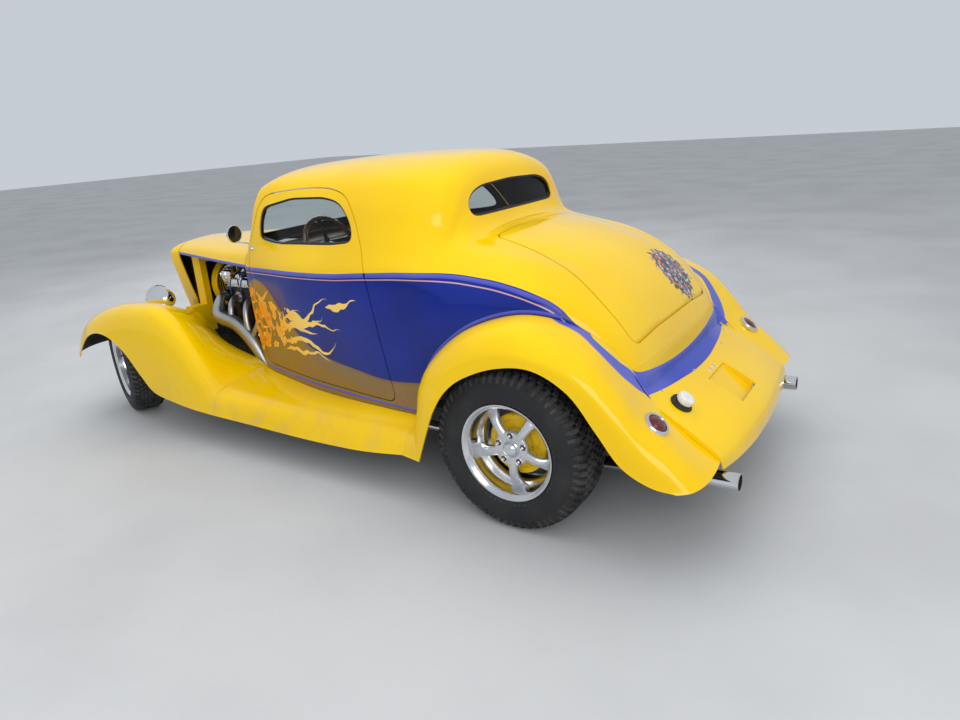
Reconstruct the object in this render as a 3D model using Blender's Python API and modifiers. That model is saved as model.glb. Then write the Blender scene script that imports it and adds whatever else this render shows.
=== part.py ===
"""A street rod coupe with open front bay, full fenders and five-spoke wheels.

Frame: +X forward, +Y to the car's left, +Z up, metres, origin on the ground under the middle.
Every place is worked out in a frame with X = 0 at the rear axle, and the last lines move
the whole car along X until the origin is under the middle of its length.
"""

import math

import bmesh
import bpy
import numpy as np
from mathutils import Matrix, Vector

for old in list(bpy.data.objects):
    bpy.data.objects.remove(old, do_unlink=True)

# Driving sizes of the body and fenders
WHEELBASE = 2.845
HALF_WIDTH = 0.873
HEIGHT = 1.488

# Sheets, walls and gaps
WALL = 0.036
FENDER_SHEET = 0.008
HOOD_SHEET = 0.010
GLASS = 0.005
GLASS_DEPTH = 0.012
SEAM = 0.006
FIT = 0.0003
TRIM_GAP = 0.0007
OVERRUN = 0.05
MERGE = 0.0001

# Wheels and tyres
REAR_TYRE_RADIUS = 0.348
REAR_TYRE_WIDTH = 0.250
REAR_RIM_WIDTH = 0.225
FRONT_TYRE_RADIUS = 0.315
FRONT_TYRE_WIDTH = 0.200
FRONT_RIM_WIDTH = 0.176
RIM_RADIUS = 0.2085
FENDER_ROOM = 0.031

WHEEL_TURNS = 28
ROD_SIDES = 12

# Steering: a kingpin at each end of the front axle
KINGPIN_Y = 0.553
SCRUB = 0.095
STEER_REST = math.radians(-20)

# Lengths of the frame below the body
RAIL_OUTER_Y = 0.342
RAIL_WIDTH = 0.055
RAIL_DEPTH = 0.100
FLOOR_SHEET = 0.006
GRILLE_SHARES = (
    (
        (0.970, 0.149, 0.269), (1.002, 0.143, 0.269), (1.037, 0.115, 0.269), (1.062, 0.063, 0.269),
        (1.070, 0.000, 0.269),
    ),
    (
        (0.970, 0.189, 0.336), (1.005, 0.183, 0.336), (1.033, 0.149, 0.336), (1.058, 0.080, 0.336),
        (1.067, 0.000, 0.336),
    ),
    (
        (0.969, 0.243, 0.437), (1.002, 0.238, 0.437), (1.028, 0.197, 0.437), (1.053, 0.109, 0.437),
        (1.062, 0.000, 0.437),
    ),
    (
        (0.968, 0.286, 0.538), (1.000, 0.283, 0.538), (1.023, 0.235, 0.538), (1.044, 0.128, 0.538),
        (1.054, 0.000, 0.538),
    ),
    (
        (0.967, 0.315, 0.618), (0.998, 0.312, 0.618), (1.018, 0.258, 0.618), (1.035, 0.140, 0.618),
        (1.044, 0.000, 0.618),
    ),
    (
        (0.967, 0.300, 0.652), (0.993, 0.292, 0.651), (1.009, 0.238, 0.649), (1.023, 0.131, 0.647),
        (1.030, 0.000, 0.645),
    ),
    (
        (0.967, 0.229, 0.671), (0.981, 0.212, 0.671), (0.989, 0.172, 0.669), (0.998, 0.097, 0.669),
        (1.002, 0.000, 0.669),
    ),
    (
        (0.967, 0.115, 0.683), (0.967, 0.086, 0.684), (0.967, 0.057, 0.685), (0.967, 0.029, 0.686),
        (0.967, 0.000, 0.687),
    ),
)
BODY_SHARES = (
    (
        (0.633, 0.550, 0.242), (0.633, 0.573, 0.370), (0.633, 0.584, 0.484), (0.633, 0.589, 0.591),
        (0.633, 0.586, 0.642), (0.633, 0.569, 0.672), (0.633, 0.538, 0.689), (0.633, 0.481, 0.699),
        (0.633, 0.378, 0.707), (0.634, 0.206, 0.714), (0.636, 0.000, 0.716),
    ),
    (
        (0.619, 0.564, 0.240), (0.619, 0.586, 0.370), (0.619, 0.598, 0.484), (0.619, 0.603, 0.595),
        (0.619, 0.599, 0.645), (0.620, 0.586, 0.692), (0.624, 0.561, 0.709), (0.626, 0.515, 0.712),
        (0.627, 0.401, 0.718), (0.629, 0.206, 0.722), (0.629, 0.000, 0.724),
    ),
    (
        (0.598, 0.584, 0.237), (0.598, 0.607, 0.370), (0.598, 0.621, 0.484), (0.598, 0.625, 0.598),
        (0.598, 0.620, 0.651), (0.605, 0.592, 0.722), (0.598, 0.576, 0.793), (0.586, 0.558, 0.867),
        (0.576, 0.493, 0.922), (0.578, 0.252, 0.944), (0.580, 0.000, 0.949),
    ),
    (
        (0.545, 0.624, 0.233), (0.545, 0.651, 0.370), (0.545, 0.664, 0.484), (0.545, 0.668, 0.605),
        (0.545, 0.661, 0.662), (0.548, 0.624, 0.729), (0.547, 0.601, 0.800), (0.545, 0.575, 0.874),
        (0.541, 0.504, 0.938), (0.543, 0.275, 0.968), (0.545, 0.000, 0.974),
    ),
    (
        (0.457, 0.685, 0.229), (0.457, 0.716, 0.370), (0.457, 0.733, 0.484), (0.457, 0.735, 0.608),
        (0.457, 0.726, 0.672), (0.457, 0.676, 0.733), (0.457, 0.639, 0.806), (0.457, 0.605, 0.880),
        (0.457, 0.521, 0.948), (0.457, 0.292, 0.983), (0.457, 0.000, 0.990),
    ),
    (
        (0.351, 0.733, 0.229), (0.351, 0.765, 0.370), (0.351, 0.781, 0.484), (0.351, 0.786, 0.608),
        (0.351, 0.777, 0.677), (0.351, 0.733, 0.739), (0.351, 0.693, 0.806), (0.351, 0.647, 0.884),
        (0.351, 0.550, 0.951), (0.351, 0.309, 0.991), (0.351, 0.000, 0.999),
    ),
    (
        (0.264, 0.765, 0.239), (0.264, 0.795, 0.370), (0.264, 0.811, 0.484), (0.264, 0.816, 0.608),
        (0.264, 0.808, 0.682), (0.264, 0.770, 0.739), (0.264, 0.727, 0.806), (0.264, 0.674, 0.877),
        (0.264, 0.567, 0.948), (0.264, 0.315, 0.991), (0.264, 0.000, 1.000),
    ),
    (
        (0.204, 0.779, 0.242), (0.204, 0.804, 0.370), (0.204, 0.818, 0.484), (0.204, 0.822, 0.608),
        (0.204, 0.813, 0.684), (0.204, 0.762, 0.739), (0.204, 0.710, 0.803), (0.204, 0.655, 0.870),
        (0.204, 0.550, 0.941), (0.204, 0.309, 0.985), (0.204, 0.000, 0.995),
    ),
    (
        (0.176, 0.788, 0.282), (0.176, 0.808, 0.376), (0.176, 0.819, 0.484), (0.176, 0.822, 0.608),
        (0.174, 0.811, 0.682), (0.169, 0.739, 0.739), (0.167, 0.676, 0.800), (0.165, 0.613, 0.867),
        (0.167, 0.510, 0.931), (0.169, 0.286, 0.968), (0.170, 0.000, 0.978),
    ),
    (
        (0.160, 0.802, 0.363), (0.158, 0.813, 0.430), (0.156, 0.820, 0.511), (0.155, 0.820, 0.608),
        (0.153, 0.802, 0.679), (0.148, 0.699, 0.743), (0.146, 0.619, 0.796), (0.145, 0.544, 0.853),
        (0.146, 0.447, 0.904), (0.148, 0.252, 0.931), (0.149, 0.000, 0.938),
    ),
    (
        (0.127, 0.809, 0.447), (0.127, 0.817, 0.497), (0.127, 0.819, 0.551), (0.128, 0.814, 0.615),
        (0.130, 0.790, 0.672), (0.132, 0.670, 0.739), (0.135, 0.578, 0.776), (0.136, 0.504, 0.813),
        (0.137, 0.401, 0.843), (0.137, 0.229, 0.857), (0.137, 0.000, 0.860),
    ),
    (
        (0.088, 0.806, 0.514), (0.088, 0.811, 0.544), (0.090, 0.812, 0.578), (0.091, 0.805, 0.625),
        (0.095, 0.773, 0.665), (0.102, 0.664, 0.727), (0.111, 0.573, 0.754), (0.116, 0.493, 0.766),
        (0.120, 0.389, 0.778), (0.121, 0.218, 0.786), (0.121, 0.000, 0.788),
    ),
    (
        (0.046, 0.796, 0.558), (0.046, 0.801, 0.578), (0.046, 0.800, 0.608), (0.047, 0.788, 0.642),
        (0.049, 0.750, 0.674), (0.056, 0.659, 0.715), (0.063, 0.573, 0.735), (0.067, 0.481, 0.744),
        (0.070, 0.367, 0.757), (0.072, 0.195, 0.767), (0.072, 0.000, 0.771),
    ),
    (
        (-0.007, 0.779, 0.579), (-0.007, 0.781, 0.596), (-0.007, 0.779, 0.616), (-0.006, 0.763, 0.641),
        (-0.005, 0.724, 0.664), (0.000, 0.641, 0.694), (0.004, 0.559, 0.711), (0.007, 0.458, 0.717),
        (0.009, 0.344, 0.730), (0.011, 0.183, 0.739), (0.011, 0.000, 0.741),
    ),
    (
        (-0.060, 0.739, 0.566), (-0.060, 0.738, 0.579), (-0.060, 0.732, 0.596), (-0.060, 0.712, 0.614),
        (-0.060, 0.676, 0.633), (-0.056, 0.601, 0.655), (-0.053, 0.518, 0.669), (-0.051, 0.424, 0.675),
        (-0.050, 0.321, 0.684), (-0.049, 0.172, 0.690), (-0.049, 0.000, 0.692),
    ),
    (
        (-0.105, 0.690, 0.521), (-0.106, 0.686, 0.531), (-0.107, 0.676, 0.542), (-0.108, 0.653, 0.554),
        (-0.107, 0.619, 0.568), (-0.105, 0.556, 0.583), (-0.103, 0.481, 0.595), (-0.101, 0.395, 0.603),
        (-0.100, 0.298, 0.610), (-0.099, 0.160, 0.614), (-0.099, 0.000, 0.616),
    ),
    (
        (-0.135, 0.647, 0.464), (-0.137, 0.641, 0.470), (-0.138, 0.630, 0.478), (-0.139, 0.607, 0.487),
        (-0.139, 0.573, 0.496), (-0.138, 0.515, 0.506), (-0.137, 0.447, 0.513), (-0.136, 0.367, 0.519),
        (-0.136, 0.275, 0.523), (-0.135, 0.149, 0.526), (-0.135, 0.000, 0.526),
    ),
    (
        (-0.149, 0.630, 0.417), (-0.151, 0.624, 0.420), (-0.153, 0.611, 0.425), (-0.155, 0.588, 0.429),
        (-0.156, 0.553, 0.433), (-0.156, 0.498, 0.437), (-0.156, 0.430, 0.440), (-0.156, 0.349, 0.442),
        (-0.156, 0.263, 0.443), (-0.156, 0.137, 0.444), (-0.156, 0.000, 0.444),
    ),
    (
        (-0.156, 0.624, 0.384), (-0.159, 0.619, 0.384), (-0.161, 0.604, 0.384), (-0.164, 0.580, 0.384),
        (-0.165, 0.545, 0.384), (-0.166, 0.493, 0.384), (-0.166, 0.424, 0.384), (-0.167, 0.344, 0.384),
        (-0.167, 0.252, 0.384), (-0.167, 0.137, 0.384), (-0.167, 0.000, 0.384),
    ),
)
REAR_FENDER_SHARES = (
    (
        (0.183, 0.773, 0.181), (0.181, 0.842, 0.180), (0.175, 0.905, 0.176), (0.162, 0.968, 0.169),
        (0.149, 0.987, 0.158),
    ),
    (
        (0.176, 0.779, 0.289), (0.172, 0.853, 0.289), (0.162, 0.916, 0.286), (0.144, 0.974, 0.279),
        (0.127, 0.992, 0.262),
    ),
    (
        (0.159, 0.785, 0.388), (0.157, 0.861, 0.386), (0.148, 0.930, 0.373), (0.127, 0.982, 0.349),
        (0.111, 0.995, 0.329),
    ),
    (
        (0.127, 0.785, 0.472), (0.126, 0.871, 0.469), (0.118, 0.942, 0.450), (0.100, 0.987, 0.417),
        (0.087, 0.999, 0.394),
    ),
    (
        (0.070, 0.773, 0.552), (0.070, 0.871, 0.550), (0.065, 0.946, 0.528), (0.058, 0.992, 0.487),
        (0.053, 1.000, 0.444),
    ),
    (
        (0.000, 0.756, 0.595), (0.000, 0.865, 0.591), (0.000, 0.946, 0.570), (0.000, 0.993, 0.528),
        (0.000, 1.000, 0.485),
    ),
    (
        (-0.060, 0.704, 0.583), (-0.060, 0.842, 0.579), (-0.060, 0.937, 0.561), (-0.062, 0.991, 0.524),
        (-0.056, 1.000, 0.494),
    ),
    (
        (-0.112, 0.655, 0.528), (-0.114, 0.802, 0.528), (-0.118, 0.916, 0.516), (-0.120, 0.985, 0.484),
        (-0.107, 0.999, 0.447),
    ),
    (
        (-0.148, 0.624, 0.447), (-0.151, 0.756, 0.449), (-0.160, 0.899, 0.440), (-0.164, 0.976, 0.400),
        (-0.144, 0.997, 0.360),
    ),
    (
        (-0.176, 0.624, 0.376), (-0.181, 0.756, 0.380), (-0.193, 0.888, 0.366), (-0.199, 0.966, 0.326),
        (-0.176, 0.992, 0.281),
    ),
    (
        (-0.218, 0.624, 0.309), (-0.225, 0.745, 0.312), (-0.235, 0.871, 0.304), (-0.234, 0.951, 0.277),
        (-0.213, 0.983, 0.242),
    ),
    (
        (-0.270, 0.624, 0.243), (-0.273, 0.745, 0.243), (-0.271, 0.865, 0.241), (-0.261, 0.939, 0.237),
        (-0.246, 0.968, 0.233),
    ),
)
FRONT_FENDER_SHARES = (
    (
        (1.090, 0.481, 0.276), (1.130, 0.596, 0.269), (1.149, 0.756, 0.262), (1.137, 0.905, 0.255),
        (1.111, 0.962, 0.245),
    ),
    (
        (1.083, 0.481, 0.336), (1.120, 0.607, 0.336), (1.140, 0.756, 0.336), (1.124, 0.905, 0.327),
        (1.086, 0.968, 0.298),
    ),
    (
        (1.051, 0.458, 0.360), (1.076, 0.619, 0.410), (1.090, 0.767, 0.418), (1.076, 0.916, 0.397),
        (1.047, 0.974, 0.353),
    ),
    (
        (1.005, 0.392, 0.386), (1.009, 0.619, 0.447), (1.012, 0.779, 0.466), (1.011, 0.928, 0.440),
        (1.002, 0.977, 0.374),
    ),
    (
        (0.949, 0.392, 0.393), (0.949, 0.619, 0.456), (0.949, 0.790, 0.485), (0.949, 0.939, 0.464),
        (0.954, 0.982, 0.361),
    ),
    (
        (0.900, 0.392, 0.393), (0.893, 0.619, 0.460), (0.886, 0.802, 0.496), (0.882, 0.945, 0.474),
        (0.909, 0.984, 0.311),
    ),
    (
        (0.854, 0.430, 0.360), (0.847, 0.619, 0.447), (0.833, 0.802, 0.496), (0.819, 0.951, 0.474),
        (0.865, 0.985, 0.225),
    ),
    (
        (0.801, 0.447, 0.296), (0.791, 0.619, 0.393), (0.773, 0.802, 0.454), (0.756, 0.953, 0.433),
        (0.830, 0.985, 0.169),
    ),
    (
        (0.745, 0.447, 0.265), (0.738, 0.619, 0.326), (0.721, 0.802, 0.366), (0.703, 0.953, 0.336),
        (0.773, 0.983, 0.148),
    ),
    (
        (0.692, 0.470, 0.249), (0.689, 0.619, 0.272), (0.678, 0.790, 0.276), (0.668, 0.945, 0.245),
        (0.710, 0.981, 0.136),
    ),
    (
        (0.649, 0.515, 0.243), (0.649, 0.641, 0.239), (0.649, 0.779, 0.225), (0.649, 0.928, 0.202),
        (0.649, 0.976, 0.131),
    ),
)
RUNNING_BOARD_SHARES = (
    (
        (0.648, 0.515, 0.243), (0.648, 0.641, 0.239), (0.648, 0.779, 0.225), (0.648, 0.928, 0.202),
        (0.648, 0.976, 0.131),
    ),
    (
        (0.545, 0.590, 0.239), (0.545, 0.687, 0.233), (0.545, 0.802, 0.220), (0.545, 0.920, 0.196),
        (0.545, 0.962, 0.126),
    ),
    (
        (0.404, 0.687, 0.235), (0.404, 0.756, 0.230), (0.404, 0.836, 0.216), (0.404, 0.916, 0.192),
        (0.404, 0.960, 0.125),
    ),
    (
        (0.281, 0.733, 0.242), (0.281, 0.790, 0.235), (0.281, 0.848, 0.220), (0.281, 0.916, 0.195),
        (0.281, 0.960, 0.134),
    ),
    (
        (0.186, 0.750, 0.247), (0.186, 0.802, 0.241), (0.186, 0.853, 0.227), (0.186, 0.928, 0.205),
        (0.186, 0.964, 0.158),
    ),
)
PAN_SHARES = (
    (
        (-0.162, 0.676, 0.384), (-0.167, 0.458, 0.384), (-0.168, 0.229, 0.384), (-0.168, 0.000, 0.384),
    ),
    (
        (-0.197, 0.676, 0.346), (-0.200, 0.458, 0.348), (-0.202, 0.229, 0.349), (-0.202, 0.000, 0.349),
    ),
    (
        (-0.241, 0.676, 0.294), (-0.247, 0.458, 0.296), (-0.251, 0.229, 0.298), (-0.252, 0.000, 0.300),
    ),
    (
        (-0.269, 0.676, 0.254), (-0.276, 0.458, 0.253), (-0.282, 0.229, 0.253), (-0.285, 0.000, 0.253),
    ),
    (
        (-0.275, 0.676, 0.227), (-0.283, 0.458, 0.214), (-0.288, 0.229, 0.207), (-0.289, 0.000, 0.204),
    ),
)
HOOD_SHARES = (
    (
        (0.635, 0.588, 0.635), (0.635, 0.586, 0.642), (0.635, 0.569, 0.672), (0.635, 0.538, 0.689),
        (0.635, 0.481, 0.699), (0.635, 0.378, 0.707), (0.637, 0.206, 0.714), (0.638, 0.000, 0.716),
    ),
    (
        (0.745, 0.501, 0.633), (0.745, 0.499, 0.642), (0.745, 0.481, 0.665), (0.745, 0.447, 0.680),
        (0.745, 0.395, 0.690), (0.745, 0.309, 0.698), (0.745, 0.172, 0.704), (0.745, 0.000, 0.708),
    ),
    (
        (0.861, 0.403, 0.632), (0.861, 0.402, 0.638), (0.861, 0.384, 0.659), (0.861, 0.355, 0.672),
        (0.861, 0.309, 0.681), (0.861, 0.241, 0.690), (0.861, 0.137, 0.696), (0.861, 0.000, 0.699),
    ),
    (
        (0.965, 0.315, 0.630), (0.965, 0.314, 0.635), (0.965, 0.300, 0.651), (0.965, 0.275, 0.661),
        (0.965, 0.241, 0.669), (0.965, 0.189, 0.679), (0.965, 0.103, 0.684), (0.965, 0.000, 0.687),
    ),
)
DOOR_OUTLINE_SHARES = (
    (0.234, 0.269), (0.614, 0.272), (0.614, 0.692), (0.602, 0.753), (0.586, 0.813), (0.574, 0.860),
    (0.552, 0.897), (0.467, 0.914), (0.407, 0.919), (0.367, 0.915), (0.329, 0.894), (0.305, 0.841),
    (0.281, 0.759), (0.265, 0.680), (0.251, 0.538), (0.241, 0.403),
)
SIDE_WINDOW_OUTLINE_SHARES = (
    (0.567, 0.743), (0.572, 0.759), (0.572, 0.793), (0.564, 0.837), (0.552, 0.857), (0.477, 0.885),
    (0.389, 0.890), (0.351, 0.879), (0.330, 0.855), (0.311, 0.813), (0.304, 0.780), (0.309, 0.759),
    (0.355, 0.748), (0.518, 0.733),
)
WINDSHIELD_OUTLINE_SHARES = (
    (0.470, 0.743), (0.498, 0.759), (0.470, 0.874), (0.424, 0.906), (-0.424, 0.906), (-0.470, 0.874),
    (-0.498, 0.759), (-0.470, 0.743),
)
REAR_WINDOW_OUTLINE_SHARES = (
    (0.389, 0.815), (0.430, 0.823), (0.441, 0.840), (0.430, 0.867), (0.378, 0.890), (0.286, 0.903),
    (0.000, 0.909), (-0.286, 0.903), (-0.378, 0.890), (-0.430, 0.867), (-0.441, 0.840), (-0.430, 0.823),
    (-0.389, 0.815),
)
LID_OUTLINE_SHARES = (
    (0.097, 0.430), (0.051, 0.443), (0.011, 0.467), (-0.028, 0.504), (-0.063, 0.533), (-0.095, 0.548),
    (-0.120, 0.544), (-0.142, 0.534), (-0.142, -0.534), (-0.120, -0.544), (-0.095, -0.548), (-0.063, -0.533),
    (-0.028, -0.504), (0.011, -0.467), (0.051, -0.443), (0.097, -0.430),
)
GRILLE_OPENING_OUTLINE_SHARES = (
    (0.000, 0.302), (0.063, 0.316), (0.115, 0.403), (0.155, 0.504), (0.178, 0.591), (0.137, 0.615),
    (0.000, 0.622), (-0.137, 0.615), (-0.178, 0.591), (-0.155, 0.504), (-0.115, 0.403), (-0.063, 0.316),
)


COLOURS = {
    "yellow": ((0.90, 0.56, 0.0), 0.15, 0.0),
    "blue": ((0.02, 0.03, 0.35), 0.15, 0.0),
    "black": ((0.02, 0.02, 0.02), 0.6, 0.0),
    "rubber": ((0.025, 0.025, 0.026), 0.8, 0.0),
    "chrome": ((0.85, 0.85, 0.86), 0.08, 1.0),
    "polished": ((0.75, 0.75, 0.77), 0.22, 1.0),
    "iron": ((0.20, 0.20, 0.21), 0.5, 0.8),
    "glass": ((0.10, 0.12, 0.12), 0.05, 0.0),
    "leather": ((0.16, 0.08, 0.04), 0.55, 0.0),
    "lens": ((0.45, 0.01, 0.02), 0.15, 0.0),
}

collection = bpy.data.collections.new("hot_rod")
cutter_collection = bpy.data.collections.new("cutters")
for group in (collection, cutter_collection):
    bpy.context.scene.collection.children.link(group)


def material(colour, name):
    found = bpy.data.materials.new(name)
    found.use_nodes = True
    shader = found.node_tree.nodes["Principled BSDF"]
    base, roughness, metallic = COLOURS[colour]
    shader.inputs["Base Color"].default_value = (*base, 1)
    shader.inputs["Roughness"].default_value = roughness
    shader.inputs["Metallic"].default_value = metallic
    return found


def part(name, mesh, colour, origin=(0, 0, 0)):
    """A node of the car, with its own material. The mesh is given about its origin."""
    item = bpy.data.objects.new(name, mesh)
    mesh.materials.clear()
    mesh.materials.append(material(colour, name))
    item.location = origin
    collection.objects.link(item)
    return item


def helper(mesh, origin=(0, 0, 0), rotation=(0, 0, 0)):
    """A solid that only cuts or joins another."""
    item = bpy.data.objects.new("cutter", mesh)
    item.location = origin
    item.rotation_euler = rotation
    item.hide_render = True
    item.display_type = "WIRE"
    cutter_collection.objects.link(item)
    return item


def boolean(item, other, operation="DIFFERENCE"):
    modifier = item.modifiers.new(operation.title(), "BOOLEAN")
    modifier.operation = operation
    modifier.solver = "EXACT"
    modifier.object = other
    return item


def mesh_of(bm):
    mesh = bpy.data.meshes.new("mesh")
    bm.to_mesh(mesh)
    bm.free()
    return mesh


def box(low, high):
    """A box between two corners."""
    bm = bmesh.new()
    bmesh.ops.create_cube(bm, size=1)
    middle = (Vector(low) + Vector(high)) / 2
    size = Vector(high) - Vector(low)
    bmesh.ops.scale(bm, vec=size, verts=bm.verts)
    bmesh.ops.translate(bm, vec=middle, verts=bm.verts)
    return mesh_of(bm)


def rod(start, end, radius, sides=ROD_SIDES, end_radius=None):
    """A round bar, or a cone, from start to end."""
    start = Vector(start)
    along = Vector(end) - start
    bm = bmesh.new()
    tip = radius if end_radius is None else end_radius
    bmesh.ops.create_cone(
        bm, cap_ends=True, segments=sides, radius1=radius, radius2=tip, depth=along.length
    )
    turn = along.to_track_quat("Z", "Y").to_matrix().to_4x4()
    place = Matrix.Translation(start + along / 2) @ turn
    bmesh.ops.transform(bm, matrix=place, verts=bm.verts)
    return mesh_of(bm)


def prism(outline, axis, low, high):
    """A flat outline in the two other axes, in their order, drawn out along the axis."""
    bm = bmesh.new()
    rings = []
    for level in (low, high):
        ring = []
        for point in outline:
            place = list(point)
            place.insert(axis, level)
            ring.append(bm.verts.new(place))
        rings.append(ring)
    bm.faces.new(rings[0])
    bm.faces.new(reversed(rings[1]))
    for i in range(len(outline)):
        j = (i + 1) % len(outline)
        bm.faces.new((rings[0][j], rings[0][i], rings[1][i], rings[1][j]))
    bmesh.ops.recalc_face_normals(bm, faces=bm.faces)
    return mesh_of(bm)


def turned(profile):
    """A closed profile of (radius, height) turned about Z, its outer side run top to bottom."""
    mesh = bpy.data.meshes.new("mesh")
    points = [(radius, 0, height) for radius, height in profile]
    count = len(points)
    mesh.from_pydata(points, [(i, (i + 1) % count) for i in range(count)], [])
    return mesh


def add_screw(item, turns):
    screw = item.modifiers.new("Screw", "SCREW")
    screw.steps = turns
    screw.render_steps = turns
    screw.use_merge_vertices = True
    screw.merge_threshold = MERGE
    screw.use_smooth_shade = False
    return item


def smooth(points, steps):
    """The points of a Catmull-Rom curve through the given ones, with this many steps a span."""
    last = len(points) - 1
    found = []
    for i in range(last):
        a, b = points[max(i - 1, 0)], points[i]
        c, d = points[i + 1], points[min(i + 2, last)]
        for step in range(steps):
            t = step / steps
            bend = (2 * a - 5 * b + 4 * c - d) * t + (3 * b - a - 3 * c + d) * t * t
            found.append(b + 0.5 * t * ((c - a) + bend))
    found.append(points[last])
    return found


def placed(shares):
    """Rows of shares as points: X by the wheelbase, Y by the half width, Z by the height."""
    scale = np.array((WHEELBASE, HALF_WIDTH, HEIGHT))
    return [[np.array(point) * scale for point in row] for row in shares]


def surface(rows, row_steps, point_steps, creases=()):
    """A finer grid through rows of points, smooth but for a fold along each row of creases."""
    rows = [smooth(row, point_steps) for row in rows]
    ends = [0, *creases, len(rows) - 1]
    found = []
    for start, end in zip(ends, ends[1:]):
        span = rows[start : end + 1]
        columns = [smooth([row[i] for row in span], row_steps) for i in range(len(span[0]))]
        strip = [list(row) for row in zip(*columns)]
        found += strip if not found else strip[1:]
    return found


def both_sides(rows):
    """A half surface, listed from the left side to the middle, carried on to the right side."""
    flip = np.array((1, -1, 1))
    return [row + [point * flip for point in reversed(row[:-1])] for row in rows]


def sheet_mesh(rows, side=1):
    """The open grid as a mesh whose faces look outwards; side -1 gives the mirror image."""
    bm = bmesh.new()
    flip = np.array((1, side, 1))
    grid = [[bm.verts.new(point * flip) for point in row] for row in rows]
    middle = len(rows[0]) // 2
    for a, b in zip(grid, grid[1:]):
        for i in range(len(a) - 1):
            # each cell is folded along one diagonal, and along the other past the middle
            if i < middle:
                pair = (a[i], b[i], b[i + 1]), (a[i], b[i + 1], a[i + 1])
            else:
                pair = (a[i], b[i], a[i + 1]), (b[i], b[i + 1], a[i + 1])
            for corners in pair:
                bm.faces.new(corners if side > 0 else corners[::-1])
    return mesh_of(bm)


def thicken(item, top, bottom):
    """Solidify between two depths below the surface; a depth below zero stands outside it."""
    solidify = item.modifiers.new("Solidify", "SOLIDIFY")
    solidify.thickness = bottom - top
    solidify.offset = -2 * top / (bottom - top) - 1
    solidify.use_even_offset = True
    return item


def moved(mesh, origin):
    """The mesh about a new origin."""
    mesh.transform(Matrix.Translation(-Vector(origin)))
    return mesh


LEFT_RIGHT = (("left", 1), ("right", -1))


def x_of(share):
    return share * WHEELBASE


def y_of(share):
    return share * HALF_WIDTH


def z_of(share):
    return share * HEIGHT


def scaled(outline, across, up):
    return [(a * across, b * up) for a, b in outline]


SHARPEST = 0.4


def inset(outline, distance):
    """A closed outline moved inwards; a distance below zero moves it out."""
    points = [Vector(point) for point in outline]
    area = sum(a.cross(b) for a, b in zip(points, points[1:] + points[:1]))
    turn = 1 if area > 0 else -1
    found = []
    for i, point in enumerate(points):
        before = (point - points[i - 1]).normalized()
        after = (points[(i + 1) % len(points)] - point).normalized()
        normals = [Vector((-edge.y, edge.x)) * turn for edge in (before, after)]
        middle = (normals[0] + normals[1]).normalized()
        found.append(tuple(point + middle * distance / max(middle.dot(normals[0]), SHARPEST)))
    return found


def grown(rows, bottom):
    """A cutter that holds a skin, what lies just under it and what its lower edges point at."""
    longer = []
    for row in rows:
        first = row[0] + (row[0] - row[1]) * OVERRUN / np.linalg.norm(row[0] - row[1])
        last = row[-1] + (row[-1] - row[-2]) * OVERRUN / np.linalg.norm(row[-1] - row[-2])
        longer.append([first, *row, last])
    return thicken(helper(sheet_mesh(longer)), -TRIM_GAP, bottom)


# Body shell: cowl, sides, roof and tail in one welded skin, open below and at the firewall
BODY_STEPS = 1
BODY_CREASES = (1, 2)
body_rows = both_sides(surface(placed(BODY_SHARES), BODY_STEPS, 1, BODY_CREASES))
door_outline = scaled(DOOR_OUTLINE_SHARES, WHEELBASE, HEIGHT)
window_outline = scaled(SIDE_WINDOW_OUTLINE_SHARES, WHEELBASE, HEIGHT)
windshield_outline = scaled(WINDSHIELD_OUTLINE_SHARES, HALF_WIDTH, HEIGHT)
rear_window_outline = scaled(REAR_WINDOW_OUTLINE_SHARES, HALF_WIDTH, HEIGHT)
lid_outline = scaled(LID_OUTLINE_SHARES, WHEELBASE, HALF_WIDTH)
DOOR_CUT_SHARES = (0.30, 1.00)
LID_CUT_SHARES = (0.42, 0.90)
WINDSHIELD_CUT_SHARES = (0.53, 0.66)
REAR_WINDOW_CUT_SHARES = (0.09, 0.20)


def side_prism(outline, side, shares=DOOR_CUT_SHARES):
    low, high = sorted(side * y_of(share) for share in shares)
    return helper(prism(outline, 1, low, high))


def end_prism(outline, shares):
    return helper(prism(outline, 0, x_of(shares[0]), x_of(shares[1])))


body_shell = thicken(part("body_shell", sheet_mesh(body_rows), "yellow"), 0, WALL)
for _, side in LEFT_RIGHT:
    boolean(body_shell, side_prism(door_outline, side))
lid_cut = helper(prism(lid_outline, 2, z_of(LID_CUT_SHARES[0]), z_of(LID_CUT_SHARES[1])))
boolean(body_shell, lid_cut)
boolean(body_shell, end_prism(windshield_outline, WINDSHIELD_CUT_SHARES))
boolean(body_shell, end_prism(rear_window_outline, REAR_WINDOW_CUT_SHARES))

TAB_HEIGHT = 0.040
TAB_REACH = 0.030


def with_tabs(outline, axis, low, high, tabs):
    """The prism of a panel set in by its seam, with hinge tabs that reach out to the opening's edge."""
    panel = helper(prism(inset(outline, SEAM), axis, low, high))
    for corners in tabs:
        tab = helper(box(*corners))
        boolean(tab, helper(prism(inset(outline, FIT), axis, low, high)), "INTERSECT")
        boolean(panel, tab, "UNION")
    return panel


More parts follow.
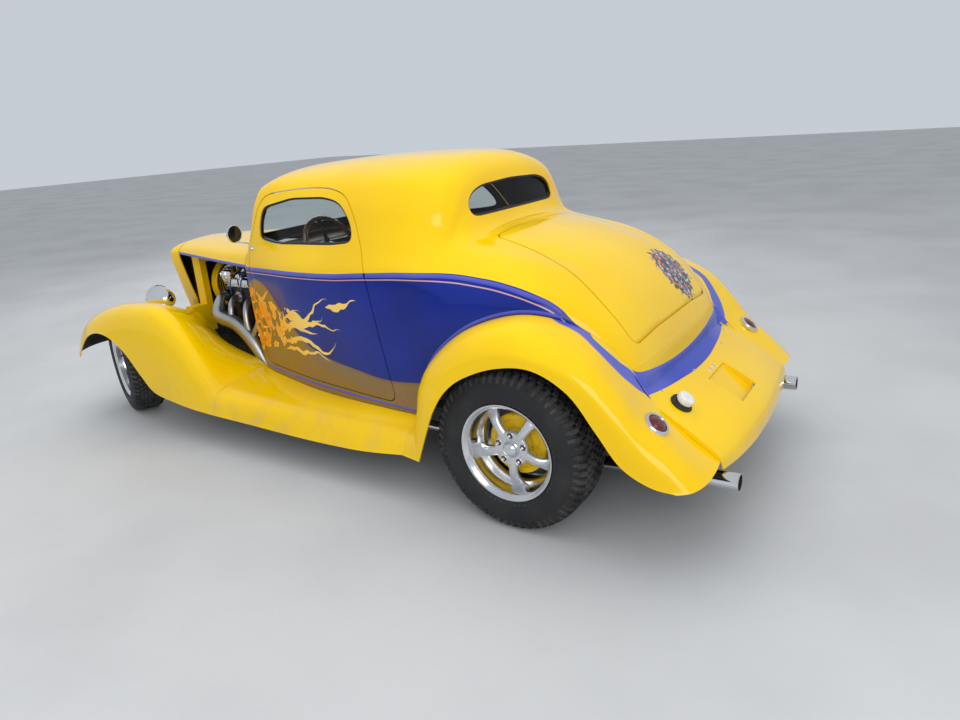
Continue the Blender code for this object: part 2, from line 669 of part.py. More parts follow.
# Doors: the same skin within the door outline, hinged on a hidden upright pin at the rear
DOOR_HINGE_SHARES = (0.246, 0.829, 0.5)
DOOR_TAB_SHARES = (0.36, 0.54)
door_hinge = (x_of(DOOR_HINGE_SHARES[0]), y_of(DOOR_HINGE_SHARES[1]), z_of(DOOR_HINGE_SHARES[2]))
for word, side in LEFT_RIGHT:
    pin = (door_hinge[0], side * door_hinge[1], door_hinge[2])
    door = part("door_" + word, moved(sheet_mesh(body_rows), pin), "blue", pin)
    thicken(door, 0, WALL)
    low, high = sorted(side * y_of(share) for share in DOOR_CUT_SHARES)
    tabs = [
        ((0, low, z_of(share)), (door_hinge[0] + TAB_REACH, high, z_of(share) + TAB_HEIGHT))
        for share in DOOR_TAB_SHARES
    ]
    boolean(door, with_tabs(door_outline, 1, low, high, tabs), "INTERSECT")
    boolean(door, side_prism(window_outline, side))
    pane = part("door_glass_" + word, moved(sheet_mesh(body_rows), pin), "glass", pin)
    thicken(pane, GLASS_DEPTH, GLASS_DEPTH + GLASS)
    boolean(pane, side_prism(inset(window_outline, FIT), side), "INTERSECT")

# Fixed glass: windshield and rear window
for name, outline, shares in (
    ("windshield_glass", windshield_outline, WINDSHIELD_CUT_SHARES),
    ("rear_glass", rear_window_outline, REAR_WINDOW_CUT_SHARES),
):
    pane = thicken(part(name, sheet_mesh(body_rows), "glass"), GLASS_DEPTH, GLASS_DEPTH + GLASS)
    boolean(pane, end_prism(inset(outline, FIT), shares), "INTERSECT")

# Deck lid, hinged across its front edge at the height of its crown
LID_HINGE_SHARES = (0.0975, 0.776)
LID_TAB_SHARE = 0.30
lid_hinge = (x_of(LID_HINGE_SHARES[0]), 0, z_of(LID_HINGE_SHARES[1]))
lid = thicken(part("deck_lid", moved(sheet_mesh(body_rows), lid_hinge), "yellow", lid_hinge), 0, WALL)
low, high = (z_of(share) for share in LID_CUT_SHARES)
lid_tabs = []
for _, side in LEFT_RIGHT:
    middle = side * y_of(LID_TAB_SHARE)
    tab_low = (lid_hinge[0] - TAB_REACH, middle - TAB_HEIGHT, low)
    lid_tabs.append((tab_low, (HALF_WIDTH, middle + TAB_HEIGHT, high)))
boolean(lid, with_tabs(lid_outline, 2, low, high, lid_tabs), "INTERSECT")

# Hood: two halves hinged along the middle, their rear edges a seam ahead of the cowl
HOOD_STEPS = 1
HOOD_CUT_SHARES = (0.60, 1.00)
hood_rows = surface(placed(HOOD_SHARES), HOOD_STEPS, 1)
hood_hinge = hood_rows[0][-1] + np.array((0, 0, SEAM))
for word, side in LEFT_RIGHT:
    half = part("hood_" + word, moved(sheet_mesh(hood_rows[::-1], side), hood_hinge), "yellow", hood_hinge)
    thicken(half, 0, HOOD_SHEET)
    middle_cut = sorted((-side * OVERRUN, side * SEAM / 2))
    low = (x_of(HOOD_CUT_SHARES[0]), middle_cut[0], z_of(HOOD_CUT_SHARES[0]))
    high = (x_of(HOOD_CUT_SHARES[1]), middle_cut[1], z_of(HOOD_CUT_SHARES[1]))
    boolean(half, helper(box(low, high)))

# Hood hinge: a thin rod under the gap between the halves, from the cowl to the grille shell
HINGE_ROD = SEAM / 2 - FIT
cowl_middle = body_rows[0][len(body_rows[0]) // 2]
rod_rear = (cowl_middle[0] + FIT, 0, cowl_middle[2] - HINGE_ROD)
rod_front = (hood_rows[-1][0][0] + SEAM - 2 * FIT, 0, hood_rows[-1][-1][2] - HOOD_SHEET / 2)
part("hood_hinge", rod(rod_rear, rod_front, HINGE_ROD), "chrome")

# Grille shell and the black core behind its opening
grille_rows = both_sides(surface(placed(GRILLE_SHARES), 1, 2))
grille_shell = thicken(part("grille_shell", sheet_mesh(grille_rows), "yellow"), 0, FENDER_SHEET)
hood_end = hood_rows[-1][0][0] + SEAM - FIT
behind = helper(box((hood_end - OVERRUN, -HALF_WIDTH, 0), (hood_end, HALF_WIDTH, HEIGHT)))
boolean(grille_shell, behind)
opening = scaled(GRILLE_OPENING_OUTLINE_SHARES, HALF_WIDTH, HEIGHT)
GRILLE_CUT_SHARES = (0.975, 1.10)
boolean(grille_shell, end_prism(opening, GRILLE_CUT_SHARES))
GRILLE_LAP = 0.012
core_top = FENDER_SHEET + TRIM_GAP
core = part("grille_insert", sheet_mesh(grille_rows), "black")
thicken(core, core_top, core_top + HOOD_SHEET)
boolean(core, end_prism(inset(opening, -GRILLE_LAP), GRILLE_CUT_SHARES), "INTERSECT")

# Fenders and running boards: pressed sheets, trimmed to the body's sides
FENDER_STEPS = 1
rear_fender_rows = surface(placed(REAR_FENDER_SHARES), FENDER_STEPS, 1)
front_fender_rows = surface(placed(FRONT_FENDER_SHARES), FENDER_STEPS, 1)
board_rows = surface(placed(RUNNING_BOARD_SHARES), 1, 1)
for point in board_rows[0]:
    point[0] = front_fender_rows[-1][0][0] - FIT
pan_rows = both_sides(surface(placed(PAN_SHARES), FENDER_STEPS, 1))
PAN_HALF_WIDTH_SHARE = 0.648
PAN_TRIM_SHARES = (-0.400, -0.155)
pan_side = y_of(PAN_HALF_WIDTH_SHARE)
body_trim = grown(body_rows, 2 * WALL)
for word, side in LEFT_RIGHT:
    for name, rows in (
        ("front_fender_", front_fender_rows),
        ("running_board_", board_rows),
        ("rear_fender_", rear_fender_rows),
    ):
        # rows run front to rear and points from the body outwards, so the order is turned
        fender = part(name + word, sheet_mesh([row[::-1] for row in rows], side), "yellow")
        thicken(fender, 0, FENDER_SHEET)
        if name != "front_fender_":
            boolean(fender, body_trim)
        if name == "rear_fender_":
            trim = sorted((0, side * pan_side))
            low = (x_of(PAN_TRIM_SHARES[0]), trim[0], 0)
            high = (x_of(PAN_TRIM_SHARES[1]), trim[1], HEIGHT)
            boolean(fender, helper(box(low, high)))
rear_pan = thicken(part("rear_pan", sheet_mesh(pan_rows), "yellow"), 0, FENDER_SHEET)
for _, side in LEFT_RIGHT:
    trim = sorted((side * (pan_side - FIT), side * HALF_WIDTH))
    boolean(rear_pan, helper(box((x_of(PAN_TRIM_SHARES[0]), trim[0], 0), (0, trim[1], HEIGHT))))

# Floor: flat under the cabin, raised behind it over the rear axle
FLOOR_SHARES = ((0.23, 0.2345), (0.19, 0.2345), (0.13, 0.40), (-0.13, 0.40))
FLOOR_ENDS_SHARES = (0.20, 0.63)
FLOOR_REAR_HALF_WIDTH = 0.540
FLOOR_EDGE_GAP = 0.0015
floor_line = [(x_of(a), z_of(b)) for a, b in FLOOR_SHARES]
floor_outline = floor_line + [(x, z - FLOOR_SHEET) for x, z in reversed(floor_line)]
floor = part("floor_pan", prism(floor_outline, 1, -FLOOR_REAR_HALF_WIDTH, FLOOR_REAR_HALF_WIDTH), "black")
floor_rear, floor_front = (x_of(share) for share in FLOOR_ENDS_SHARES)
sill = [row[0] for row in body_rows if floor_rear < row[0][0] < floor_front]
edge = [(point[0], point[1] - WALL - FLOOR_EDGE_GAP) for point in sill]
plan = edge + [(x, -y) for x, y in reversed(edge)]
floor_level = floor_line[0][1]
boolean(floor, helper(prism(plan, 2, floor_level - FLOOR_SHEET, floor_level)), "UNION")

# Firewall: a plate inside the front edge of the cowl
FIREWALL = 0.006
ring = body_rows[0]
wall_line = inset([(point[1], point[2]) for point in ring], WALL - 2 * FIT)
firewall_face = min(point[0] for point in ring)
firewall = part("firewall", prism(wall_line, 0, firewall_face - 2 * FIREWALL, firewall_face - FIREWALL), "yellow")

# Frame: two rails kicked up over the rear axle, with cross members
RAIL_SHARES = (
    (1.09, 0.300), (0.92, 0.285), (0.70, 0.232), (0.66, 0.2300), (0.19, 0.2300), (0.125, 0.385),
    (-0.10, 0.385), (-0.16, 0.330), (-0.22, 0.290),
)
rail_line = [(x_of(a), z_of(b)) for a, b in RAIL_SHARES]
rail_outline = rail_line + [(x, z - RAIL_DEPTH) for x, z in reversed(rail_line)]


def rail_top(x):
    return np.interp(x, [a for a, _ in reversed(rail_line)], [b for _, b in reversed(rail_line)])


frame = part("frame", prism(rail_outline, 1, RAIL_OUTER_Y - RAIL_WIDTH, RAIL_OUTER_Y), "black")
boolean(frame, helper(prism(rail_outline, 1, -RAIL_OUTER_Y, RAIL_WIDTH - RAIL_OUTER_Y)), "UNION")
CROSS_MEMBERS_SHARES = ((1.04, 0.213, 0.2686), (0.60, 0.165, 0.225), (0.30, 0.165, 0.225), (-0.19, 0.25, 0.30))
CROSS_MEMBER = 0.070
for place, low, high in CROSS_MEMBERS_SHARES:
    middle = x_of(place)
    member = box(
        (middle - CROSS_MEMBER / 2, -RAIL_OUTER_Y + RAIL_WIDTH / 2, z_of(low)),
        (middle + CROSS_MEMBER / 2, RAIL_OUTER_Y - RAIL_WIDTH / 2, z_of(high)),
    )
    boolean(frame, helper(member), "UNION")

# Wheels: a dropped barrel with rolled lips, five spokes and a hub, turned about local +Z
BARREL_SHARES = (
    (1.000, 0.500), (1.000, 0.467), (0.911, 0.436), (0.900, 0.130), (0.790, 0.000), (0.790, -0.180),
    (0.900, -0.310), (0.911, -0.436), (1.000, -0.467), (1.000, -0.500), (0.950, -0.500), (0.740, -0.200),
    (0.740, 0.010), (0.865, 0.150), (0.865, 0.420), (0.950, 0.500),
)
BEAD_SHARE = 0.911
SEAT_SHARES = (0.430, 0.461)
TYRE_SHARES = (
    (0.15, 0.452), (0.32, 0.490), (0.50, 0.500), (0.85, 0.430), (0.96, 0.365), (1.00, 0.200),
)
HUB_RADIUS = 0.058
HUB_BORE = 0.0207
BORE_SIDES = 28
SPOKES = 5
SPOKE_REACH_SHARE = 0.878
SPOKE_INSET = 0.050
SPOKE_WIDTH = 0.046
SPOKE_DEPTH = 0.026
CAP_RADIUS = 0.034
CAP_HEIGHT = 0.030
DRUM_RADIUS = 0.130
DRUM_DEPTH = 0.030
SPINDLE_RADIUS = 0.020
BORE_FLOOR = 0.012


def wheel(word, centre, steer, tyre_radius, tyre_width, rim_width):
    """The rim, its tyre and its brake drum, with local +Z pointing away from the car."""
    side = 1 if centre[1] > 0 else -1
    turn = (-side * math.pi / 2, 0, steer)

    def place(item):
        item.location = centre
        item.rotation_euler = turn
        return item

    barrel = [(r * RIM_RADIUS, z * rim_width) for r, z in BARREL_SHARES]
    rim = place(add_screw(part("wheel_" + word, turned(barrel), "polished"), WHEEL_TURNS))
    face = rim_width / 2 - SPOKE_INSET
    hub = rod((0, 0, face - 2 * SPOKE_DEPTH), (0, 0, face), HUB_RADIUS, ROD_SIDES)
    boolean(rim, place(helper(hub)), "UNION")
    reach = RIM_RADIUS * SPOKE_REACH_SHARE
    for i in range(SPOKES):
        angle = 2 * math.pi * (i + 0.25) / SPOKES
        spoke = box(
            (HUB_RADIUS / 2, -SPOKE_WIDTH / 2, face - SPOKE_DEPTH),
            (reach, SPOKE_WIDTH / 2, face - FIT),
        )
        spoke.transform(Matrix.Rotation(angle, 4, "Z"))
        boolean(rim, place(helper(spoke)), "UNION")
    cap = rod((0, 0, face - SPOKE_DEPTH), (0, 0, face + CAP_HEIGHT), CAP_RADIUS, ROD_SIDES)
    boolean(rim, place(helper(cap)), "UNION")
    bore = rod((0, 0, face - 3 * SPOKE_DEPTH), (0, 0, face - BORE_FLOOR), HUB_BORE, BORE_SIDES)
    boolean(rim, place(helper(bore)))

    bead = RIM_RADIUS * BEAD_SHARE + FIT
    flange = RIM_RADIUS + TRIM_GAP
    outline = [(bead, rim_width * SEAT_SHARES[0]), (flange, rim_width * SEAT_SHARES[1])]
    outline += [(bead + r * (tyre_radius - bead), z * tyre_width) for r, z in TYRE_SHARES]
    outline += [(r, -z) for r, z in reversed(outline)]
    place(add_screw(part("tyre_" + word, turned(outline), "rubber"), WHEEL_TURNS))

    back = face - 2 * SPOKE_DEPTH - FIT
    disc = [(DRUM_RADIUS, back), (DRUM_RADIUS, back - DRUM_DEPTH), (HUB_BORE, back - DRUM_DEPTH), (HUB_BORE, back)]
    place(add_screw(part("brake_" + word, turned(disc), "yellow"), WHEEL_TURNS))


rear_y = HALF_WIDTH - FENDER_ROOM - REAR_TYRE_WIDTH / 2
for word, side in LEFT_RIGHT:
    wheel("rear_" + word, (0, side * rear_y, REAR_TYRE_RADIUS), 0, REAR_TYRE_RADIUS, REAR_TYRE_WIDTH, REAR_RIM_WIDTH)
    kingpin = Vector((WHEELBASE, side * KINGPIN_Y, FRONT_TYRE_RADIUS))
    out = Matrix.Rotation(STEER_REST, 3, "Z") @ Vector((0, side * SCRUB, 0))
    wheel("front_" + word, kingpin + out, STEER_REST, FRONT_TYRE_RADIUS, FRONT_TYRE_WIDTH, FRONT_RIM_WIDTH)

# Rear axle: a tube with a middle housing, hung from the rails on two pads
AXLE_TUBE = 0.036
PINION_RADIUS = 0.050
HOUSING_RADIUS = 0.105
HOUSING_WIDTH = 0.200
PAD_WIDTH = 0.050
rear_face = rear_y + REAR_RIM_WIDTH / 2 - SPOKE_INSET
rear_back = rear_face - 2 * SPOKE_DEPTH - DRUM_DEPTH - SEAM
axle_middle = (0, 0, REAR_TYRE_RADIUS)
rear_axle = part("rear_axle", rod((0, -rear_back, 0), (0, rear_back, 0), AXLE_TUBE), "iron", axle_middle)
rail_floor = rail_line[5][1] - RAIL_DEPTH - FIT
for start, end, radius in (
    ((0, -HOUSING_WIDTH / 2, 0), (0, HOUSING_WIDTH / 2, 0), HOUSING_RADIUS),
    ((0, 0, 0), (HOUSING_RADIUS + OVERRUN, 0, 0), PINION_RADIUS),
    ((0, -rear_face + BORE_FLOOR + SEAM, 0), (0, rear_face - BORE_FLOOR - SEAM, 0), SPINDLE_RADIUS),
):
    boolean(rear_axle, helper(rod(start, end, radius, BORE_SIDES), axle_middle), "UNION")
for _, side in LEFT_RIGHT:
    ends = sorted((side * (RAIL_OUTER_Y - RAIL_WIDTH), side * (RAIL_OUTER_Y - RAIL_WIDTH + PAD_WIDTH)))
    pad = box((-PAD_WIDTH, ends[0], REAR_TYRE_RADIUS), (PAD_WIDTH, ends[1], rail_floor))
    boolean(rear_axle, helper(pad), "UNION")

# Front axle: a dropped beam with an eye and a kingpin at each end, hung from the rails
BEAM = 0.045
BEAM_DROP = 0.060
SPRING_PAD = 0.015
EYE_RADIUS = 0.028
EYE_RISE = 0.030
KINGPIN_RADIUS = 0.011
FORK_PLATE = 0.016
FORK_RADIUS = 0.030
FORK_ARM = 0.021
PIN_GAP = 0.0005
hub_z = FRONT_TYRE_RADIUS
beam_floor = hub_z - BEAM_DROP - BEAM / 2
beam_top = beam_floor + BEAM
eye_top = hub_z + EYE_RISE
beam_low = (WHEELBASE - BEAM / 2, -KINGPIN_Y, beam_floor)
beam_high = (WHEELBASE + BEAM / 2, KINGPIN_Y, beam_top)
front_axle = part("front_axle", box(beam_low, beam_high), "iron")
before, after = rail_line[0], rail_line[1]
along = (WHEELBASE - SPRING_PAD - before[0]) / (after[0] - before[0])
front_rail_floor = before[1] + along * (after[1] - before[1]) - RAIL_DEPTH - FIT
for _, side in LEFT_RIGHT:
    y = side * KINGPIN_Y
    low, high = (WHEELBASE, y, beam_floor), (WHEELBASE, y, eye_top)
    boolean(front_axle, helper(rod(low, high, EYE_RADIUS)), "UNION")
    low, high = (WHEELBASE, y, beam_floor - FORK_PLATE), (WHEELBASE, y, eye_top + FORK_PLATE)
    boolean(front_axle, helper(rod(low, high, KINGPIN_RADIUS)), "UNION")
    ends = sorted((side * (RAIL_OUTER_Y - RAIL_WIDTH), side * RAIL_OUTER_Y))
    low = (WHEELBASE - SPRING_PAD, ends[0], beam_floor + BEAM / 2)
    high = (WHEELBASE + SPRING_PAD, ends[1], front_rail_floor)
    pad = box(low, high)
    boolean(front_axle, helper(pad), "UNION")

# Knuckles: a fork around the axle's eye, a web outside it and the wheel's spindle
WEB = 0.012
WEB_HALF_LENGTH = 0.030
front_face = FRONT_RIM_WIDTH / 2 - SPOKE_INSET
spindle_end = SCRUB + front_face - BORE_FLOOR - SEAM
for word, side in LEFT_RIGHT:
    place = (WHEELBASE, side * KINGPIN_Y, 0)
    turn = (0, 0, STEER_REST)
    low = beam_floor - FORK_PLATE - PIN_GAP
    high = eye_top + FORK_PLATE + PIN_GAP
    web = sorted((side * (EYE_RADIUS + SEAM - PIN_GAP), side * (EYE_RADIUS + SEAM + WEB)))
    knuckle = part("knuckle_" + word, box((-WEB_HALF_LENGTH, web[0], low), (WEB_HALF_LENGTH, web[1], high)), "iron")
    pieces = [
        rod((0, 0, low), (0, 0, beam_floor - PIN_GAP), FORK_RADIUS),
        rod((0, 0, eye_top + PIN_GAP), (0, 0, high), FORK_RADIUS),
        rod((0, side * (EYE_RADIUS + SEAM), hub_z), (0, side * spindle_end, hub_z), SPINDLE_RADIUS, BORE_SIDES),
    ]
    for level in (low, eye_top + PIN_GAP):
        arm = sorted((0, side * (EYE_RADIUS + SEAM + WEB / 2)))
        top = level + FORK_PLATE
        pieces.append(box((-FORK_ARM, arm[0], level), (FORK_ARM, arm[1], top)))
    for piece in pieces:
        boolean(knuckle, helper(piece, place, turn), "UNION")
    bore = rod((0, 0, low - OVERRUN), (0, 0, high + OVERRUN), KINGPIN_RADIUS + PIN_GAP)
    boolean(knuckle, helper(bore, place, turn))
    knuckle.location = place
    knuckle.rotation_euler = turn

# Engine: a plain block with heads, its covers, intake and drive in front
ENGINE_SHARES = ((0.665, 0.850), (0.270, 0.490))
BLOCK_HALF_WIDTH = 0.170
HEAD_HALF_WIDTH = 0.255
HEAD_SHARES = (0.430, 0.500)
COVER_RADIUS = 0.055
COVER_Y = 0.185
INTAKE_HALF_WIDTH = 0.090
CLEANER_SIDES = 28
CLEANER_RADIUS = 0.150
CLEANER_HEIGHT = 0.060
(engine_rear, engine_front), (engine_low, engine_high) = ENGINE_SHARES
engine_rear, engine_front = x_of(engine_rear), x_of(engine_front)
engine_low, engine_high = z_of(engine_low), z_of(engine_high)
head_low, head_high = z_of(HEAD_SHARES[0]), z_of(HEAD_SHARES[1])
engine = part(
    "engine_block",
    box((engine_rear, -BLOCK_HALF_WIDTH, engine_low), (engine_front, BLOCK_HALF_WIDTH, engine_high)),
    "iron",
)
heads = box((engine_rear + OVERRUN, -HEAD_HALF_WIDTH, head_low), (engine_front - OVERRUN, HEAD_HALF_WIDTH, head_high))
boolean(engine, helper(heads), "UNION")
mount_low = rail_top(engine_rear) - OVERRUN
mounts = box(
    (engine_rear + 2 * OVERRUN, -RAIL_OUTER_Y + RAIL_WIDTH + FIT, mount_low),
    (engine_rear + 3 * OVERRUN, RAIL_OUTER_Y - RAIL_WIDTH - FIT, engine_low + OVERRUN),
)
boolean(engine, helper(mounts), "UNION")
for word, side in LEFT_RIGHT:
    low = head_high + FIT
    cover = box(
        (engine_rear + OVERRUN, side * COVER_Y - COVER_RADIUS, low),
        (engine_front - OVERRUN, side * COVER_Y + COVER_RADIUS, low + COVER_RADIUS),
    )
    part("valve_cover_" + word, cover, "chrome")
engine_middle = (engine_rear + engine_front) / 2
intake_top = head_high + COVER_RADIUS + OVERRUN
intake = part(
    "intake",
    box(
        (engine_rear + 2 * OVERRUN, -INTAKE_HALF_WIDTH, head_high + FIT),
        (engine_front - 2 * OVERRUN, INTAKE_HALF_WIDTH, intake_top),
    ),
    "polished",
)
cleaner = rod(
    (engine_middle, 0, intake_top - FIT),
    (engine_middle, 0, intake_top + CLEANER_HEIGHT),
    CLEANER_RADIUS,
    CLEANER_SIDES,
)
boolean(intake, helper(cleaner), "UNION")

# Radiator core and the painted posts that carry it, behind the grille shell
POSTS_SHARES = (0.920, 0.945)
CORE_SHARES = (0.950, 0.964)
CORE_HEIGHT_SHARES = (0.300, 0.620)
CORE_HALF_WIDTH = 0.185
POST = 0.045
FOOT_HEIGHT = 0.180
post_rear, post_front = (x_of(share) for share in POSTS_SHARES)
post_floor = rail_top(post_front) + FIT
post_top = z_of(CORE_HEIGHT_SHARES[1])
post_side = RAIL_OUTER_Y - FIT
stand = part(
    "radiator_support",
    box((post_rear, -CORE_HALF_WIDTH - POST, post_top - POST), (post_front, CORE_HALF_WIDTH + POST, post_top)),
    "yellow",
)
for _, side in LEFT_RIGHT:
    ends = sorted((side * CORE_HALF_WIDTH, side * (CORE_HALF_WIDTH + POST)))
    boolean(stand, helper(box((post_rear, ends[0], post_floor), (post_front, ends[1], post_top))), "UNION")
    ends = sorted((side * CORE_HALF_WIDTH, side * post_side))
    foot_top = post_floor + FOOT_HEIGHT
    boolean(stand, helper(box((post_rear, ends[0], post_floor), (post_front, ends[1], foot_top))), "UNION")
core_rear, core_front = (x_of(share) for share in CORE_SHARES)
core_low = (post_front + FIT, -CORE_HALF_WIDTH - POST / 2, z_of(CORE_HEIGHT_SHARES[0]))
core_high = (core_front, CORE_HALF_WIDTH + POST / 2, post_top - FIT)
part("radiator", box(core_low, core_high), "black")

PIPE_STEPS = 2
PIPE_SIDES = 8

# Fan: a ring with a hub and four arms, held to the core's rear face
FAN_RADIUS = 0.170
FAN_RING = 0.012
FAN_DEPTH = 0.050
FAN_HEIGHT_SHARE = 0.480
FAN_ARMS = 4
fan_centre = Vector((post_rear - FIT, 0, z_of(FAN_HEIGHT_SHARE)))
ring_profile = [
    (FAN_RADIUS, FAN_DEPTH / 2), (FAN_RADIUS, -FAN_DEPTH / 2),
    (FAN_RADIUS - FAN_RING, -FAN_DEPTH / 2), (FAN_RADIUS - FAN_RING, FAN_DEPTH / 2),
]
fan = add_screw(part("fan_shroud", turned(ring_profile), "yellow"), WHEEL_TURNS)
fan_place = fan_centre - Vector((FAN_DEPTH / 2, 0, 0))
fan_turn = (0, math.pi / 2, 0)
fan.location = fan_place
fan.rotation_euler = fan_turn
hub = rod((0, 0, -FAN_DEPTH / 2), (0, 0, FAN_DEPTH / 2), FAN_DEPTH / 2)
boolean(fan, helper(hub, fan_place, fan_turn), "UNION")
for i in range(FAN_ARMS):
    arm = box((0, -FAN_RING, -FAN_RING), (FAN_RADIUS - FAN_RING / 2, FAN_RING, FAN_RING))
    arm.transform(Matrix.Rotation(2 * math.pi * (i + 0.5) / FAN_ARMS, 4, "Z"))
    boolean(fan, helper(arm, fan_place, fan_turn), "UNION")


def pipe(name, places, radii, sides, colour, side):
    """A bent tube: straight to the second place, then smooth, with a radius at each of them."""
    points = [np.array((x, side * y, z)) for x, y, z in places]
    sizes = [np.array((radius,)) for radius in radii]
    points = points[:1] + smooth(points[1:], PIPE_STEPS)
    sizes = sizes[:1] + smooth(sizes[1:], PIPE_STEPS)
    curve = bpy.data.curves.new("pipe", "CURVE")
    curve.dimensions = "3D"
    curve.bevel_depth = 1
    curve.bevel_resolution = (sides - 4) // 2
    curve.use_fill_caps = True
    line = curve.splines.new("POLY")
    line.points.add(len(points) - 1)
    for target, point, size in zip(line.points, points, sizes):
        target.co = (*point, 1)
        target.radius = size[0]
    found = bpy.data.objects.new(name, curve)
    collection.objects.link(found)
    curve.materials.append(material(colour, name))
    return found


# Exhausts: each side's header gathers into one pipe that runs back to a tip beside the pan
PIPE_RADIUS = 0.026
COLLECTOR_RADIUS = 0.042
TIP_RADIUS = 0.034
EXHAUST_SHARES = (
    (0.822, 0.360, 0.4650), (0.810, 0.425, 0.400), (0.755, 0.428, 0.370),
    (0.710, 0.4285, 0.305), (0.675, 0.4335, 0.200), (0.635, 0.470, 0.150), (0.560, 0.525, 0.143),
    (0.220, 0.545, 0.143), (0.100, 0.555, 0.143), (-0.120, 0.575, 0.155), (-0.210, 0.632, 0.190),
    (-0.296, 0.639, 0.194),
)
port = (x_of(EXHAUST_SHARES[0][0]), HEAD_HALF_WIDTH + FIT, z_of(EXHAUST_SHARES[0][2]))
exhaust_line = [port] + [(x_of(x), y_of(y), z_of(z)) for x, y, z in EXHAUST_SHARES]
exhaust_radii = [PIPE_RADIUS] * 2 + [COLLECTOR_RADIUS] * 3 + [PIPE_RADIUS] * 6 + [TIP_RADIUS] * 2
for word, side in LEFT_RIGHT:
    pipe("exhaust_" + word, exhaust_line, exhaust_radii, PIPE_SIDES, "chrome", side)

# Lamps, fuel cap and mirrors: small turned pieces seated on the sheet they are fixed to
HEADLAMP_SHARES = (0.966, 0.505, 0.4575)
HEADLAMP_RADIUS = 0.085
HEADLAMP_LENGTH = 0.150
HEADLAMP_STALK = 0.016
TAIL_LAMP_SHARES = (-0.200, 0.797, 0.3530)
TAIL_LAMP_FACING = (-0.62, 0.05, 0.78)
TAIL_LAMP_RADIUS = 0.052
TAIL_LAMP_HEIGHT = 0.022
FUEL_CAP_SHARES = (-0.2035, 0.500, 0.3440)
FUEL_CAP_FACING = (-0.60, 0.0, 0.80)
FUEL_CAP_RADIUS = 0.034
FUEL_CAP_HEIGHT = 0.045
FUEL_BASE_RADIUS = 0.046
FUEL_BASE_HEIGHT = 0.012
MIRROR_SHARES = (0.611, 0.690, 0.768)
MIRROR_FOOT_SHARES = (0.5975, 0.590, 0.7075)
MIRROR_RADIUS = 0.046
MIRROR_DEPTH = 0.030
MIRROR_STALK = 0.006


def seated(name, foot, facing, radius, height, colour, skin, sides=ROD_SIDES):
    """A round piece that stands on a sheet: it starts inside the sheet and is cut off above it."""
    foot, facing = Vector(foot), Vector(facing).normalized()
    start = foot - facing * FENDER_SHEET
    item = part(name, rod(start, foot + facing * height, radius, sides), colour)
    return boolean(item, skin)


def skin_cutter(rows, side, bottom):
    sheet = helper(sheet_mesh([row[::-1] for row in rows], side))
    return thicken(sheet, -TRIM_GAP, bottom)


for word, side in LEFT_RIGHT:
    flip = Vector((1, side, 1))
    fender_skin = skin_cutter(rear_fender_rows, side, OVERRUN / 2)
    lamp = Vector((x_of(TAIL_LAMP_SHARES[0]), y_of(TAIL_LAMP_SHARES[1]), z_of(TAIL_LAMP_SHARES[2]))) * flip
    facing = Vector(TAIL_LAMP_FACING) * flip
    seated("tail_light_" + word, lamp, facing, TAIL_LAMP_RADIUS, TAIL_LAMP_HEIGHT, "lens", fender_skin)

    front_skin = skin_cutter(front_fender_rows, side, OVERRUN)
    lamp = Vector((x_of(HEADLAMP_SHARES[0]), y_of(HEADLAMP_SHARES[1]), z_of(HEADLAMP_SHARES[2]))) * flip
    back = lamp - Vector((HEADLAMP_LENGTH / 2, 0, 0))
    front = lamp + Vector((HEADLAMP_LENGTH / 2, 0, 0))
    bowl = part("headlight_" + word, rod(back, front, HEADLAMP_RADIUS / 2, WHEEL_TURNS // 2, HEADLAMP_RADIUS), "chrome")
    foot = lamp - Vector((0, 0, HEADLAMP_RADIUS))
    boolean(bowl, helper(rod(foot, lamp, HEADLAMP_STALK)), "UNION")
    boolean(bowl, front_skin)

    pin = Vector(door_hinge) * flip
    head = Vector((x_of(MIRROR_SHARES[0]), y_of(MIRROR_SHARES[1]), z_of(MIRROR_SHARES[2]))) * flip
    foot = Vector((x_of(MIRROR_FOOT_SHARES[0]), y_of(MIRROR_FOOT_SHARES[1]), z_of(MIRROR_FOOT_SHARES[2]))) * flip
    shell = rod(head - Vector((MIRROR_DEPTH / 2, 0, 0)), head + Vector((MIRROR_DEPTH / 2, 0, 0)), MIRROR_RADIUS)
    mirror = part("mirror_" + word, moved(shell, pin), "chrome", pin)
    stalk = rod(foot, head - Vector((0, 0, MIRROR_RADIUS / 2)), MIRROR_STALK)
    boolean(mirror, helper(stalk), "UNION")
    boolean(mirror, grown(body_rows, 2 * WALL))

# Licence recess: a flat-bottomed pocket let into the pan
PLATE_SHARES = (-0.231, 0.3034)
PLATE_LENGTH = 0.160
PLATE_WIDTH = 0.235
PLATE_SLOPE = math.radians(36.4)
pan = bpy.data.objects["rear_pan"]
plate = np.array((x_of(PLATE_SHARES[0]), z_of(PLATE_SHARES[1])))
down = np.array((-math.cos(PLATE_SLOPE), -math.sin(PLATE_SLOPE)))
out = np.array((down[1], -down[0]))
pan_middle = sorted((row[len(row) // 2][0], row[len(row) // 2][2]) for row in pan_rows)


def pocket(margin, bottom, top, lean=0):
    """A box between the plate's plane and the pan, with its top this far from the pan.

    Seen from the side, its lower wall leans out by this share of its height.
    """
    ends = [plate + sign * down * (PLATE_LENGTH / 2 + margin) for sign in (-1, 0, 1)]
    outline = [(ends[0] + out * bottom), (ends[2] + out * bottom)]
    for end, share in zip(reversed(ends), (lean, 0, 0)):
        level = np.interp(end[0], *zip(*pan_middle)) + top
        outline.append((end[0] - share * (level - end[1]), level))
    return helper(prism(outline, 1, -PLATE_WIDTH / 2 - margin, PLATE_WIDTH / 2 + margin))


boolean(pan, pocket(FENDER_SHEET, -FENDER_SHEET, -FENDER_SHEET / 2), "UNION")
boolean(pan, pocket(0, 0, OVERRUN, math.tan(PLATE_SLOPE)))

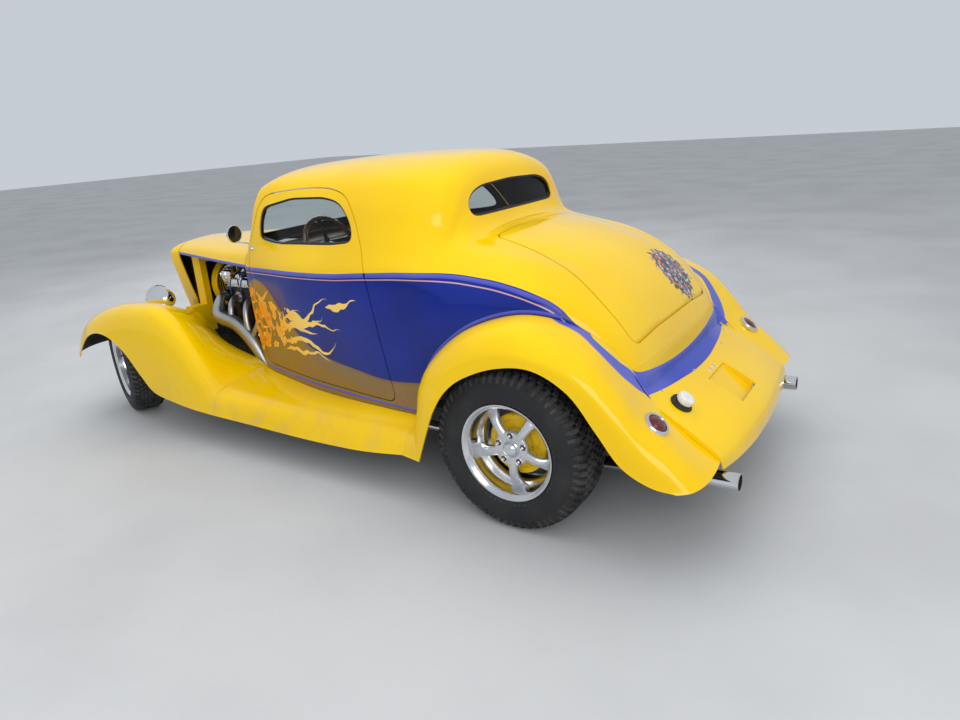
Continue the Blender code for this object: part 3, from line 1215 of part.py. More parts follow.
pan_skin = thicken(helper(sheet_mesh(pan_rows)), -TRIM_GAP, OVERRUN / 2)
cap_place = Vector((x_of(FUEL_CAP_SHARES[0]), y_of(FUEL_CAP_SHARES[1]), z_of(FUEL_CAP_SHARES[2])))
cap = seated("fuel_cap", cap_place, FUEL_CAP_FACING, FUEL_BASE_RADIUS, FUEL_BASE_HEIGHT, "chrome", pan_skin)
cap_aim = Vector(FUEL_CAP_FACING).normalized()
cap_foot = cap_place + cap_aim * FUEL_BASE_HEIGHT / 2
boolean(cap, helper(rod(cap_foot, cap_place + cap_aim * FUEL_CAP_HEIGHT, FUEL_CAP_RADIUS)), "UNION")

# Seat: a bench with its back, as one soft solid
SEAT_HALF_WIDTH = 0.500
SEAT_SHARES = ((0.225, 0.405), (0.245, 0.405))
SEAT_TOP = 0.200
BACK_TOP_SHARE = 0.690
BACK_SHARES = (0.195, 0.255)
seat_floor = floor_level + FIT
seat_box = box(
    (x_of(SEAT_SHARES[0][0]), -SEAT_HALF_WIDTH, seat_floor),
    (x_of(SEAT_SHARES[0][1]), SEAT_HALF_WIDTH, seat_floor + SEAT_TOP),
)
seat = part("seat", seat_box, "leather")
back_box = box(
    (x_of(BACK_SHARES[0]), -SEAT_HALF_WIDTH, seat_floor + SEAT_TOP / 2),
    (x_of(BACK_SHARES[1]), SEAT_HALF_WIDTH, z_of(BACK_TOP_SHARE)),
)
boolean(seat, helper(back_box), "UNION")

# Dash, with the steering column and wheel fixed to it
DASH_SHARES = ((0.545, 0.612), (0.620, 0.700))
DASH_HALF_WIDTH = 0.455
DASH_NECK_SHARES = (0.430, 0.672)
WHEEL_CENTRE_SHARES = (0.470, 0.345, 0.700)
WHEEL_RIM_RADIUS = 0.175
WHEEL_RIM_SECTION = 0.012
COLUMN_RADIUS = 0.022
COLUMN_TILT = math.radians(28)
(dash_rear, dash_front), (dash_low, dash_high) = DASH_SHARES
dash_box = box(
    (x_of(dash_rear), -DASH_HALF_WIDTH, z_of(dash_low)), (x_of(dash_front), DASH_HALF_WIDTH, z_of(dash_high))
)
dash = part("dash", dash_box, "leather")
neck_side, neck_top = DASH_NECK_SHARES
neck = box(
    (x_of(dash_rear), -y_of(neck_side), z_of(dash_low)),
    (firewall_face - 2 * FIREWALL - FIT, y_of(neck_side), z_of(neck_top)),
)
boolean(dash, helper(neck), "UNION")
centre = Vector((x_of(WHEEL_CENTRE_SHARES[0]), y_of(WHEEL_CENTRE_SHARES[1]), z_of(WHEEL_CENTRE_SHARES[2])))
aim = Vector((math.cos(COLUMN_TILT), 0, -math.sin(COLUMN_TILT)))
column_room = x_of(dash_rear) - centre.x - COLUMN_RADIUS * math.sin(COLUMN_TILT) - FIT
column_end = centre + aim * (column_room / aim.x)
steering = part("steering_wheel", rod(centre, column_end, COLUMN_RADIUS), "leather")
bm = bmesh.new()
bmesh.ops.create_circle(bm, segments=ROD_SIDES // 2, radius=WHEEL_RIM_SECTION)
bmesh.ops.rotate(bm, matrix=Matrix.Rotation(math.pi / 2, 3, "X"), verts=bm.verts)
bmesh.ops.translate(bm, vec=(WHEEL_RIM_RADIUS, 0, 0), verts=bm.verts)
rim = helper(mesh_of(bm), centre, aim.to_track_quat("Z", "Y").to_euler())
add_screw(rim, WHEEL_TURNS)
rim.modifiers["Screw"].use_normal_flip = True
boolean(steering, rim, "UNION")
for i in range(3):
    low = (0, -WHEEL_RIM_SECTION, -WHEEL_RIM_SECTION / 2)
    high = (WHEEL_RIM_RADIUS, WHEEL_RIM_SECTION, WHEEL_RIM_SECTION / 2)
    spoke = box(low, high)
    spoke.transform(Matrix.Rotation(2 * math.pi * i / 3, 4, "Z"))
    boolean(steering, helper(spoke, centre, rim.rotation_euler), "UNION")

# The origin goes under the middle of the car's length
bpy.context.view_layer.update()
graph = bpy.context.evaluated_depsgraph_get()
reach = []
for item in collection.objects:
    shape = item.evaluated_get(graph)
    reach += [(item.matrix_world @ Vector(corner)).x for corner in shape.bound_box]
middle_x = (min(reach) + max(reach)) / 2
for item in bpy.data.objects:
    item.location.x -= middle_x
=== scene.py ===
import math

import bmesh
import bpy
import numpy as np
from mathutils import Matrix, Vector
from mathutils.bvhtree import BVHTree


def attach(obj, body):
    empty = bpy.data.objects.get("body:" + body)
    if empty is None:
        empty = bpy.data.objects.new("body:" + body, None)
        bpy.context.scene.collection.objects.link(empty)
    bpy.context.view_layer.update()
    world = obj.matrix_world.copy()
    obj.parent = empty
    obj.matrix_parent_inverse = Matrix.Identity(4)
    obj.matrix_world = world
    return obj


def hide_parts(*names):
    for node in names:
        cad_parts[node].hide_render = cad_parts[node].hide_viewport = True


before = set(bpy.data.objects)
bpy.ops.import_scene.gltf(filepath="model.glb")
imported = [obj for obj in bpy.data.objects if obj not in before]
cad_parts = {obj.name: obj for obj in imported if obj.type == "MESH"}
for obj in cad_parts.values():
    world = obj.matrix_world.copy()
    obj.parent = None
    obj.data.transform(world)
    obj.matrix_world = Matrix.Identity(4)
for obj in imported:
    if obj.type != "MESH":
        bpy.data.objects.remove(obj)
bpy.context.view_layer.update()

# Viewpoint: an eye-level view from behind the car's left shoulder, looking down and forward,
# with a wide lens and a small tilt to one side.
CAMERA_PLACE = (-2.5450, 2.9431, 1.5909)
CAMERA_YAW = math.radians(-55.795)
CAMERA_DOWN = math.radians(18.555)
CAMERA_ROLL = math.radians(-3.974)
CAMERA_LENS = 26.09
CAMERA_SENSOR = 36
CAMERA_REACH = 200
flat_way = Vector((math.cos(CAMERA_YAW), math.sin(CAMERA_YAW), 0))
look = flat_way * math.cos(CAMERA_DOWN) - Vector((0, 0, math.sin(CAMERA_DOWN)))
level_right = Vector((math.sin(CAMERA_YAW), -math.cos(CAMERA_YAW), 0))
level_up = level_right.cross(look)
camera_right = level_right * math.cos(CAMERA_ROLL) + level_up * math.sin(CAMERA_ROLL)
camera_up = level_up * math.cos(CAMERA_ROLL) - level_right * math.sin(CAMERA_ROLL)
camera = bpy.data.objects.new("camera", bpy.data.cameras.new("camera"))
camera.data.lens = CAMERA_LENS
camera.data.sensor_width = CAMERA_SENSOR
camera.data.clip_end = CAMERA_REACH
axes = Matrix((camera_right, camera_up, -look)).transposed().to_4x4()
camera.matrix_world = Matrix.Translation(CAMERA_PLACE) @ axes
bpy.context.scene.collection.objects.link(camera)
bpy.context.scene.camera = camera

# Light: a pale even surround, one wide panel of light overhead, and two softer ones that
# give the paint long highlights from the rear left and from the front right.
SKY_COLOUR = (0.86, 0.92, 1.0, 1)
SKY_STRENGTH = 0.66
PANELS = (
    ("overhead", (0.2, 0.3, 5.0), (9.0, 6.0), 190),
    ("rear_left", (-4.5, 5.0, 3.6), (5.0, 3.0), 150),
    ("front_right", (4.5, -4.5, 3.4), (4.0, 3.0), 90),
)
bpy.context.scene.view_settings.view_transform = "Standard"
world = bpy.data.worlds.new("surround")
bpy.context.scene.world = world
world.use_nodes = True
world.node_tree.nodes["Background"].inputs["Color"].default_value = SKY_COLOUR
world.node_tree.nodes["Background"].inputs["Strength"].default_value = SKY_STRENGTH
for name, place, size, power in PANELS:
    panel = bpy.data.lights.new(name, "AREA")
    panel.shape = "RECTANGLE"
    panel.size, panel.size_y = size
    panel.energy = power
    lamp = bpy.data.objects.new(name, panel)
    lamp.location = place
    lamp.visible_glossy = name == "rear_left"
    lamp.rotation_euler = Vector(place).to_track_quat("Z", "Y").to_euler()
    bpy.context.scene.collection.objects.link(lamp)


class Shade:
    """A value in a material's nodes. Sums and products on it add the nodes that work them out."""

    def __init__(self, tree, socket=None):
        self.tree = tree
        self.socket = socket

    def node(self, kind, settings, values, output=0):
        """Adds a node: its settings first, then the values or links of its sockets."""
        made = self.tree.nodes.new("ShaderNode" + kind)
        for word, setting in settings.items():
            if word == "stops":
                ramp = made.color_ramp
                while len(ramp.elements) < len(setting):
                    ramp.elements.new(1)
                for element, (place, colour) in zip(ramp.elements, setting):
                    element.position = place
                    element.color = (*colour, 1)
            elif word == "line":
                curve = made.mapping.curves[0]
                while len(curve.points) < len(setting):
                    curve.points.new(1, 1)
                for point, place in zip(curve.points, setting):
                    point.location = place
                made.mapping.update()
            else:
                setattr(made, word, setting)
        for word, value in values.items():
            if isinstance(value, Shade):
                self.tree.links.new(value.socket, made.inputs[word])
            else:
                made.inputs[word].default_value = value
        return Shade(self.tree, made.outputs[output])

    def sum_of(self, operation, *values):
        return self.node("Math", {"operation": operation}, dict(enumerate(values)))

    def __add__(self, other):
        return self.sum_of("ADD", self, other)

    def __sub__(self, other):
        return self.sum_of("SUBTRACT", self, other)

    def __rsub__(self, other):
        return self.sum_of("SUBTRACT", other, self)

    def __mul__(self, other):
        return self.sum_of("MULTIPLY", self, other)

    def __truediv__(self, other):
        return self.sum_of("DIVIDE", self, other)

    def __gt__(self, other):
        return self.sum_of("GREATER_THAN", self, other)

    def __lt__(self, other):
        return self.sum_of("LESS_THAN", self, other)

    __radd__ = __add__
    __rmul__ = __mul__

    def size(self):
        return self.sum_of("ABSOLUTE", self)

    def wave(self):
        return self.sum_of("SINE", self)

    def larger(self, other):
        return self.sum_of("MAXIMUM", self, other)

    def step(self, start, end):
        """0 below start, 1 above end and a smooth rise between; start may be the larger."""
        values = {"Value": self, "From Min": start, "From Max": end}
        return self.node("MapRange", {"interpolation_type": "SMOOTHSTEP"}, values)

    def mix(self, first, second):
        """A colour between two, with this value as the share of the second."""
        return self.node("Mix", {"data_type": "RGBA"}, {0: self, 6: first, 7: second}, 2)

    def noise(self, scale, detail=3, stretch=(1, 1, 1)):
        """A cloudy value from 0 to 1 at this place."""
        place = self.node("VectorMath", {"operation": "MULTIPLY"}, {0: self, 1: stretch})
        values = {"Vector": place, "Scale": scale, "Detail": detail}
        return self.node("TexNoise", {}, values)

    def parts(self):
        return [self.node("SeparateXYZ", {}, {0: self}, i) for i in range(3)]


def rgb(red, green, blue):
    return (red, green, blue, 1)


def finish_named(name):
    """A new material: its start, the place on the piece, and a function that sets its shader."""
    found = bpy.data.materials.new(name)
    found.use_nodes = True
    start = Shade(found.node_tree)
    place = start.node("TexCoord", {}, {}, "Object")
    shader = found.node_tree.nodes["Principled BSDF"]

    def dress(**values):
        for word, value in values.items():
            socket = shader.inputs[word.replace("_", " ")]
            if isinstance(value, Shade):
                found.node_tree.links.new(value.socket, socket)
            else:
                socket.default_value = value
        return found

    return start, place, dress


def bumped(start, height, distance, strength=1.0):
    """A surface normal roughened by a height between 0 and 1 that is this deep."""
    return start.node("Bump", {}, {"Height": height, "Distance": distance, "Strength": strength})


# Floor: a plain pale studio floor of smooth sealed concrete, with faint clouding and a
# fine grain that takes a soft shadow under the car.
FLOOR_HALF = 40
FLOOR_PALE = rgb(0.56, 0.56, 0.555)
FLOOR_DARK = rgb(0.50, 0.50, 0.498)
start, place, dress = finish_named("pale_floor")
clouds = place.noise(0.9, 5)
grain = place.noise(160, 2)
pale_floor = dress(
    Base_Color=clouds.step(0.35, 0.7).mix(FLOOR_PALE, FLOOR_DARK),
    Roughness=clouds * 0.2 + 0.6,
    Normal=bumped(start, grain, 0.0006),
)
floor_mesh = bpy.data.meshes.new("floor")
corners = [(x, y, 0) for x, y in ((-1, -1), (1, -1), (1, 1), (-1, 1))]
floor_mesh.from_pydata([Vector(corner) * FLOOR_HALF for corner in corners], [], [(0, 1, 2, 3)])
floor_mesh.materials.append(pale_floor)
floor = bpy.data.objects.new("floor", floor_mesh)
bpy.context.scene.collection.objects.link(floor)

# Body shell: cowl, quarters, chopped roof and tail pressed and welded into one steel skin,
# leaded smooth and sprayed in solid yellow and blue under thick polished clear lacquer.
WHEELBASE = 2.845
HALF_WIDTH = 0.873
HEIGHT = 1.488
REAR_AXLE_X = -1.19639
WALL = 0.012
PANEL_GAP = 0.005
BODY_SHARES = (
    (
        (0.633, 0.550, 0.242), (0.633, 0.573, 0.370), (0.633, 0.584, 0.484), (0.633, 0.589, 0.591),
        (0.633, 0.586, 0.642), (0.633, 0.569, 0.672), (0.633, 0.538, 0.689), (0.633, 0.481, 0.699),
        (0.633, 0.378, 0.707), (0.634, 0.206, 0.714), (0.636, 0.000, 0.716),
    ),
    (
        (0.619, 0.564, 0.240), (0.619, 0.586, 0.370), (0.619, 0.598, 0.484), (0.619, 0.603, 0.595),
        (0.619, 0.599, 0.645), (0.620, 0.586, 0.692), (0.624, 0.561, 0.709), (0.626, 0.515, 0.712),
        (0.627, 0.401, 0.718), (0.629, 0.206, 0.722), (0.629, 0.000, 0.724),
    ),
    (
        (0.598, 0.584, 0.237), (0.598, 0.607, 0.370), (0.598, 0.621, 0.484), (0.598, 0.625, 0.598),
        (0.598, 0.620, 0.651), (0.605, 0.592, 0.722), (0.598, 0.576, 0.793), (0.586, 0.558, 0.867),
        (0.576, 0.493, 0.922), (0.578, 0.252, 0.944), (0.580, 0.000, 0.949),
    ),
    (
        (0.545, 0.624, 0.233), (0.545, 0.651, 0.370), (0.545, 0.664, 0.484), (0.545, 0.668, 0.605),
        (0.545, 0.661, 0.662), (0.548, 0.624, 0.729), (0.547, 0.601, 0.800), (0.545, 0.575, 0.874),
        (0.541, 0.504, 0.938), (0.543, 0.275, 0.968), (0.545, 0.000, 0.974),
    ),
    (
        (0.457, 0.685, 0.229), (0.457, 0.716, 0.370), (0.457, 0.733, 0.484), (0.457, 0.735, 0.608),
        (0.457, 0.726, 0.672), (0.457, 0.676, 0.733), (0.457, 0.639, 0.806), (0.457, 0.605, 0.880),
        (0.457, 0.521, 0.948), (0.457, 0.292, 0.983), (0.457, 0.000, 0.990),
    ),
    (
        (0.351, 0.733, 0.229), (0.351, 0.765, 0.370), (0.351, 0.781, 0.484), (0.351, 0.786, 0.608),
        (0.351, 0.777, 0.677), (0.351, 0.733, 0.739), (0.351, 0.693, 0.806), (0.351, 0.647, 0.884),
        (0.351, 0.550, 0.951), (0.351, 0.309, 0.991), (0.351, 0.000, 0.999),
    ),
    (
        (0.264, 0.765, 0.239), (0.264, 0.795, 0.370), (0.264, 0.811, 0.484), (0.264, 0.816, 0.608),
        (0.264, 0.808, 0.682), (0.264, 0.770, 0.739), (0.264, 0.727, 0.806), (0.264, 0.674, 0.877),
        (0.264, 0.567, 0.948), (0.264, 0.315, 0.991), (0.264, 0.000, 1.000),
    ),
    (
        (0.204, 0.779, 0.242), (0.204, 0.804, 0.370), (0.204, 0.818, 0.484), (0.204, 0.822, 0.608),
        (0.204, 0.813, 0.684), (0.204, 0.762, 0.739), (0.204, 0.710, 0.803), (0.204, 0.655, 0.870),
        (0.204, 0.550, 0.941), (0.204, 0.309, 0.985), (0.204, 0.000, 0.995),
    ),
    (
        (0.176, 0.788, 0.282), (0.176, 0.808, 0.376), (0.176, 0.819, 0.484), (0.176, 0.822, 0.608),
        (0.174, 0.811, 0.682), (0.169, 0.739, 0.739), (0.167, 0.676, 0.800), (0.165, 0.613, 0.867),
        (0.167, 0.510, 0.931), (0.169, 0.286, 0.968), (0.170, 0.000, 0.978),
    ),
    (
        (0.160, 0.802, 0.363), (0.158, 0.813, 0.430), (0.156, 0.820, 0.511), (0.155, 0.820, 0.608),
        (0.153, 0.802, 0.679), (0.148, 0.699, 0.743), (0.146, 0.619, 0.796), (0.145, 0.544, 0.853),
        (0.146, 0.447, 0.904), (0.148, 0.252, 0.931), (0.149, 0.000, 0.938),
    ),
    (
        (0.127, 0.809, 0.447), (0.127, 0.817, 0.497), (0.127, 0.819, 0.551), (0.128, 0.814, 0.615),
        (0.130, 0.790, 0.672), (0.132, 0.670, 0.739), (0.135, 0.578, 0.776), (0.136, 0.504, 0.813),
        (0.137, 0.401, 0.843), (0.137, 0.229, 0.857), (0.137, 0.000, 0.860),
    ),
    (
        (0.088, 0.806, 0.514), (0.088, 0.811, 0.544), (0.090, 0.812, 0.578), (0.091, 0.805, 0.625),
        (0.095, 0.773, 0.665), (0.102, 0.664, 0.727), (0.111, 0.573, 0.754), (0.116, 0.493, 0.766),
        (0.120, 0.389, 0.778), (0.121, 0.218, 0.786), (0.121, 0.000, 0.788),
    ),
    (
        (0.046, 0.796, 0.558), (0.046, 0.801, 0.578), (0.046, 0.800, 0.608), (0.047, 0.788, 0.642),
        (0.049, 0.750, 0.674), (0.056, 0.659, 0.715), (0.063, 0.573, 0.735), (0.067, 0.481, 0.744),
        (0.070, 0.367, 0.757), (0.072, 0.195, 0.767), (0.072, 0.000, 0.771),
    ),
    (
        (-0.007, 0.779, 0.579), (-0.007, 0.781, 0.596), (-0.007, 0.779, 0.616), (-0.006, 0.763, 0.641),
        (-0.005, 0.724, 0.664), (0.000, 0.641, 0.694), (0.004, 0.559, 0.711), (0.007, 0.458, 0.717),
        (0.009, 0.344, 0.730), (0.011, 0.183, 0.739), (0.011, 0.000, 0.741),
    ),
    (
        (-0.060, 0.739, 0.566), (-0.060, 0.738, 0.579), (-0.060, 0.732, 0.596), (-0.060, 0.712, 0.614),
        (-0.060, 0.676, 0.633), (-0.056, 0.601, 0.655), (-0.053, 0.518, 0.669), (-0.051, 0.424, 0.675),
        (-0.050, 0.321, 0.684), (-0.049, 0.172, 0.690), (-0.049, 0.000, 0.692),
    ),
    (
        (-0.105, 0.690, 0.521), (-0.106, 0.686, 0.531), (-0.107, 0.676, 0.542), (-0.108, 0.653, 0.554),
        (-0.107, 0.619, 0.568), (-0.105, 0.556, 0.583), (-0.103, 0.481, 0.595), (-0.101, 0.395, 0.603),
        (-0.100, 0.298, 0.610), (-0.099, 0.160, 0.614), (-0.099, 0.000, 0.616),
    ),
    (
        (-0.135, 0.647, 0.464), (-0.137, 0.641, 0.470), (-0.138, 0.630, 0.478), (-0.139, 0.607, 0.487),
        (-0.139, 0.573, 0.496), (-0.138, 0.515, 0.506), (-0.137, 0.447, 0.513), (-0.136, 0.367, 0.519),
        (-0.136, 0.275, 0.523), (-0.135, 0.149, 0.526), (-0.135, 0.000, 0.526),
    ),
    (
        (-0.149, 0.630, 0.417), (-0.151, 0.624, 0.420), (-0.153, 0.611, 0.425), (-0.155, 0.588, 0.429),
        (-0.156, 0.553, 0.433), (-0.156, 0.498, 0.437), (-0.156, 0.430, 0.440), (-0.156, 0.349, 0.442),
        (-0.156, 0.263, 0.443), (-0.156, 0.137, 0.444), (-0.156, 0.000, 0.444),
    ),
    (
        (-0.156, 0.624, 0.384), (-0.159, 0.619, 0.384), (-0.161, 0.604, 0.384), (-0.164, 0.580, 0.384),
        (-0.165, 0.545, 0.384), (-0.166, 0.493, 0.384), (-0.166, 0.424, 0.384), (-0.167, 0.344, 0.384),
        (-0.167, 0.252, 0.384), (-0.167, 0.137, 0.384), (-0.167, 0.000, 0.384),
    ),
)
BODY_CREASES = (1, 2)
BODY_ROW_STEPS = 6
BODY_POINT_STEPS = 5


def between(points, steps):
    """The points of a smooth curve through the given ones, with this many steps a span."""
    last = len(points) - 1
    found = []
    for i in range(last):
        a, b = points[max(i - 1, 0)], points[i]
        c, d = points[i + 1], points[min(i + 2, last)]
        for step in range(steps):
            t = step / steps
            bend = (2 * a - 5 * b + 4 * c - d) * t + (3 * b - a - 3 * c + d) * t * t
            found.append(b + 0.5 * t * ((c - a) + bend))
    return found + [points[last]]


def x_at(share):
    return share * WHEELBASE + REAR_AXLE_X


def grid_of(shares, row_steps, point_steps, creases=()):
    """A fine grid of points, in metres, through rows of shares, folded along each crease row."""
    rows = []
    for row in shares:
        points = [np.array((x_at(x), y * HALF_WIDTH, z * HEIGHT)) for x, y, z in row]
        rows.append(between(points, point_steps))
    ends = [0, *creases, len(rows) - 1]
    found = []
    for first, last in zip(ends, ends[1:]):
        span = rows[first : last + 1]
        columns = [between([row[i] for row in span], row_steps) for i in range(len(span[0]))]
        strip = [list(row) for row in zip(*columns)]
        found += strip if not found else strip[1:]
    return found


def both_halves(rows):
    """A half grid, listed from the left side to the middle, carried on to the right side."""
    flip = np.array((1, -1, 1))
    return [row + [point * flip for point in reversed(row[:-1])] for row in rows]


def skin_of(rows, side=1):
    """The grid as one mesh of four-sided faces that look outwards; side -1 mirrors it."""
    flip = np.array((1, side, 1))
    points = [tuple(point * flip) for row in rows for point in row]
    wide = len(rows[0])
    faces = []
    for i in range(len(rows) - 1):
        for j in range(wide - 1):
            corner = i * wide + j
            face = (corner, corner + wide, corner + wide + 1, corner + 1)
            faces.append(face[::side])
    mesh = bpy.data.meshes.new("skin")
    mesh.from_pydata(points, [], faces)
    return mesh


def prism_of(outline, axis, low, high):
    """A flat outline in the two other axes, in their order, drawn out along the axis."""
    bm = bmesh.new()
    rings = []
    for level in (low, high):
        ring = []
        for point in outline:
            spot = list(point)
            spot.insert(axis, level)
            ring.append(bm.verts.new(spot))
        rings.append(ring)
    bm.faces.new(rings[0])
    bm.faces.new(reversed(rings[1]))
    for i in range(len(outline)):
        j = (i + 1) % len(outline)
        bm.faces.new((rings[0][j], rings[0][i], rings[1][i], rings[1][j]))
    bmesh.ops.recalc_face_normals(bm, faces=bm.faces)
    mesh = bpy.data.meshes.new("prism")
    bm.to_mesh(mesh)
    bm.free()
    return mesh


def rounded(outline, radius, steps=5):
    """The outline with each corner turned into a short curve."""
    points = [Vector(point) for point in outline]
    found = []
    for i, corner in enumerate(points):
        before, after = points[i - 1], points[(i + 1) % len(points)]
        reach = [min(0.5, radius / (other - corner).length) for other in (before, after)]
        start, end = corner.lerp(before, reach[0]), corner.lerp(after, reach[1])
        for step in range(steps + 1):
            t = step / steps
            spot = start.lerp(corner, t).lerp(corner.lerp(end, t), t)
            if not found or (spot - found[-1]).length > 0.0005:
                found.append(spot)
    if (found[0] - found[-1]).length < 0.0005:
        found.pop()
    return found


def inset(outline, distance):
    """A closed outline moved inwards; a distance below zero moves it out."""
    points = [Vector(point) for point in outline]
    area = sum(a.cross(b) for a, b in zip(points, points[1:] + points[:1]))
    turn = 1 if area > 0 else -1
    found = []
    for i, point in enumerate(points):
        before = (point - points[i - 1]).normalized()
        after = (points[(i + 1) % len(points)] - point).normalized()
        normals = [Vector((-edge.y, edge.x)) * turn for edge in (before, after)]
        middle = (normals[0] + normals[1]).normalized()
        found.append(point + middle * distance / max(middle.dot(normals[0]), 0.4))
    return found


def carved(mesh, depths, finishes, *cuts):
    """The skin thickened between two depths, then cut, joined or kept by each mesh in turn."""
    for each in finishes:
        mesh.materials.append(each)
    blank = bpy.data.objects.new("blank", mesh)
    bpy.context.scene.collection.objects.link(blank)
    made = [blank]
    if depths:
        top, bottom = depths
        wall = blank.modifiers.new("wall", "SOLIDIFY")
        wall.thickness = bottom - top
        wall.offset = -2 * top / (bottom - top) - 1
        wall.use_even_offset = True
        wall.material_offset = len(finishes) - 1
    for operation, cutter in cuts:
        other = bpy.data.objects.new("cutter", cutter)
        bpy.context.scene.collection.objects.link(other)
        made.append(other)
        cut = blank.modifiers.new("cut", "BOOLEAN")
        cut.operation = operation
        cut.solver = "EXACT"
        cut.object = other
    bpy.context.view_layer.update()
    graph = bpy.context.evaluated_depsgraph_get()
    found = bpy.data.meshes.new_from_object(blank.evaluated_get(graph))
    for item in made:
        bpy.data.objects.remove(item)
    return found


def shown(name, mesh, finishes, body, slot, *stands_for, fold=35):
    """A piece of the car, with its finishes, the body that carries it and the solids it dresses."""
    mesh.name = name
    if not mesh.materials:
        for each in finishes:
            mesh.materials.append(each)
    mesh.shade_smooth()
    mesh.set_sharp_from_angle(angle=math.radians(fold))
    item = bpy.data.objects.new(name, mesh)
    bpy.context.scene.collection.objects.link(item)
    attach(item, body)
    if stands_for:
        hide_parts(*stands_for)
    return item


# Paint values: a deep solid colour, a slight ripple of the lacquer, and road dust low down
YELLOW = rgb(0.93, 0.59, 0.0)
YELLOW_DEEP = rgb(0.88, 0.535, 0.0)
DUST = rgb(0.42, 0.34, 0.18)
PERIWINKLE = rgb(0.085, 0.11, 0.50)
DEEP_BLUE = rgb(0.002, 0.018, 0.25)
NIGHT_BLUE = rgb(0.002, 0.011, 0.16)
GOLD = rgb(0.30, 0.185, 0.060)
GOLD_DARK = rgb(0.22, 0.13, 0.038)
FLAME_RED = rgb(0.80, 0.12, 0.01)
FLAME_ORANGE = rgb(0.95, 0.30, 0.02)
FLAME_YELLOW = rgb(1.0, 0.66, 0.12)
PINSTRIPE = rgb(0.62, 0.34, 0.30)


def painted(name, colour_of, metal_of=None):
    """Lacquered paint, whose colour is worked out from the place on the piece."""
    start, place, dress = finish_named(name)
    x, y, z = place.parts()
    colour = colour_of(start, place, x, y, z)
    dust = z.step(0.42, 0.16) * place.noise(7, 4).step(0.42, 0.75) * 0.35
    ripple = place.noise(900, 1) * 0.4 + place.noise(26, 1) * 0.6
    dress(
        Base_Color=dust.mix(colour, DUST),
        Roughness=dust * 0.8 + place.noise(60, 2) * 0.05 + 0.10,
        Specular_IOR_Level=0.22,
        Coat_Weight=0.28,
        Coat_Roughness=0.03,
        Normal=bumped(start, ripple, 0.00035, 0.25),
    )
    if metal_of:
        dress(Metallic=metal_of(start, place, x, y, z))
    return dress()


def plain_yellow(start, place, x, y, z):
    return place.noise(1.7, 2).step(0.35, 0.7).mix(YELLOW, YELLOW_DEEP)


yellow_paint = painted("yellow_paint", plain_yellow)

# Lines of the side, as (X share, height share): the belt's upper edge and the gold scallop
BELT_SHARES = (
    (0.655, 0.636), (0.560, 0.6465), (0.445, 0.656), (0.345, 0.666), (0.265, 0.680), (0.160, 0.690),
    (0.083, 0.683), (0.025, 0.670), (-0.027, 0.642), (-0.055, 0.615), (-0.081, 0.570),
    (-0.110, 0.530), (-0.133, 0.483), (-0.146, 0.452), (-0.156, 0.434), (-0.1605, 0.417),
    (-0.163, 0.405),
)
GOLD_SHARES = (
    (0.640, 0.545), (0.622, 0.585), (0.604, 0.600), (0.570, 0.591), (0.544, 0.560), (0.521, 0.516),
    (0.495, 0.480), (0.473, 0.444), (0.429, 0.395), (0.384, 0.372), (0.318, 0.357), (0.247, 0.345),
    (0.177, 0.357),
)
LINE_START = 0.660
LINE_END = -0.180
BAND = 0.020
TAIL_EDGE = 0.602
TAIL_RISE = 0.181


def line_value(x, shares):
    """The height in metres of a line of shares over X."""
    span = LINE_START - LINE_END
    points = [((share - LINE_END) / span, level) for share, level in reversed(shares)]
    along = ((x - REAR_AXLE_X) / WHEELBASE - LINE_END) / span
    return along.node("FloatCurve", {"line": points}, {"Value": along}) * HEIGHT


# Tongues of the flame, as shares of the wheelbase and height: root X, root height, tip X,
# rise to the tip, half width, swing and phase
TONGUE_SHARES = (
    (0.655, 0.345, 0.470, 0.055, 0.030, 0.016, 0.3),
    (0.655, 0.385, 0.440, 0.070, 0.034, 0.018, 1.6),
    (0.655, 0.425, 0.400, 0.050, 0.036, 0.020, 2.9),
    (0.655, 0.462, 0.375, 0.060, 0.032, 0.020, 4.1),
    (0.655, 0.500, 0.445, 0.020, 0.026, 0.016, 5.2),
    (0.640, 0.530, 0.545, 0.030, 0.016, 0.010, 0.9),
    (0.560, 0.440, 0.335, 0.068, 0.017, 0.022, 3.6),
    (0.540, 0.455, 0.355, 0.105, 0.014, 0.016, 1.1),
    (0.530, 0.395, 0.350, 0.035, 0.015, 0.020, 5.0),
    (0.500, 0.365, 0.385, 0.020, 0.012, 0.018, 2.2),
    (0.352, 0.545, 0.288, 0.035, 0.013, 0.010, 0.4),
)
TONGUE_TURNS = 8
TONGUE_SPREAD = 1.25


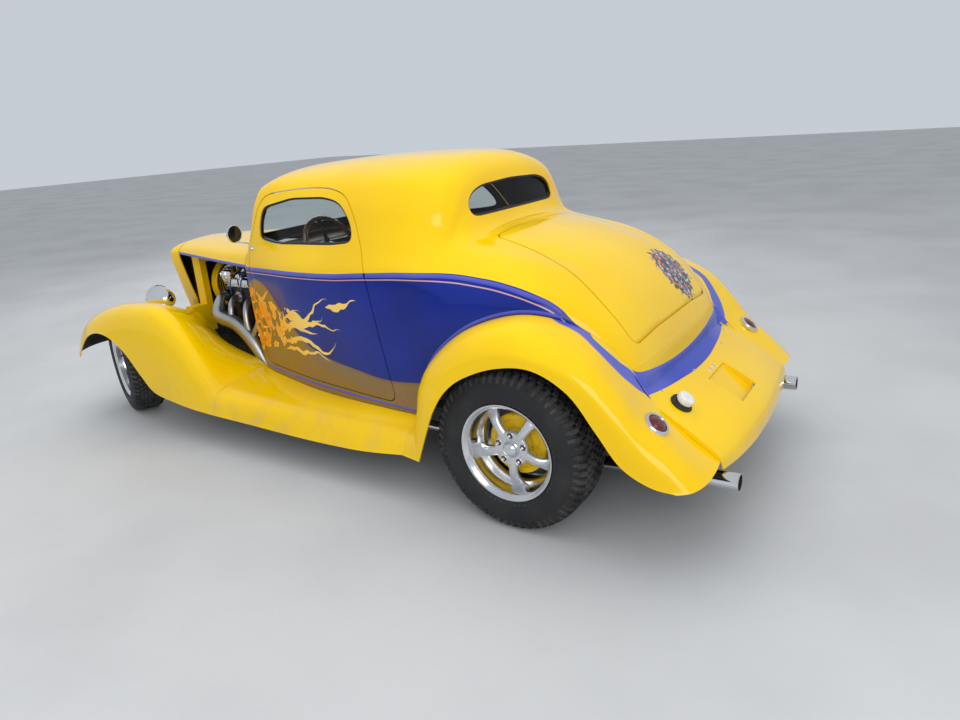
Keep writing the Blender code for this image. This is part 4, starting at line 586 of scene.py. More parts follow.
def side_colours(start, place, x, y, z):
    """Yellow above the belt, blue below it, a gold scallop along the sill and flames in front."""
    yellow = plain_yellow(start, place, x, y, z)
    belt = line_value(x, BELT_SHARES)
    tail_edge = y * y * TAIL_RISE + TAIL_EDGE
    turned = x.step(x_at(-0.144), x_at(-0.156))
    belt = belt + (tail_edge - belt) * turned
    under = belt - z
    cloud = place.noise(2.3, 3).step(0.3, 0.75)
    blue = cloud.mix(DEEP_BLUE, NIGHT_BLUE)
    gold_line = line_value(x, GOLD_SHARES)
    depth = gold_line - z
    grain = place.noise(240, 2).step(0.3, 0.8)
    gold = grain.mix(GOLD, GOLD_DARK)
    gold = depth.step(0.02, 0.0).mix(gold, GOLD_DARK)
    lower = depth.step(-0.002, 0.002).mix(blue, gold)
    # the flames drift with a coarse and a fine swirl
    drift = (place.noise(5, 2) - 0.5) * 0.09 + (place.noise(15, 1) - 0.5) * 0.020
    run = (x - REAR_AXLE_X) / WHEELBASE + drift * 0.3
    level = z / HEIGHT + drift
    heat = None
    for root_x, root_z, tip_x, rise, width, swing, phase in TONGUE_SHARES:
        t = (root_x - run) / (root_x - tip_x)
        middle = t * rise + root_z + (t * TONGUE_TURNS + phase).wave() * t * swing
        half = (1 - t) * t.step(-0.3, 0.25) * width * TONGUE_SPREAD
        tongue = (half - (level - middle).size()) / width * (t < 1) * (t > -0.3)
        heat = tongue if heat is None else heat.larger(tongue)
    lick = place.noise(34, 3, (0.5, 1, 1))
    holes = place.noise(15, 2, (1.3, 1, 0.6)).step(0.50, 0.58)
    heat = heat - holes * x.step(x_at(0.46), x_at(0.52)) * 0.80
    body = heat.step(0.0, 0.06)
    hot = (x - lick * 0.3).step(0.45, -0.15)
    flame = hot.mix(FLAME_ORANGE, FLAME_YELLOW)
    flame = (heat.step(0.30, 0.06) * 0.9).mix(flame, FLAME_YELLOW)
    flame = (lick.step(0.52, 0.68) * (1 - hot)).mix(flame, FLAME_RED)
    side = y.size().step(0.30, 0.34)
    lower = (body * side * under.step(0.05, 0.08)).mix(lower, flame)
    stripe = (under - BAND - 0.010).size().step(0.0030, 0.0016)
    lower = (stripe * side).mix(lower, PINSTRIPE)
    # past the last of the blue the belt runs on round the tail alone
    tail = x.step(x_at(-0.070), x_at(-0.085))
    lower = tail.mix(lower, place.noise(3, 2).mix(PERIWINKLE, DEEP_BLUE))
    return under.step(-0.0008, 0.0008).mix(yellow, lower)


def gold_metal(start, place, x, y, z):
    depth = line_value(x, GOLD_SHARES) - z
    return depth.step(-0.002, 0.002) * 0.15


side_paint = painted("side_paint", side_colours, gold_metal)

# Cabin trim: brown carpet-backed cloth glued over the inside of the shell and doors
TRIM_BROWN = rgb(0.050, 0.026, 0.016)
TRIM_DARK = rgb(0.022, 0.012, 0.008)
start, place, dress = finish_named("cabin_trim")
nap = place.noise(420, 3)
cabin_trim = dress(
    Base_Color=(nap * 0.6 + place.noise(9, 2) * 0.4).step(0.35, 0.65).mix(TRIM_DARK, TRIM_BROWN),
    Roughness=0.92,
    Sheen_Weight=0.4,
    Normal=bumped(start, nap, 0.0015),
)

DOOR_OUTLINE_SHARES = (
    (0.234, 0.269), (0.614, 0.272), (0.614, 0.692), (0.602, 0.753), (0.586, 0.813), (0.574, 0.860),
    (0.552, 0.897), (0.467, 0.914), (0.407, 0.919), (0.367, 0.915), (0.329, 0.894), (0.305, 0.841),
    (0.281, 0.759), (0.265, 0.680), (0.251, 0.538), (0.241, 0.403),
)
SIDE_WINDOW_OUTLINE_SHARES = (
    (0.567, 0.743), (0.572, 0.759), (0.572, 0.793), (0.564, 0.837), (0.552, 0.857), (0.477, 0.885),
    (0.389, 0.890), (0.351, 0.879), (0.330, 0.855), (0.311, 0.813), (0.304, 0.780), (0.309, 0.759),
    (0.355, 0.748), (0.518, 0.733),
)
WINDSHIELD_OUTLINE_SHARES = (
    (0.470, 0.743), (0.498, 0.759), (0.470, 0.874), (0.424, 0.906), (-0.424, 0.906), (-0.470, 0.874),
    (-0.498, 0.759), (-0.470, 0.743),
)
REAR_WINDOW_OUTLINE_SHARES = (
    (0.389, 0.815), (0.430, 0.823), (0.441, 0.840), (0.430, 0.867), (0.378, 0.890), (0.286, 0.903),
    (0.000, 0.909), (-0.286, 0.903), (-0.378, 0.890), (-0.430, 0.867), (-0.441, 0.840), (-0.430, 0.823),
    (-0.389, 0.815),
)
LID_OUTLINE_SHARES = (
    (0.097, 0.430), (0.051, 0.443), (0.011, 0.467), (-0.028, 0.504), (-0.063, 0.533), (-0.095, 0.548),
    (-0.120, 0.544), (-0.142, 0.534), (-0.142, -0.534), (-0.120, -0.544), (-0.095, -0.548), (-0.063, -0.533),
    (-0.028, -0.504), (0.011, -0.467), (0.051, -0.443), (0.097, -0.430),
)
DOOR_CUT_SHARES = (0.30, 1.00)
LID_CUT_SHARES = (0.42, 0.90)
WINDSHIELD_CUT_SHARES = (0.53, 0.66)
REAR_WINDOW_CUT_SHARES = (0.09, 0.20)
WINDOW_CORNER = 0.045
DOOR_CORNER = 0.060
LID_CORNER = 0.050


def side_view(shares, radius):
    return rounded([(x_at(x), z * HEIGHT) for x, z in shares], radius)


def end_view(shares, radius):
    return rounded([(y * HALF_WIDTH, z * HEIGHT) for y, z in shares], radius)


def through_side(outline, side):
    low, high = sorted(side * HALF_WIDTH * share for share in DOOR_CUT_SHARES)
    return prism_of(outline, 1, low, high)


def through_end(outline, shares):
    return prism_of(outline, 0, x_at(shares[0]), x_at(shares[1]))


def through_top(outline):
    return prism_of(outline, 2, *(share * HEIGHT for share in LID_CUT_SHARES))


body_rows = both_halves(grid_of(BODY_SHARES, BODY_ROW_STEPS, BODY_POINT_STEPS, BODY_CREASES))
door_line = side_view(DOOR_OUTLINE_SHARES, DOOR_CORNER)
window_line = side_view(SIDE_WINDOW_OUTLINE_SHARES, WINDOW_CORNER)
windshield_line = end_view(WINDSHIELD_OUTLINE_SHARES, WINDOW_CORNER)
rear_window_line = end_view(REAR_WINDOW_OUTLINE_SHARES, WINDOW_CORNER)
lid_corners = [(x_at(x), y * HALF_WIDTH) for x, y in LID_OUTLINE_SHARES]
lid_line = rounded(lid_corners, LID_CORNER)
SIDES = (("left", 1), ("right", -1))
cuts = [("DIFFERENCE", through_side(door_line, side)) for _, side in SIDES]
cuts.append(("DIFFERENCE", through_top(lid_line)))
cuts.append(("DIFFERENCE", through_end(windshield_line, WINDSHIELD_CUT_SHARES)))
cuts.append(("DIFFERENCE", through_end(rear_window_line, REAR_WINDOW_CUT_SHARES)))
shell = carved(skin_of(body_rows), (0, WALL), (side_paint, cabin_trim), *cuts)
shown("body_skin", shell, (), "car_body", "yellow_paint", "body_shell")

# Doors: the same pressed skin cut free along its shut line, rear-hinged on hidden pins,
# with an opening for the drop glass and a trimmed inner side.
for word, side in SIDES:
    keep = through_side(inset(door_line, PANEL_GAP), side)
    window = through_side(window_line, side)
    cuts = (("INTERSECT", keep), ("DIFFERENCE", window))
    door = carved(skin_of(body_rows), (0, WALL), (side_paint, cabin_trim), *cuts)
    shown("door_skin_" + word, door, (), f"door_{word}_body", "blue_paint", "door_" + word)

# Deck lid: one long crowned panel hinged at the rear window, in plain yellow but for a
# small airbrushed ornament of cool and warm tiles near its rear right corner.
LID_GAP = 0.0065
ORNAMENT_PLACE = (-1.495, -0.275, 0.885)
ORNAMENT_HALF = (0.100, 0.140)
TILE_COLOURS = (
    (0.0, (0.01, 0.01, 0.02)), (0.30, (0.10, 0.14, 0.28)), (0.45, (0.75, 0.20, 0.03)),
    (0.60, (0.06, 0.08, 0.20)), (0.78, (0.65, 0.66, 0.62)), (0.92, (0.55, 0.35, 0.10)),
)


def lid_colours(start, place, x, y, z):
    yellow = plain_yellow(start, place, x, y, z)
    across = (y - ORNAMENT_PLACE[1]) / ORNAMENT_HALF[1]
    along = (x - ORNAMENT_PLACE[0]) / ORNAMENT_HALF[0]
    far = across * across + along * along
    ragged = far + (place.noise(38, 2) - 0.5) * 1.4
    tiles = start.node("TexVoronoi", {}, {"Vector": place, "Scale": 52.0}, "Color")
    tint = start.node("SeparateColor", {}, {0: tiles}, 0)
    colour = start.node("ValToRGB", {"stops": TILE_COLOURS}, {0: tint})
    edge = start.node("TexVoronoi", {"feature": "DISTANCE_TO_EDGE"}, {"Vector": place, "Scale": 52.0})
    colour = edge.step(0.10, 0.02).mix(colour, rgb(0.01, 0.01, 0.015))
    return ragged.step(1.0, 0.85).mix(yellow, colour)


lid_paint = painted("lid_paint", lid_colours)
keep = through_top(inset(lid_line, LID_GAP))
lid = carved(skin_of(body_rows), (0, WALL), (lid_paint, cabin_trim), ("INTERSECT", keep))
shown("deck_lid_skin", lid, (), "deck_lid_body", "yellow_paint", "deck_lid")

# Windows: tinted safety glass in black rubber channels, a little below the skin,
# with the drop glass of each door riding in the door.
GLASS = 0.005
GLASS_DEPTH = 0.014
SEAL_WIDTH = 0.010
SEAL_DEPTH = (0.006, 0.020)
start, place, dress = finish_named("window_glass")
window_glass = dress(
    Base_Color=rgb(0.90, 0.95, 0.94),
    Roughness=place.noise(3, 2).step(0.3, 0.9) * 0.01,
    Specular_IOR_Level=0.25,
    Transmission_Weight=1.0,
    IOR=1.12,
)
start, place, dress = finish_named("seal_rubber")
seal_rubber = dress(
    Base_Color=rgb(0.016, 0.016, 0.017),
    Roughness=place.noise(40, 2) * 0.2 + 0.45,
    Normal=bumped(start, place.noise(500, 2), 0.0004),
)
PANE_EDGE = 0.0002
PANES = (
    ("windshield", windshield_line, through_end, WINDSHIELD_CUT_SHARES, "car_body", "windshield_glass"),
    ("rear_window", rear_window_line, through_end, REAR_WINDOW_CUT_SHARES, "car_body", "rear_glass"),
    ("door_window_left", window_line, through_side, 1, "door_left_body", "door_glass_left"),
    ("door_window_right", window_line, through_side, -1, "door_right_body", "door_glass_right"),
)
for name, line, through, reach, body, solid in PANES:
    keep = ("INTERSECT", through(inset(line, -PANE_EDGE), reach))
    pane = carved(skin_of(body_rows), (GLASS_DEPTH, GLASS_DEPTH + GLASS), (window_glass,), keep)
    shown(name, pane, (), body, "window_glass", solid)
    hole = ("DIFFERENCE", through(inset(line, SEAL_WIDTH), reach))
    seal = carved(skin_of(body_rows), SEAL_DEPTH, (seal_rubber,), keep, hole)
    shown(name + "_seal", seal, (), body, "black_plastic")

# Door trim: a thin padded board clipped inside each door, covered in brown grained vinyl.
BOARD_DEPTH = (0.0135, 0.034)
BOARD_INSET = 0.014
VINYL_BROWN = rgb(0.115, 0.055, 0.026)
VINYL_DARK = rgb(0.050, 0.022, 0.010)
start, place, dress = finish_named("brown_vinyl")
cells = start.node("TexVoronoi", {}, {"Vector": place, "Scale": 380.0})
worn = place.noise(11, 4)
brown_vinyl = dress(
    Base_Color=(worn * 0.7 + cells * 0.5).step(0.25, 0.75).mix(VINYL_DARK, VINYL_BROWN),
    Roughness=worn * 0.25 + 0.40,
    Normal=bumped(start, cells, 0.0006, 0.7),
)
for word, side in SIDES:
    keep = ("INTERSECT", through_side(inset(door_line, PANEL_GAP + BOARD_INSET), side))
    window = ("DIFFERENCE", through_side(inset(window_line, -BOARD_INSET / 2), side))
    board = carved(skin_of(body_rows), BOARD_DEPTH, (brown_vinyl,), keep, window)
    shown("door_board_" + word, board, (), f"door_{word}_body", "seat_leather")

# Hood: two thin top halves hinged along the middle, with no sides, so that the engine shows.
# Their lower edges are turned under and striped in the lighter blue.
HOOD_SHARES = (
    (
        (0.635, 0.588, 0.635), (0.635, 0.586, 0.642), (0.635, 0.569, 0.672), (0.635, 0.538, 0.689),
        (0.635, 0.481, 0.699), (0.635, 0.378, 0.707), (0.637, 0.206, 0.714), (0.638, 0.000, 0.716),
    ),
    (
        (0.745, 0.501, 0.633), (0.745, 0.499, 0.642), (0.745, 0.481, 0.665), (0.745, 0.447, 0.680),
        (0.745, 0.395, 0.690), (0.745, 0.309, 0.698), (0.745, 0.172, 0.704), (0.745, 0.000, 0.708),
    ),
    (
        (0.861, 0.403, 0.632), (0.861, 0.402, 0.638), (0.861, 0.384, 0.659), (0.861, 0.355, 0.672),
        (0.861, 0.309, 0.681), (0.861, 0.241, 0.690), (0.861, 0.137, 0.696), (0.861, 0.000, 0.699),
    ),
    (
        (0.965, 0.315, 0.630), (0.965, 0.314, 0.635), (0.965, 0.300, 0.651), (0.965, 0.275, 0.661),
        (0.965, 0.241, 0.669), (0.965, 0.189, 0.679), (0.965, 0.103, 0.684), (0.965, 0.000, 0.687),
    ),
)
HOOD_SHEET = 0.004
HOOD_SPLIT = 0.003
HOOD_ROW_STEPS = 12
HOOD_EDGE = (0.9375, 0.9450)
HOOD_STRIPE = 0.015
hood_rows = grid_of(HOOD_SHARES, HOOD_ROW_STEPS, BODY_POINT_STEPS)
hood_ends = (hood_rows[-1][0][0], hood_rows[0][0][0])


def hood_colours(start, place, x, y, z):
    slope = (HOOD_EDGE[1] - HOOD_EDGE[0]) / (hood_ends[1] - hood_ends[0])
    edge = (x - hood_ends[0]) * slope + HOOD_EDGE[0]
    rise = z - edge
    yellow = plain_yellow(start, place, x, y, z)
    return rise.step(HOOD_STRIPE, HOOD_STRIPE - 0.001).mix(yellow, PERIWINKLE)


hood_paint = painted("hood_paint", hood_colours)
start, place, dress = finish_named("black_coat")
speck = place.noise(120, 3)
black_coat = dress(
    Base_Color=speck.step(0.3, 0.8).mix(rgb(0.012, 0.012, 0.013), rgb(0.035, 0.032, 0.030)),
    Roughness=speck * 0.3 + 0.45,
    Normal=bumped(start, speck, 0.0005),
)
for word, side in SIDES:
    half_rows = [row[:-1] + [row[-1] + np.array((0, HOOD_SPLIT / 2, 0))] for row in hood_rows]
    half = carved(skin_of(half_rows[::-1], side), (0, HOOD_SHEET), (hood_paint, black_coat))
    shown("hood_top_" + word, half, (), f"hood_{word}_body", "yellow_paint", "hood_" + word)

# Grille shell: a pressed surround that leans back and narrows downwards, painted yellow,
# with a fan of thin upright polished bars standing in its opening before a black backing.
GRILLE_SHARES = (
    (
        (0.970, 0.149, 0.269), (1.002, 0.143, 0.269), (1.037, 0.115, 0.269), (1.062, 0.063, 0.269),
        (1.070, 0.000, 0.269),
    ),
    (
        (0.970, 0.189, 0.336), (1.005, 0.183, 0.336), (1.033, 0.149, 0.336), (1.058, 0.080, 0.336),
        (1.067, 0.000, 0.336),
    ),
    (
        (0.969, 0.243, 0.437), (1.002, 0.238, 0.437), (1.028, 0.197, 0.437), (1.053, 0.109, 0.437),
        (1.062, 0.000, 0.437),
    ),
    (
        (0.968, 0.286, 0.538), (1.000, 0.283, 0.538), (1.023, 0.235, 0.538), (1.044, 0.128, 0.538),
        (1.054, 0.000, 0.538),
    ),
    (
        (0.967, 0.315, 0.618), (0.998, 0.312, 0.618), (1.018, 0.258, 0.618), (1.035, 0.140, 0.618),
        (1.044, 0.000, 0.618),
    ),
    (
        (0.967, 0.300, 0.652), (0.993, 0.292, 0.651), (1.009, 0.238, 0.649), (1.023, 0.131, 0.647),
        (1.030, 0.000, 0.645),
    ),
    (
        (0.967, 0.229, 0.671), (0.981, 0.212, 0.671), (0.989, 0.172, 0.669), (0.998, 0.097, 0.669),
        (1.002, 0.000, 0.669),
    ),
    (
        (0.967, 0.115, 0.683), (0.967, 0.086, 0.684), (0.967, 0.057, 0.685), (0.967, 0.029, 0.686),
        (0.967, 0.000, 0.687),
    ),
)
GRILLE_OPENING_OUTLINE_SHARES = (
    (0.000, 0.302), (0.063, 0.316), (0.115, 0.403), (0.155, 0.504), (0.178, 0.591), (0.137, 0.615),
    (0.000, 0.622), (-0.137, 0.615), (-0.178, 0.591), (-0.155, 0.504), (-0.115, 0.403), (-0.063, 0.316),
)
GRILLE_SHEET = 0.008
GRILLE_CORNER = 0.040
GRILLE_CUT_SHARES = (0.975, 1.10)
GRILLE_ROW_STEPS = 5
TALL = 2


def block_between(sides, rear, front):
    """A block taller than the car between two Y places and two X places."""
    right, left = sorted(sides)
    return prism_of([(right, 0), (left, 0), (left, TALL), (right, TALL)], 0, rear, front)


grille_rows = both_halves(grid_of(GRILLE_SHARES, GRILLE_ROW_STEPS, BODY_POINT_STEPS))
opening = end_view(GRILLE_OPENING_OUTLINE_SHARES, GRILLE_CORNER)
HOOD_GAP = 0.006
shell_rear = hood_ends[0] + HOOD_GAP
behind = block_between((-1, 1), shell_rear - 1, shell_rear)
cuts = (("DIFFERENCE", behind), ("DIFFERENCE", through_end(opening, GRILLE_CUT_SHARES)))
surround = carved(skin_of(grille_rows), (0, GRILLE_SHEET), (yellow_paint, black_coat), *cuts)
shown("grille_surround", surround, (), "car_body", "yellow_paint", "grille_shell")


def polished(name, base, roughness, grain=40):
    """Bright metal, its polish broken by faint hazing and hairline rubbing marks."""
    start, place, dress = finish_named(name)
    haze = place.noise(9, 3)
    rubs = place.noise(grain, 3, (1, 1, 8))
    return dress(
        Base_Color=haze.step(0.3, 0.8).mix(rgb(*base), rgb(*(value * 0.86 for value in base))),
        Metallic=1.0,
        Roughness=haze * roughness * 0.6 + rubs * roughness * 0.6 + roughness * 0.4,
        Normal=bumped(start, rubs, 0.0003, 0.2),
    )


chrome = polished("chrome", (0.78, 0.79, 0.81), 0.05)
alloy = polished("polished_alloy", (0.74, 0.745, 0.76), 0.17)
coated_steel = polished("silver_coating", (0.55, 0.55, 0.56), 0.36, 200)
BARS = 23
BARS_SPAN_SHARE = 0.352
BAR_WIDTH = 0.0030
BAR_DEPTH = 0.010
BAR_STEPS = 24
BAR_SINK = 0.004
OUTSIDE = 3
ROUND_FOLD = 60


def tree_of(rows, side=1):
    """The grid as a skin that rays can be cast at."""
    mesh = skin_of(rows, side)
    corners = [tuple(v.co) for v in mesh.vertices]
    return BVHTree.FromPolygons(corners, [tuple(f.vertices) for f in mesh.polygons])


def met(tree, start, way):
    """Where a ray meets the skin and the skin's normal there, or None twice."""
    return tree.ray_cast(Vector(start), Vector(way))[:2]


def joined(bm, rings, finish=0, around=False, loop=False, capped=False):
    """Faces from each ring of corners to the next; around closes the rings, loop their row."""
    for a, b in zip(rings, rings[1:] + (rings[:1] if loop else [])):
        for j in range(len(a) if around else len(a) - 1):
            k = (j + 1) % len(a)
            bm.faces.new((a[j], b[j], b[k], a[k])).material_index = finish
    if capped:
        for ring in (rings[0], rings[-1]):
            bm.faces.new(ring).material_index = finish


def finished(name, bm, finishes, body, slot, *stands_for, fold=35):
    """The shape so far as a piece of the car, with its faces looking outwards."""
    bmesh.ops.recalc_face_normals(bm, faces=bm.faces)
    mesh = bpy.data.meshes.new(name)
    bm.to_mesh(mesh)
    bm.free()
    return shown(name, mesh, finishes, body, slot, *stands_for, fold=fold)


grille_tree = tree_of(grille_rows)
bm = bmesh.new()
for i in range(BARS):
    y = ((i + 0.5) / BARS - 0.5) * BARS_SPAN_SHARE * HALF_WIDTH
    levels = []
    for a, b in zip(opening, opening[1:] + opening[:1]):
        if (a[0] - y) * (b[0] - y) < 0:
            levels.append(a[1] + (y - a[0]) / (b[0] - a[0]) * (b[1] - a[1]))
    if len(levels) < 2:
        continue
    low, high = min(levels), max(levels)
    rings = []
    for step in range(BAR_STEPS + 1):
        z = low + (high - low) * step / BAR_STEPS
        hit, _ = met(grille_tree, (OUTSIDE, y, z), (-1, 0, 0))
        if hit:
            front = hit.x - BAR_SINK
            flank = (front - BAR_DEPTH, front - BAR_WIDTH / 2)
            section = [(flank[0], -1), (flank[1], -1), (front, 0), (flank[1], 1), (flank[0], 1)]
            rings.append([bm.verts.new((x, y + turn * BAR_WIDTH / 2, z)) for x, turn in section])
    joined(bm, rings)
finished("grille_bars", bm, (chrome,), "car_body", "chrome", fold=ROUND_FOLD)

# Fenders and running boards: deep pressed steel sheets with rolled lips, painted yellow on
# top, undersealed in black beneath and bolted to the body's sides along welted joints.
REAR_FENDER_SHARES = (
    (
        (0.183, 0.773, 0.181), (0.181, 0.842, 0.180), (0.175, 0.905, 0.176), (0.162, 0.968, 0.169),
        (0.149, 0.987, 0.158),
    ),
    (
        (0.176, 0.779, 0.289), (0.172, 0.853, 0.289), (0.162, 0.916, 0.286), (0.144, 0.974, 0.279),
        (0.127, 0.992, 0.262),
    ),
    (
        (0.159, 0.785, 0.388), (0.157, 0.861, 0.386), (0.148, 0.930, 0.373), (0.127, 0.982, 0.349),
        (0.111, 0.995, 0.329),
    ),
    (
        (0.127, 0.785, 0.472), (0.126, 0.871, 0.469), (0.118, 0.942, 0.450), (0.100, 0.987, 0.417),
        (0.087, 0.999, 0.394),
    ),
    (
        (0.070, 0.773, 0.552), (0.070, 0.871, 0.550), (0.065, 0.946, 0.528), (0.058, 0.992, 0.487),
        (0.053, 1.000, 0.444),
    ),
    (
        (0.000, 0.756, 0.595), (0.000, 0.865, 0.591), (0.000, 0.946, 0.570), (0.000, 0.993, 0.528),
        (0.000, 1.000, 0.485),
    ),
    (
        (-0.060, 0.704, 0.583), (-0.060, 0.842, 0.579), (-0.060, 0.937, 0.561), (-0.062, 0.991, 0.524),
        (-0.056, 1.000, 0.494),
    ),
    (
        (-0.112, 0.655, 0.528), (-0.114, 0.802, 0.528), (-0.118, 0.916, 0.516), (-0.120, 0.985, 0.484),
        (-0.107, 0.999, 0.447),
    ),
    (
        (-0.148, 0.624, 0.447), (-0.151, 0.756, 0.449), (-0.160, 0.899, 0.440), (-0.164, 0.976, 0.400),
        (-0.144, 0.997, 0.360),
    ),
    (
        (-0.176, 0.624, 0.376), (-0.181, 0.756, 0.380), (-0.193, 0.888, 0.366), (-0.199, 0.966, 0.326),
        (-0.176, 0.992, 0.281),
    ),
    (
        (-0.218, 0.624, 0.309), (-0.225, 0.745, 0.312), (-0.235, 0.871, 0.304), (-0.234, 0.951, 0.277),
        (-0.213, 0.983, 0.242),
    ),
    (
        (-0.270, 0.624, 0.243), (-0.273, 0.745, 0.243), (-0.271, 0.865, 0.241), (-0.261, 0.939, 0.237),
        (-0.246, 0.968, 0.233),
    ),
)
FRONT_FENDER_SHARES = (
    (
        (1.090, 0.481, 0.276), (1.130, 0.596, 0.269), (1.149, 0.756, 0.262), (1.137, 0.905, 0.255),
        (1.111, 0.962, 0.245),
    ),
    (
        (1.083, 0.481, 0.336), (1.120, 0.607, 0.336), (1.140, 0.756, 0.336), (1.124, 0.905, 0.327),
        (1.086, 0.968, 0.298),
    ),
    (
        (1.051, 0.458, 0.360), (1.076, 0.619, 0.410), (1.090, 0.767, 0.418), (1.076, 0.916, 0.397),
        (1.047, 0.974, 0.353),
    ),
    (
        (1.005, 0.392, 0.386), (1.009, 0.619, 0.447), (1.012, 0.779, 0.466), (1.011, 0.928, 0.440),
        (1.002, 0.977, 0.374),
    ),
    (
        (0.949, 0.392, 0.393), (0.949, 0.619, 0.456), (0.949, 0.790, 0.485), (0.949, 0.939, 0.464),
        (0.954, 0.982, 0.361),
    ),
    (
        (0.900, 0.392, 0.393), (0.893, 0.619, 0.460), (0.886, 0.802, 0.496), (0.882, 0.945, 0.474),
        (0.909, 0.984, 0.311),
    ),
    (
        (0.854, 0.430, 0.360), (0.847, 0.619, 0.447), (0.833, 0.802, 0.496), (0.819, 0.951, 0.474),
        (0.865, 0.985, 0.225),
    ),
    (
        (0.801, 0.447, 0.296), (0.791, 0.619, 0.393), (0.773, 0.802, 0.454), (0.756, 0.953, 0.433),
        (0.830, 0.985, 0.169),
    ),
    (
        (0.745, 0.447, 0.265), (0.738, 0.619, 0.326), (0.721, 0.802, 0.366), (0.703, 0.953, 0.336),
        (0.773, 0.983, 0.148),
    ),
    (
        (0.692, 0.470, 0.249), (0.689, 0.619, 0.272), (0.678, 0.790, 0.276), (0.668, 0.945, 0.245),
        (0.710, 0.981, 0.136),
    ),
    (
        (0.649, 0.515, 0.243), (0.649, 0.641, 0.239), (0.649, 0.779, 0.225), (0.649, 0.928, 0.202),
        (0.649, 0.976, 0.131),
    ),
)
RUNNING_BOARD_SHARES = (
    (
        (0.648, 0.515, 0.243), (0.648, 0.641, 0.239), (0.648, 0.779, 0.225), (0.648, 0.928, 0.202),
        (0.648, 0.976, 0.131),
    ),
    (
        (0.545, 0.590, 0.239), (0.545, 0.687, 0.233), (0.545, 0.802, 0.220), (0.545, 0.920, 0.196),
        (0.545, 0.962, 0.126),
    ),
    (
        (0.404, 0.687, 0.235), (0.404, 0.756, 0.230), (0.404, 0.836, 0.216), (0.404, 0.916, 0.192),
        (0.404, 0.960, 0.125),
    ),
    (
        (0.281, 0.733, 0.242), (0.281, 0.790, 0.235), (0.281, 0.848, 0.220), (0.281, 0.916, 0.195),
        (0.281, 0.960, 0.134),
    ),
    (
        (0.186, 0.750, 0.247), (0.186, 0.802, 0.241), (0.186, 0.853, 0.227), (0.186, 0.928, 0.205),
        (0.186, 0.964, 0.158),
    ),
)
PAN_SHARES = (
    (
        (-0.162, 0.676, 0.384), (-0.167, 0.458, 0.384), (-0.168, 0.229, 0.384), (-0.168, 0.000, 0.384),
    ),
    (
        (-0.197, 0.676, 0.346), (-0.200, 0.458, 0.348), (-0.202, 0.229, 0.349), (-0.202, 0.000, 0.349),
    ),
    (
        (-0.241, 0.676, 0.294), (-0.247, 0.458, 0.296), (-0.251, 0.229, 0.298), (-0.252, 0.000, 0.300),
    ),
    (
        (-0.269, 0.676, 0.254), (-0.276, 0.458, 0.253), (-0.282, 0.229, 0.253), (-0.285, 0.000, 0.253),
    ),
    (
        (-0.275, 0.676, 0.227), (-0.283, 0.458, 0.214), (-0.288, 0.229, 0.207), (-0.289, 0.000, 0.204),
    ),
)
FENDER_SHEET = 0.006
FENDER_ROW_STEPS = 7
FENDER_POINT_STEPS = 7
FENDER_EASE = 24
JOINT_GAP = 0.0016
PAN_HALF_WIDTH_SHARE = 0.648
JOINT_CUT = 0.10
PAN_REACH_SHARES = (-0.400, -0.155)
pan_side = PAN_HALF_WIDTH_SHARE * HALF_WIDTH
pan_reach = [x_at(share) for share in PAN_REACH_SHARES]
# Fender band: where the lighter blue runs over the joint's edge, as (X share, half width share)
FENDER_BAND_SHARES = (
    (-0.036, 0.600), (-0.060, 0.770), (-0.090, 0.765), (-0.120, 0.782), (-0.142, 0.758), (-0.162, 0.700),
    (-0.170, 0.650), (-0.180, 0.600),
)
FENDER_UPPER_SHARES = (
    (-0.036, 0.500), (-0.078, 0.590), (-0.098, 0.700), (-0.111, 0.722), (-0.134, 0.690), (-0.146, 0.641),
    (-0.180, 0.560),
)
PAN_BAND_SHARES = (0.362, 0.382)


def fender_colours(start, place, x, y, z):
    yellow = plain_yellow(start, place, x, y, z)
    span = LINE_START - LINE_END
    along = ((x - REAR_AXLE_X) / WHEELBASE - LINE_END) / span
    edges = []
    for shares in (FENDER_BAND_SHARES, FENDER_UPPER_SHARES):
        line = [((share - LINE_END) / span, across) for share, across in reversed(shares)]
        edges.append(along.node("FloatCurve", {"line": line}, {"Value": along}) * HALF_WIDTH)
    wide = y.size()
    band = (edges[0] - wide).step(-0.001, 0.001) * (wide - edges[1]).step(-0.001, 0.001)
    band = band * (z > 0.40) * x.step(x_at(-0.040), x_at(-0.048))
    rim = (edges[0] - wide - 0.004).size().step(0.0022, 0.0010) * band
    return rim.mix(band.mix(yellow, PERIWINKLE), PINSTRIPE)


fender_paint = painted("fender_paint", fender_colours)


def eased(rows, rounds):
    """The grid with its small waves evened out and its edges kept."""
    grid = np.array(rows)
    for _ in range(rounds):
        around = grid[:-2, 1:-1] + grid[2:, 1:-1] + grid[1:-1, :-2] + grid[1:-1, 2:]
        grid[1:-1, 1:-1] = (grid[1:-1, 1:-1] + around / 4) / 2
    return [list(row) for row in grid]


def drop_scraps(mesh):
    """Leaves only the largest connected part of the mesh."""
    bm = bmesh.new()
    bm.from_mesh(mesh)
    seen = set()
    groups = []
    for vert in bm.verts:
        if vert in seen:
            continue
        stack, group = [vert], []
        seen.add(vert)
        while stack:
            at = stack.pop()
            group.append(at)
            others = {edge.other_vert(at) for edge in at.link_edges} - seen
            seen |= others
            stack += others
        groups.append(group)
    keep = max(groups, key=len)
    stray = [vert for group in groups if group is not keep for vert in group]
    bmesh.ops.delete(bm, geom=stray, context="VERTS")
    bm.to_mesh(mesh)
    bm.free()


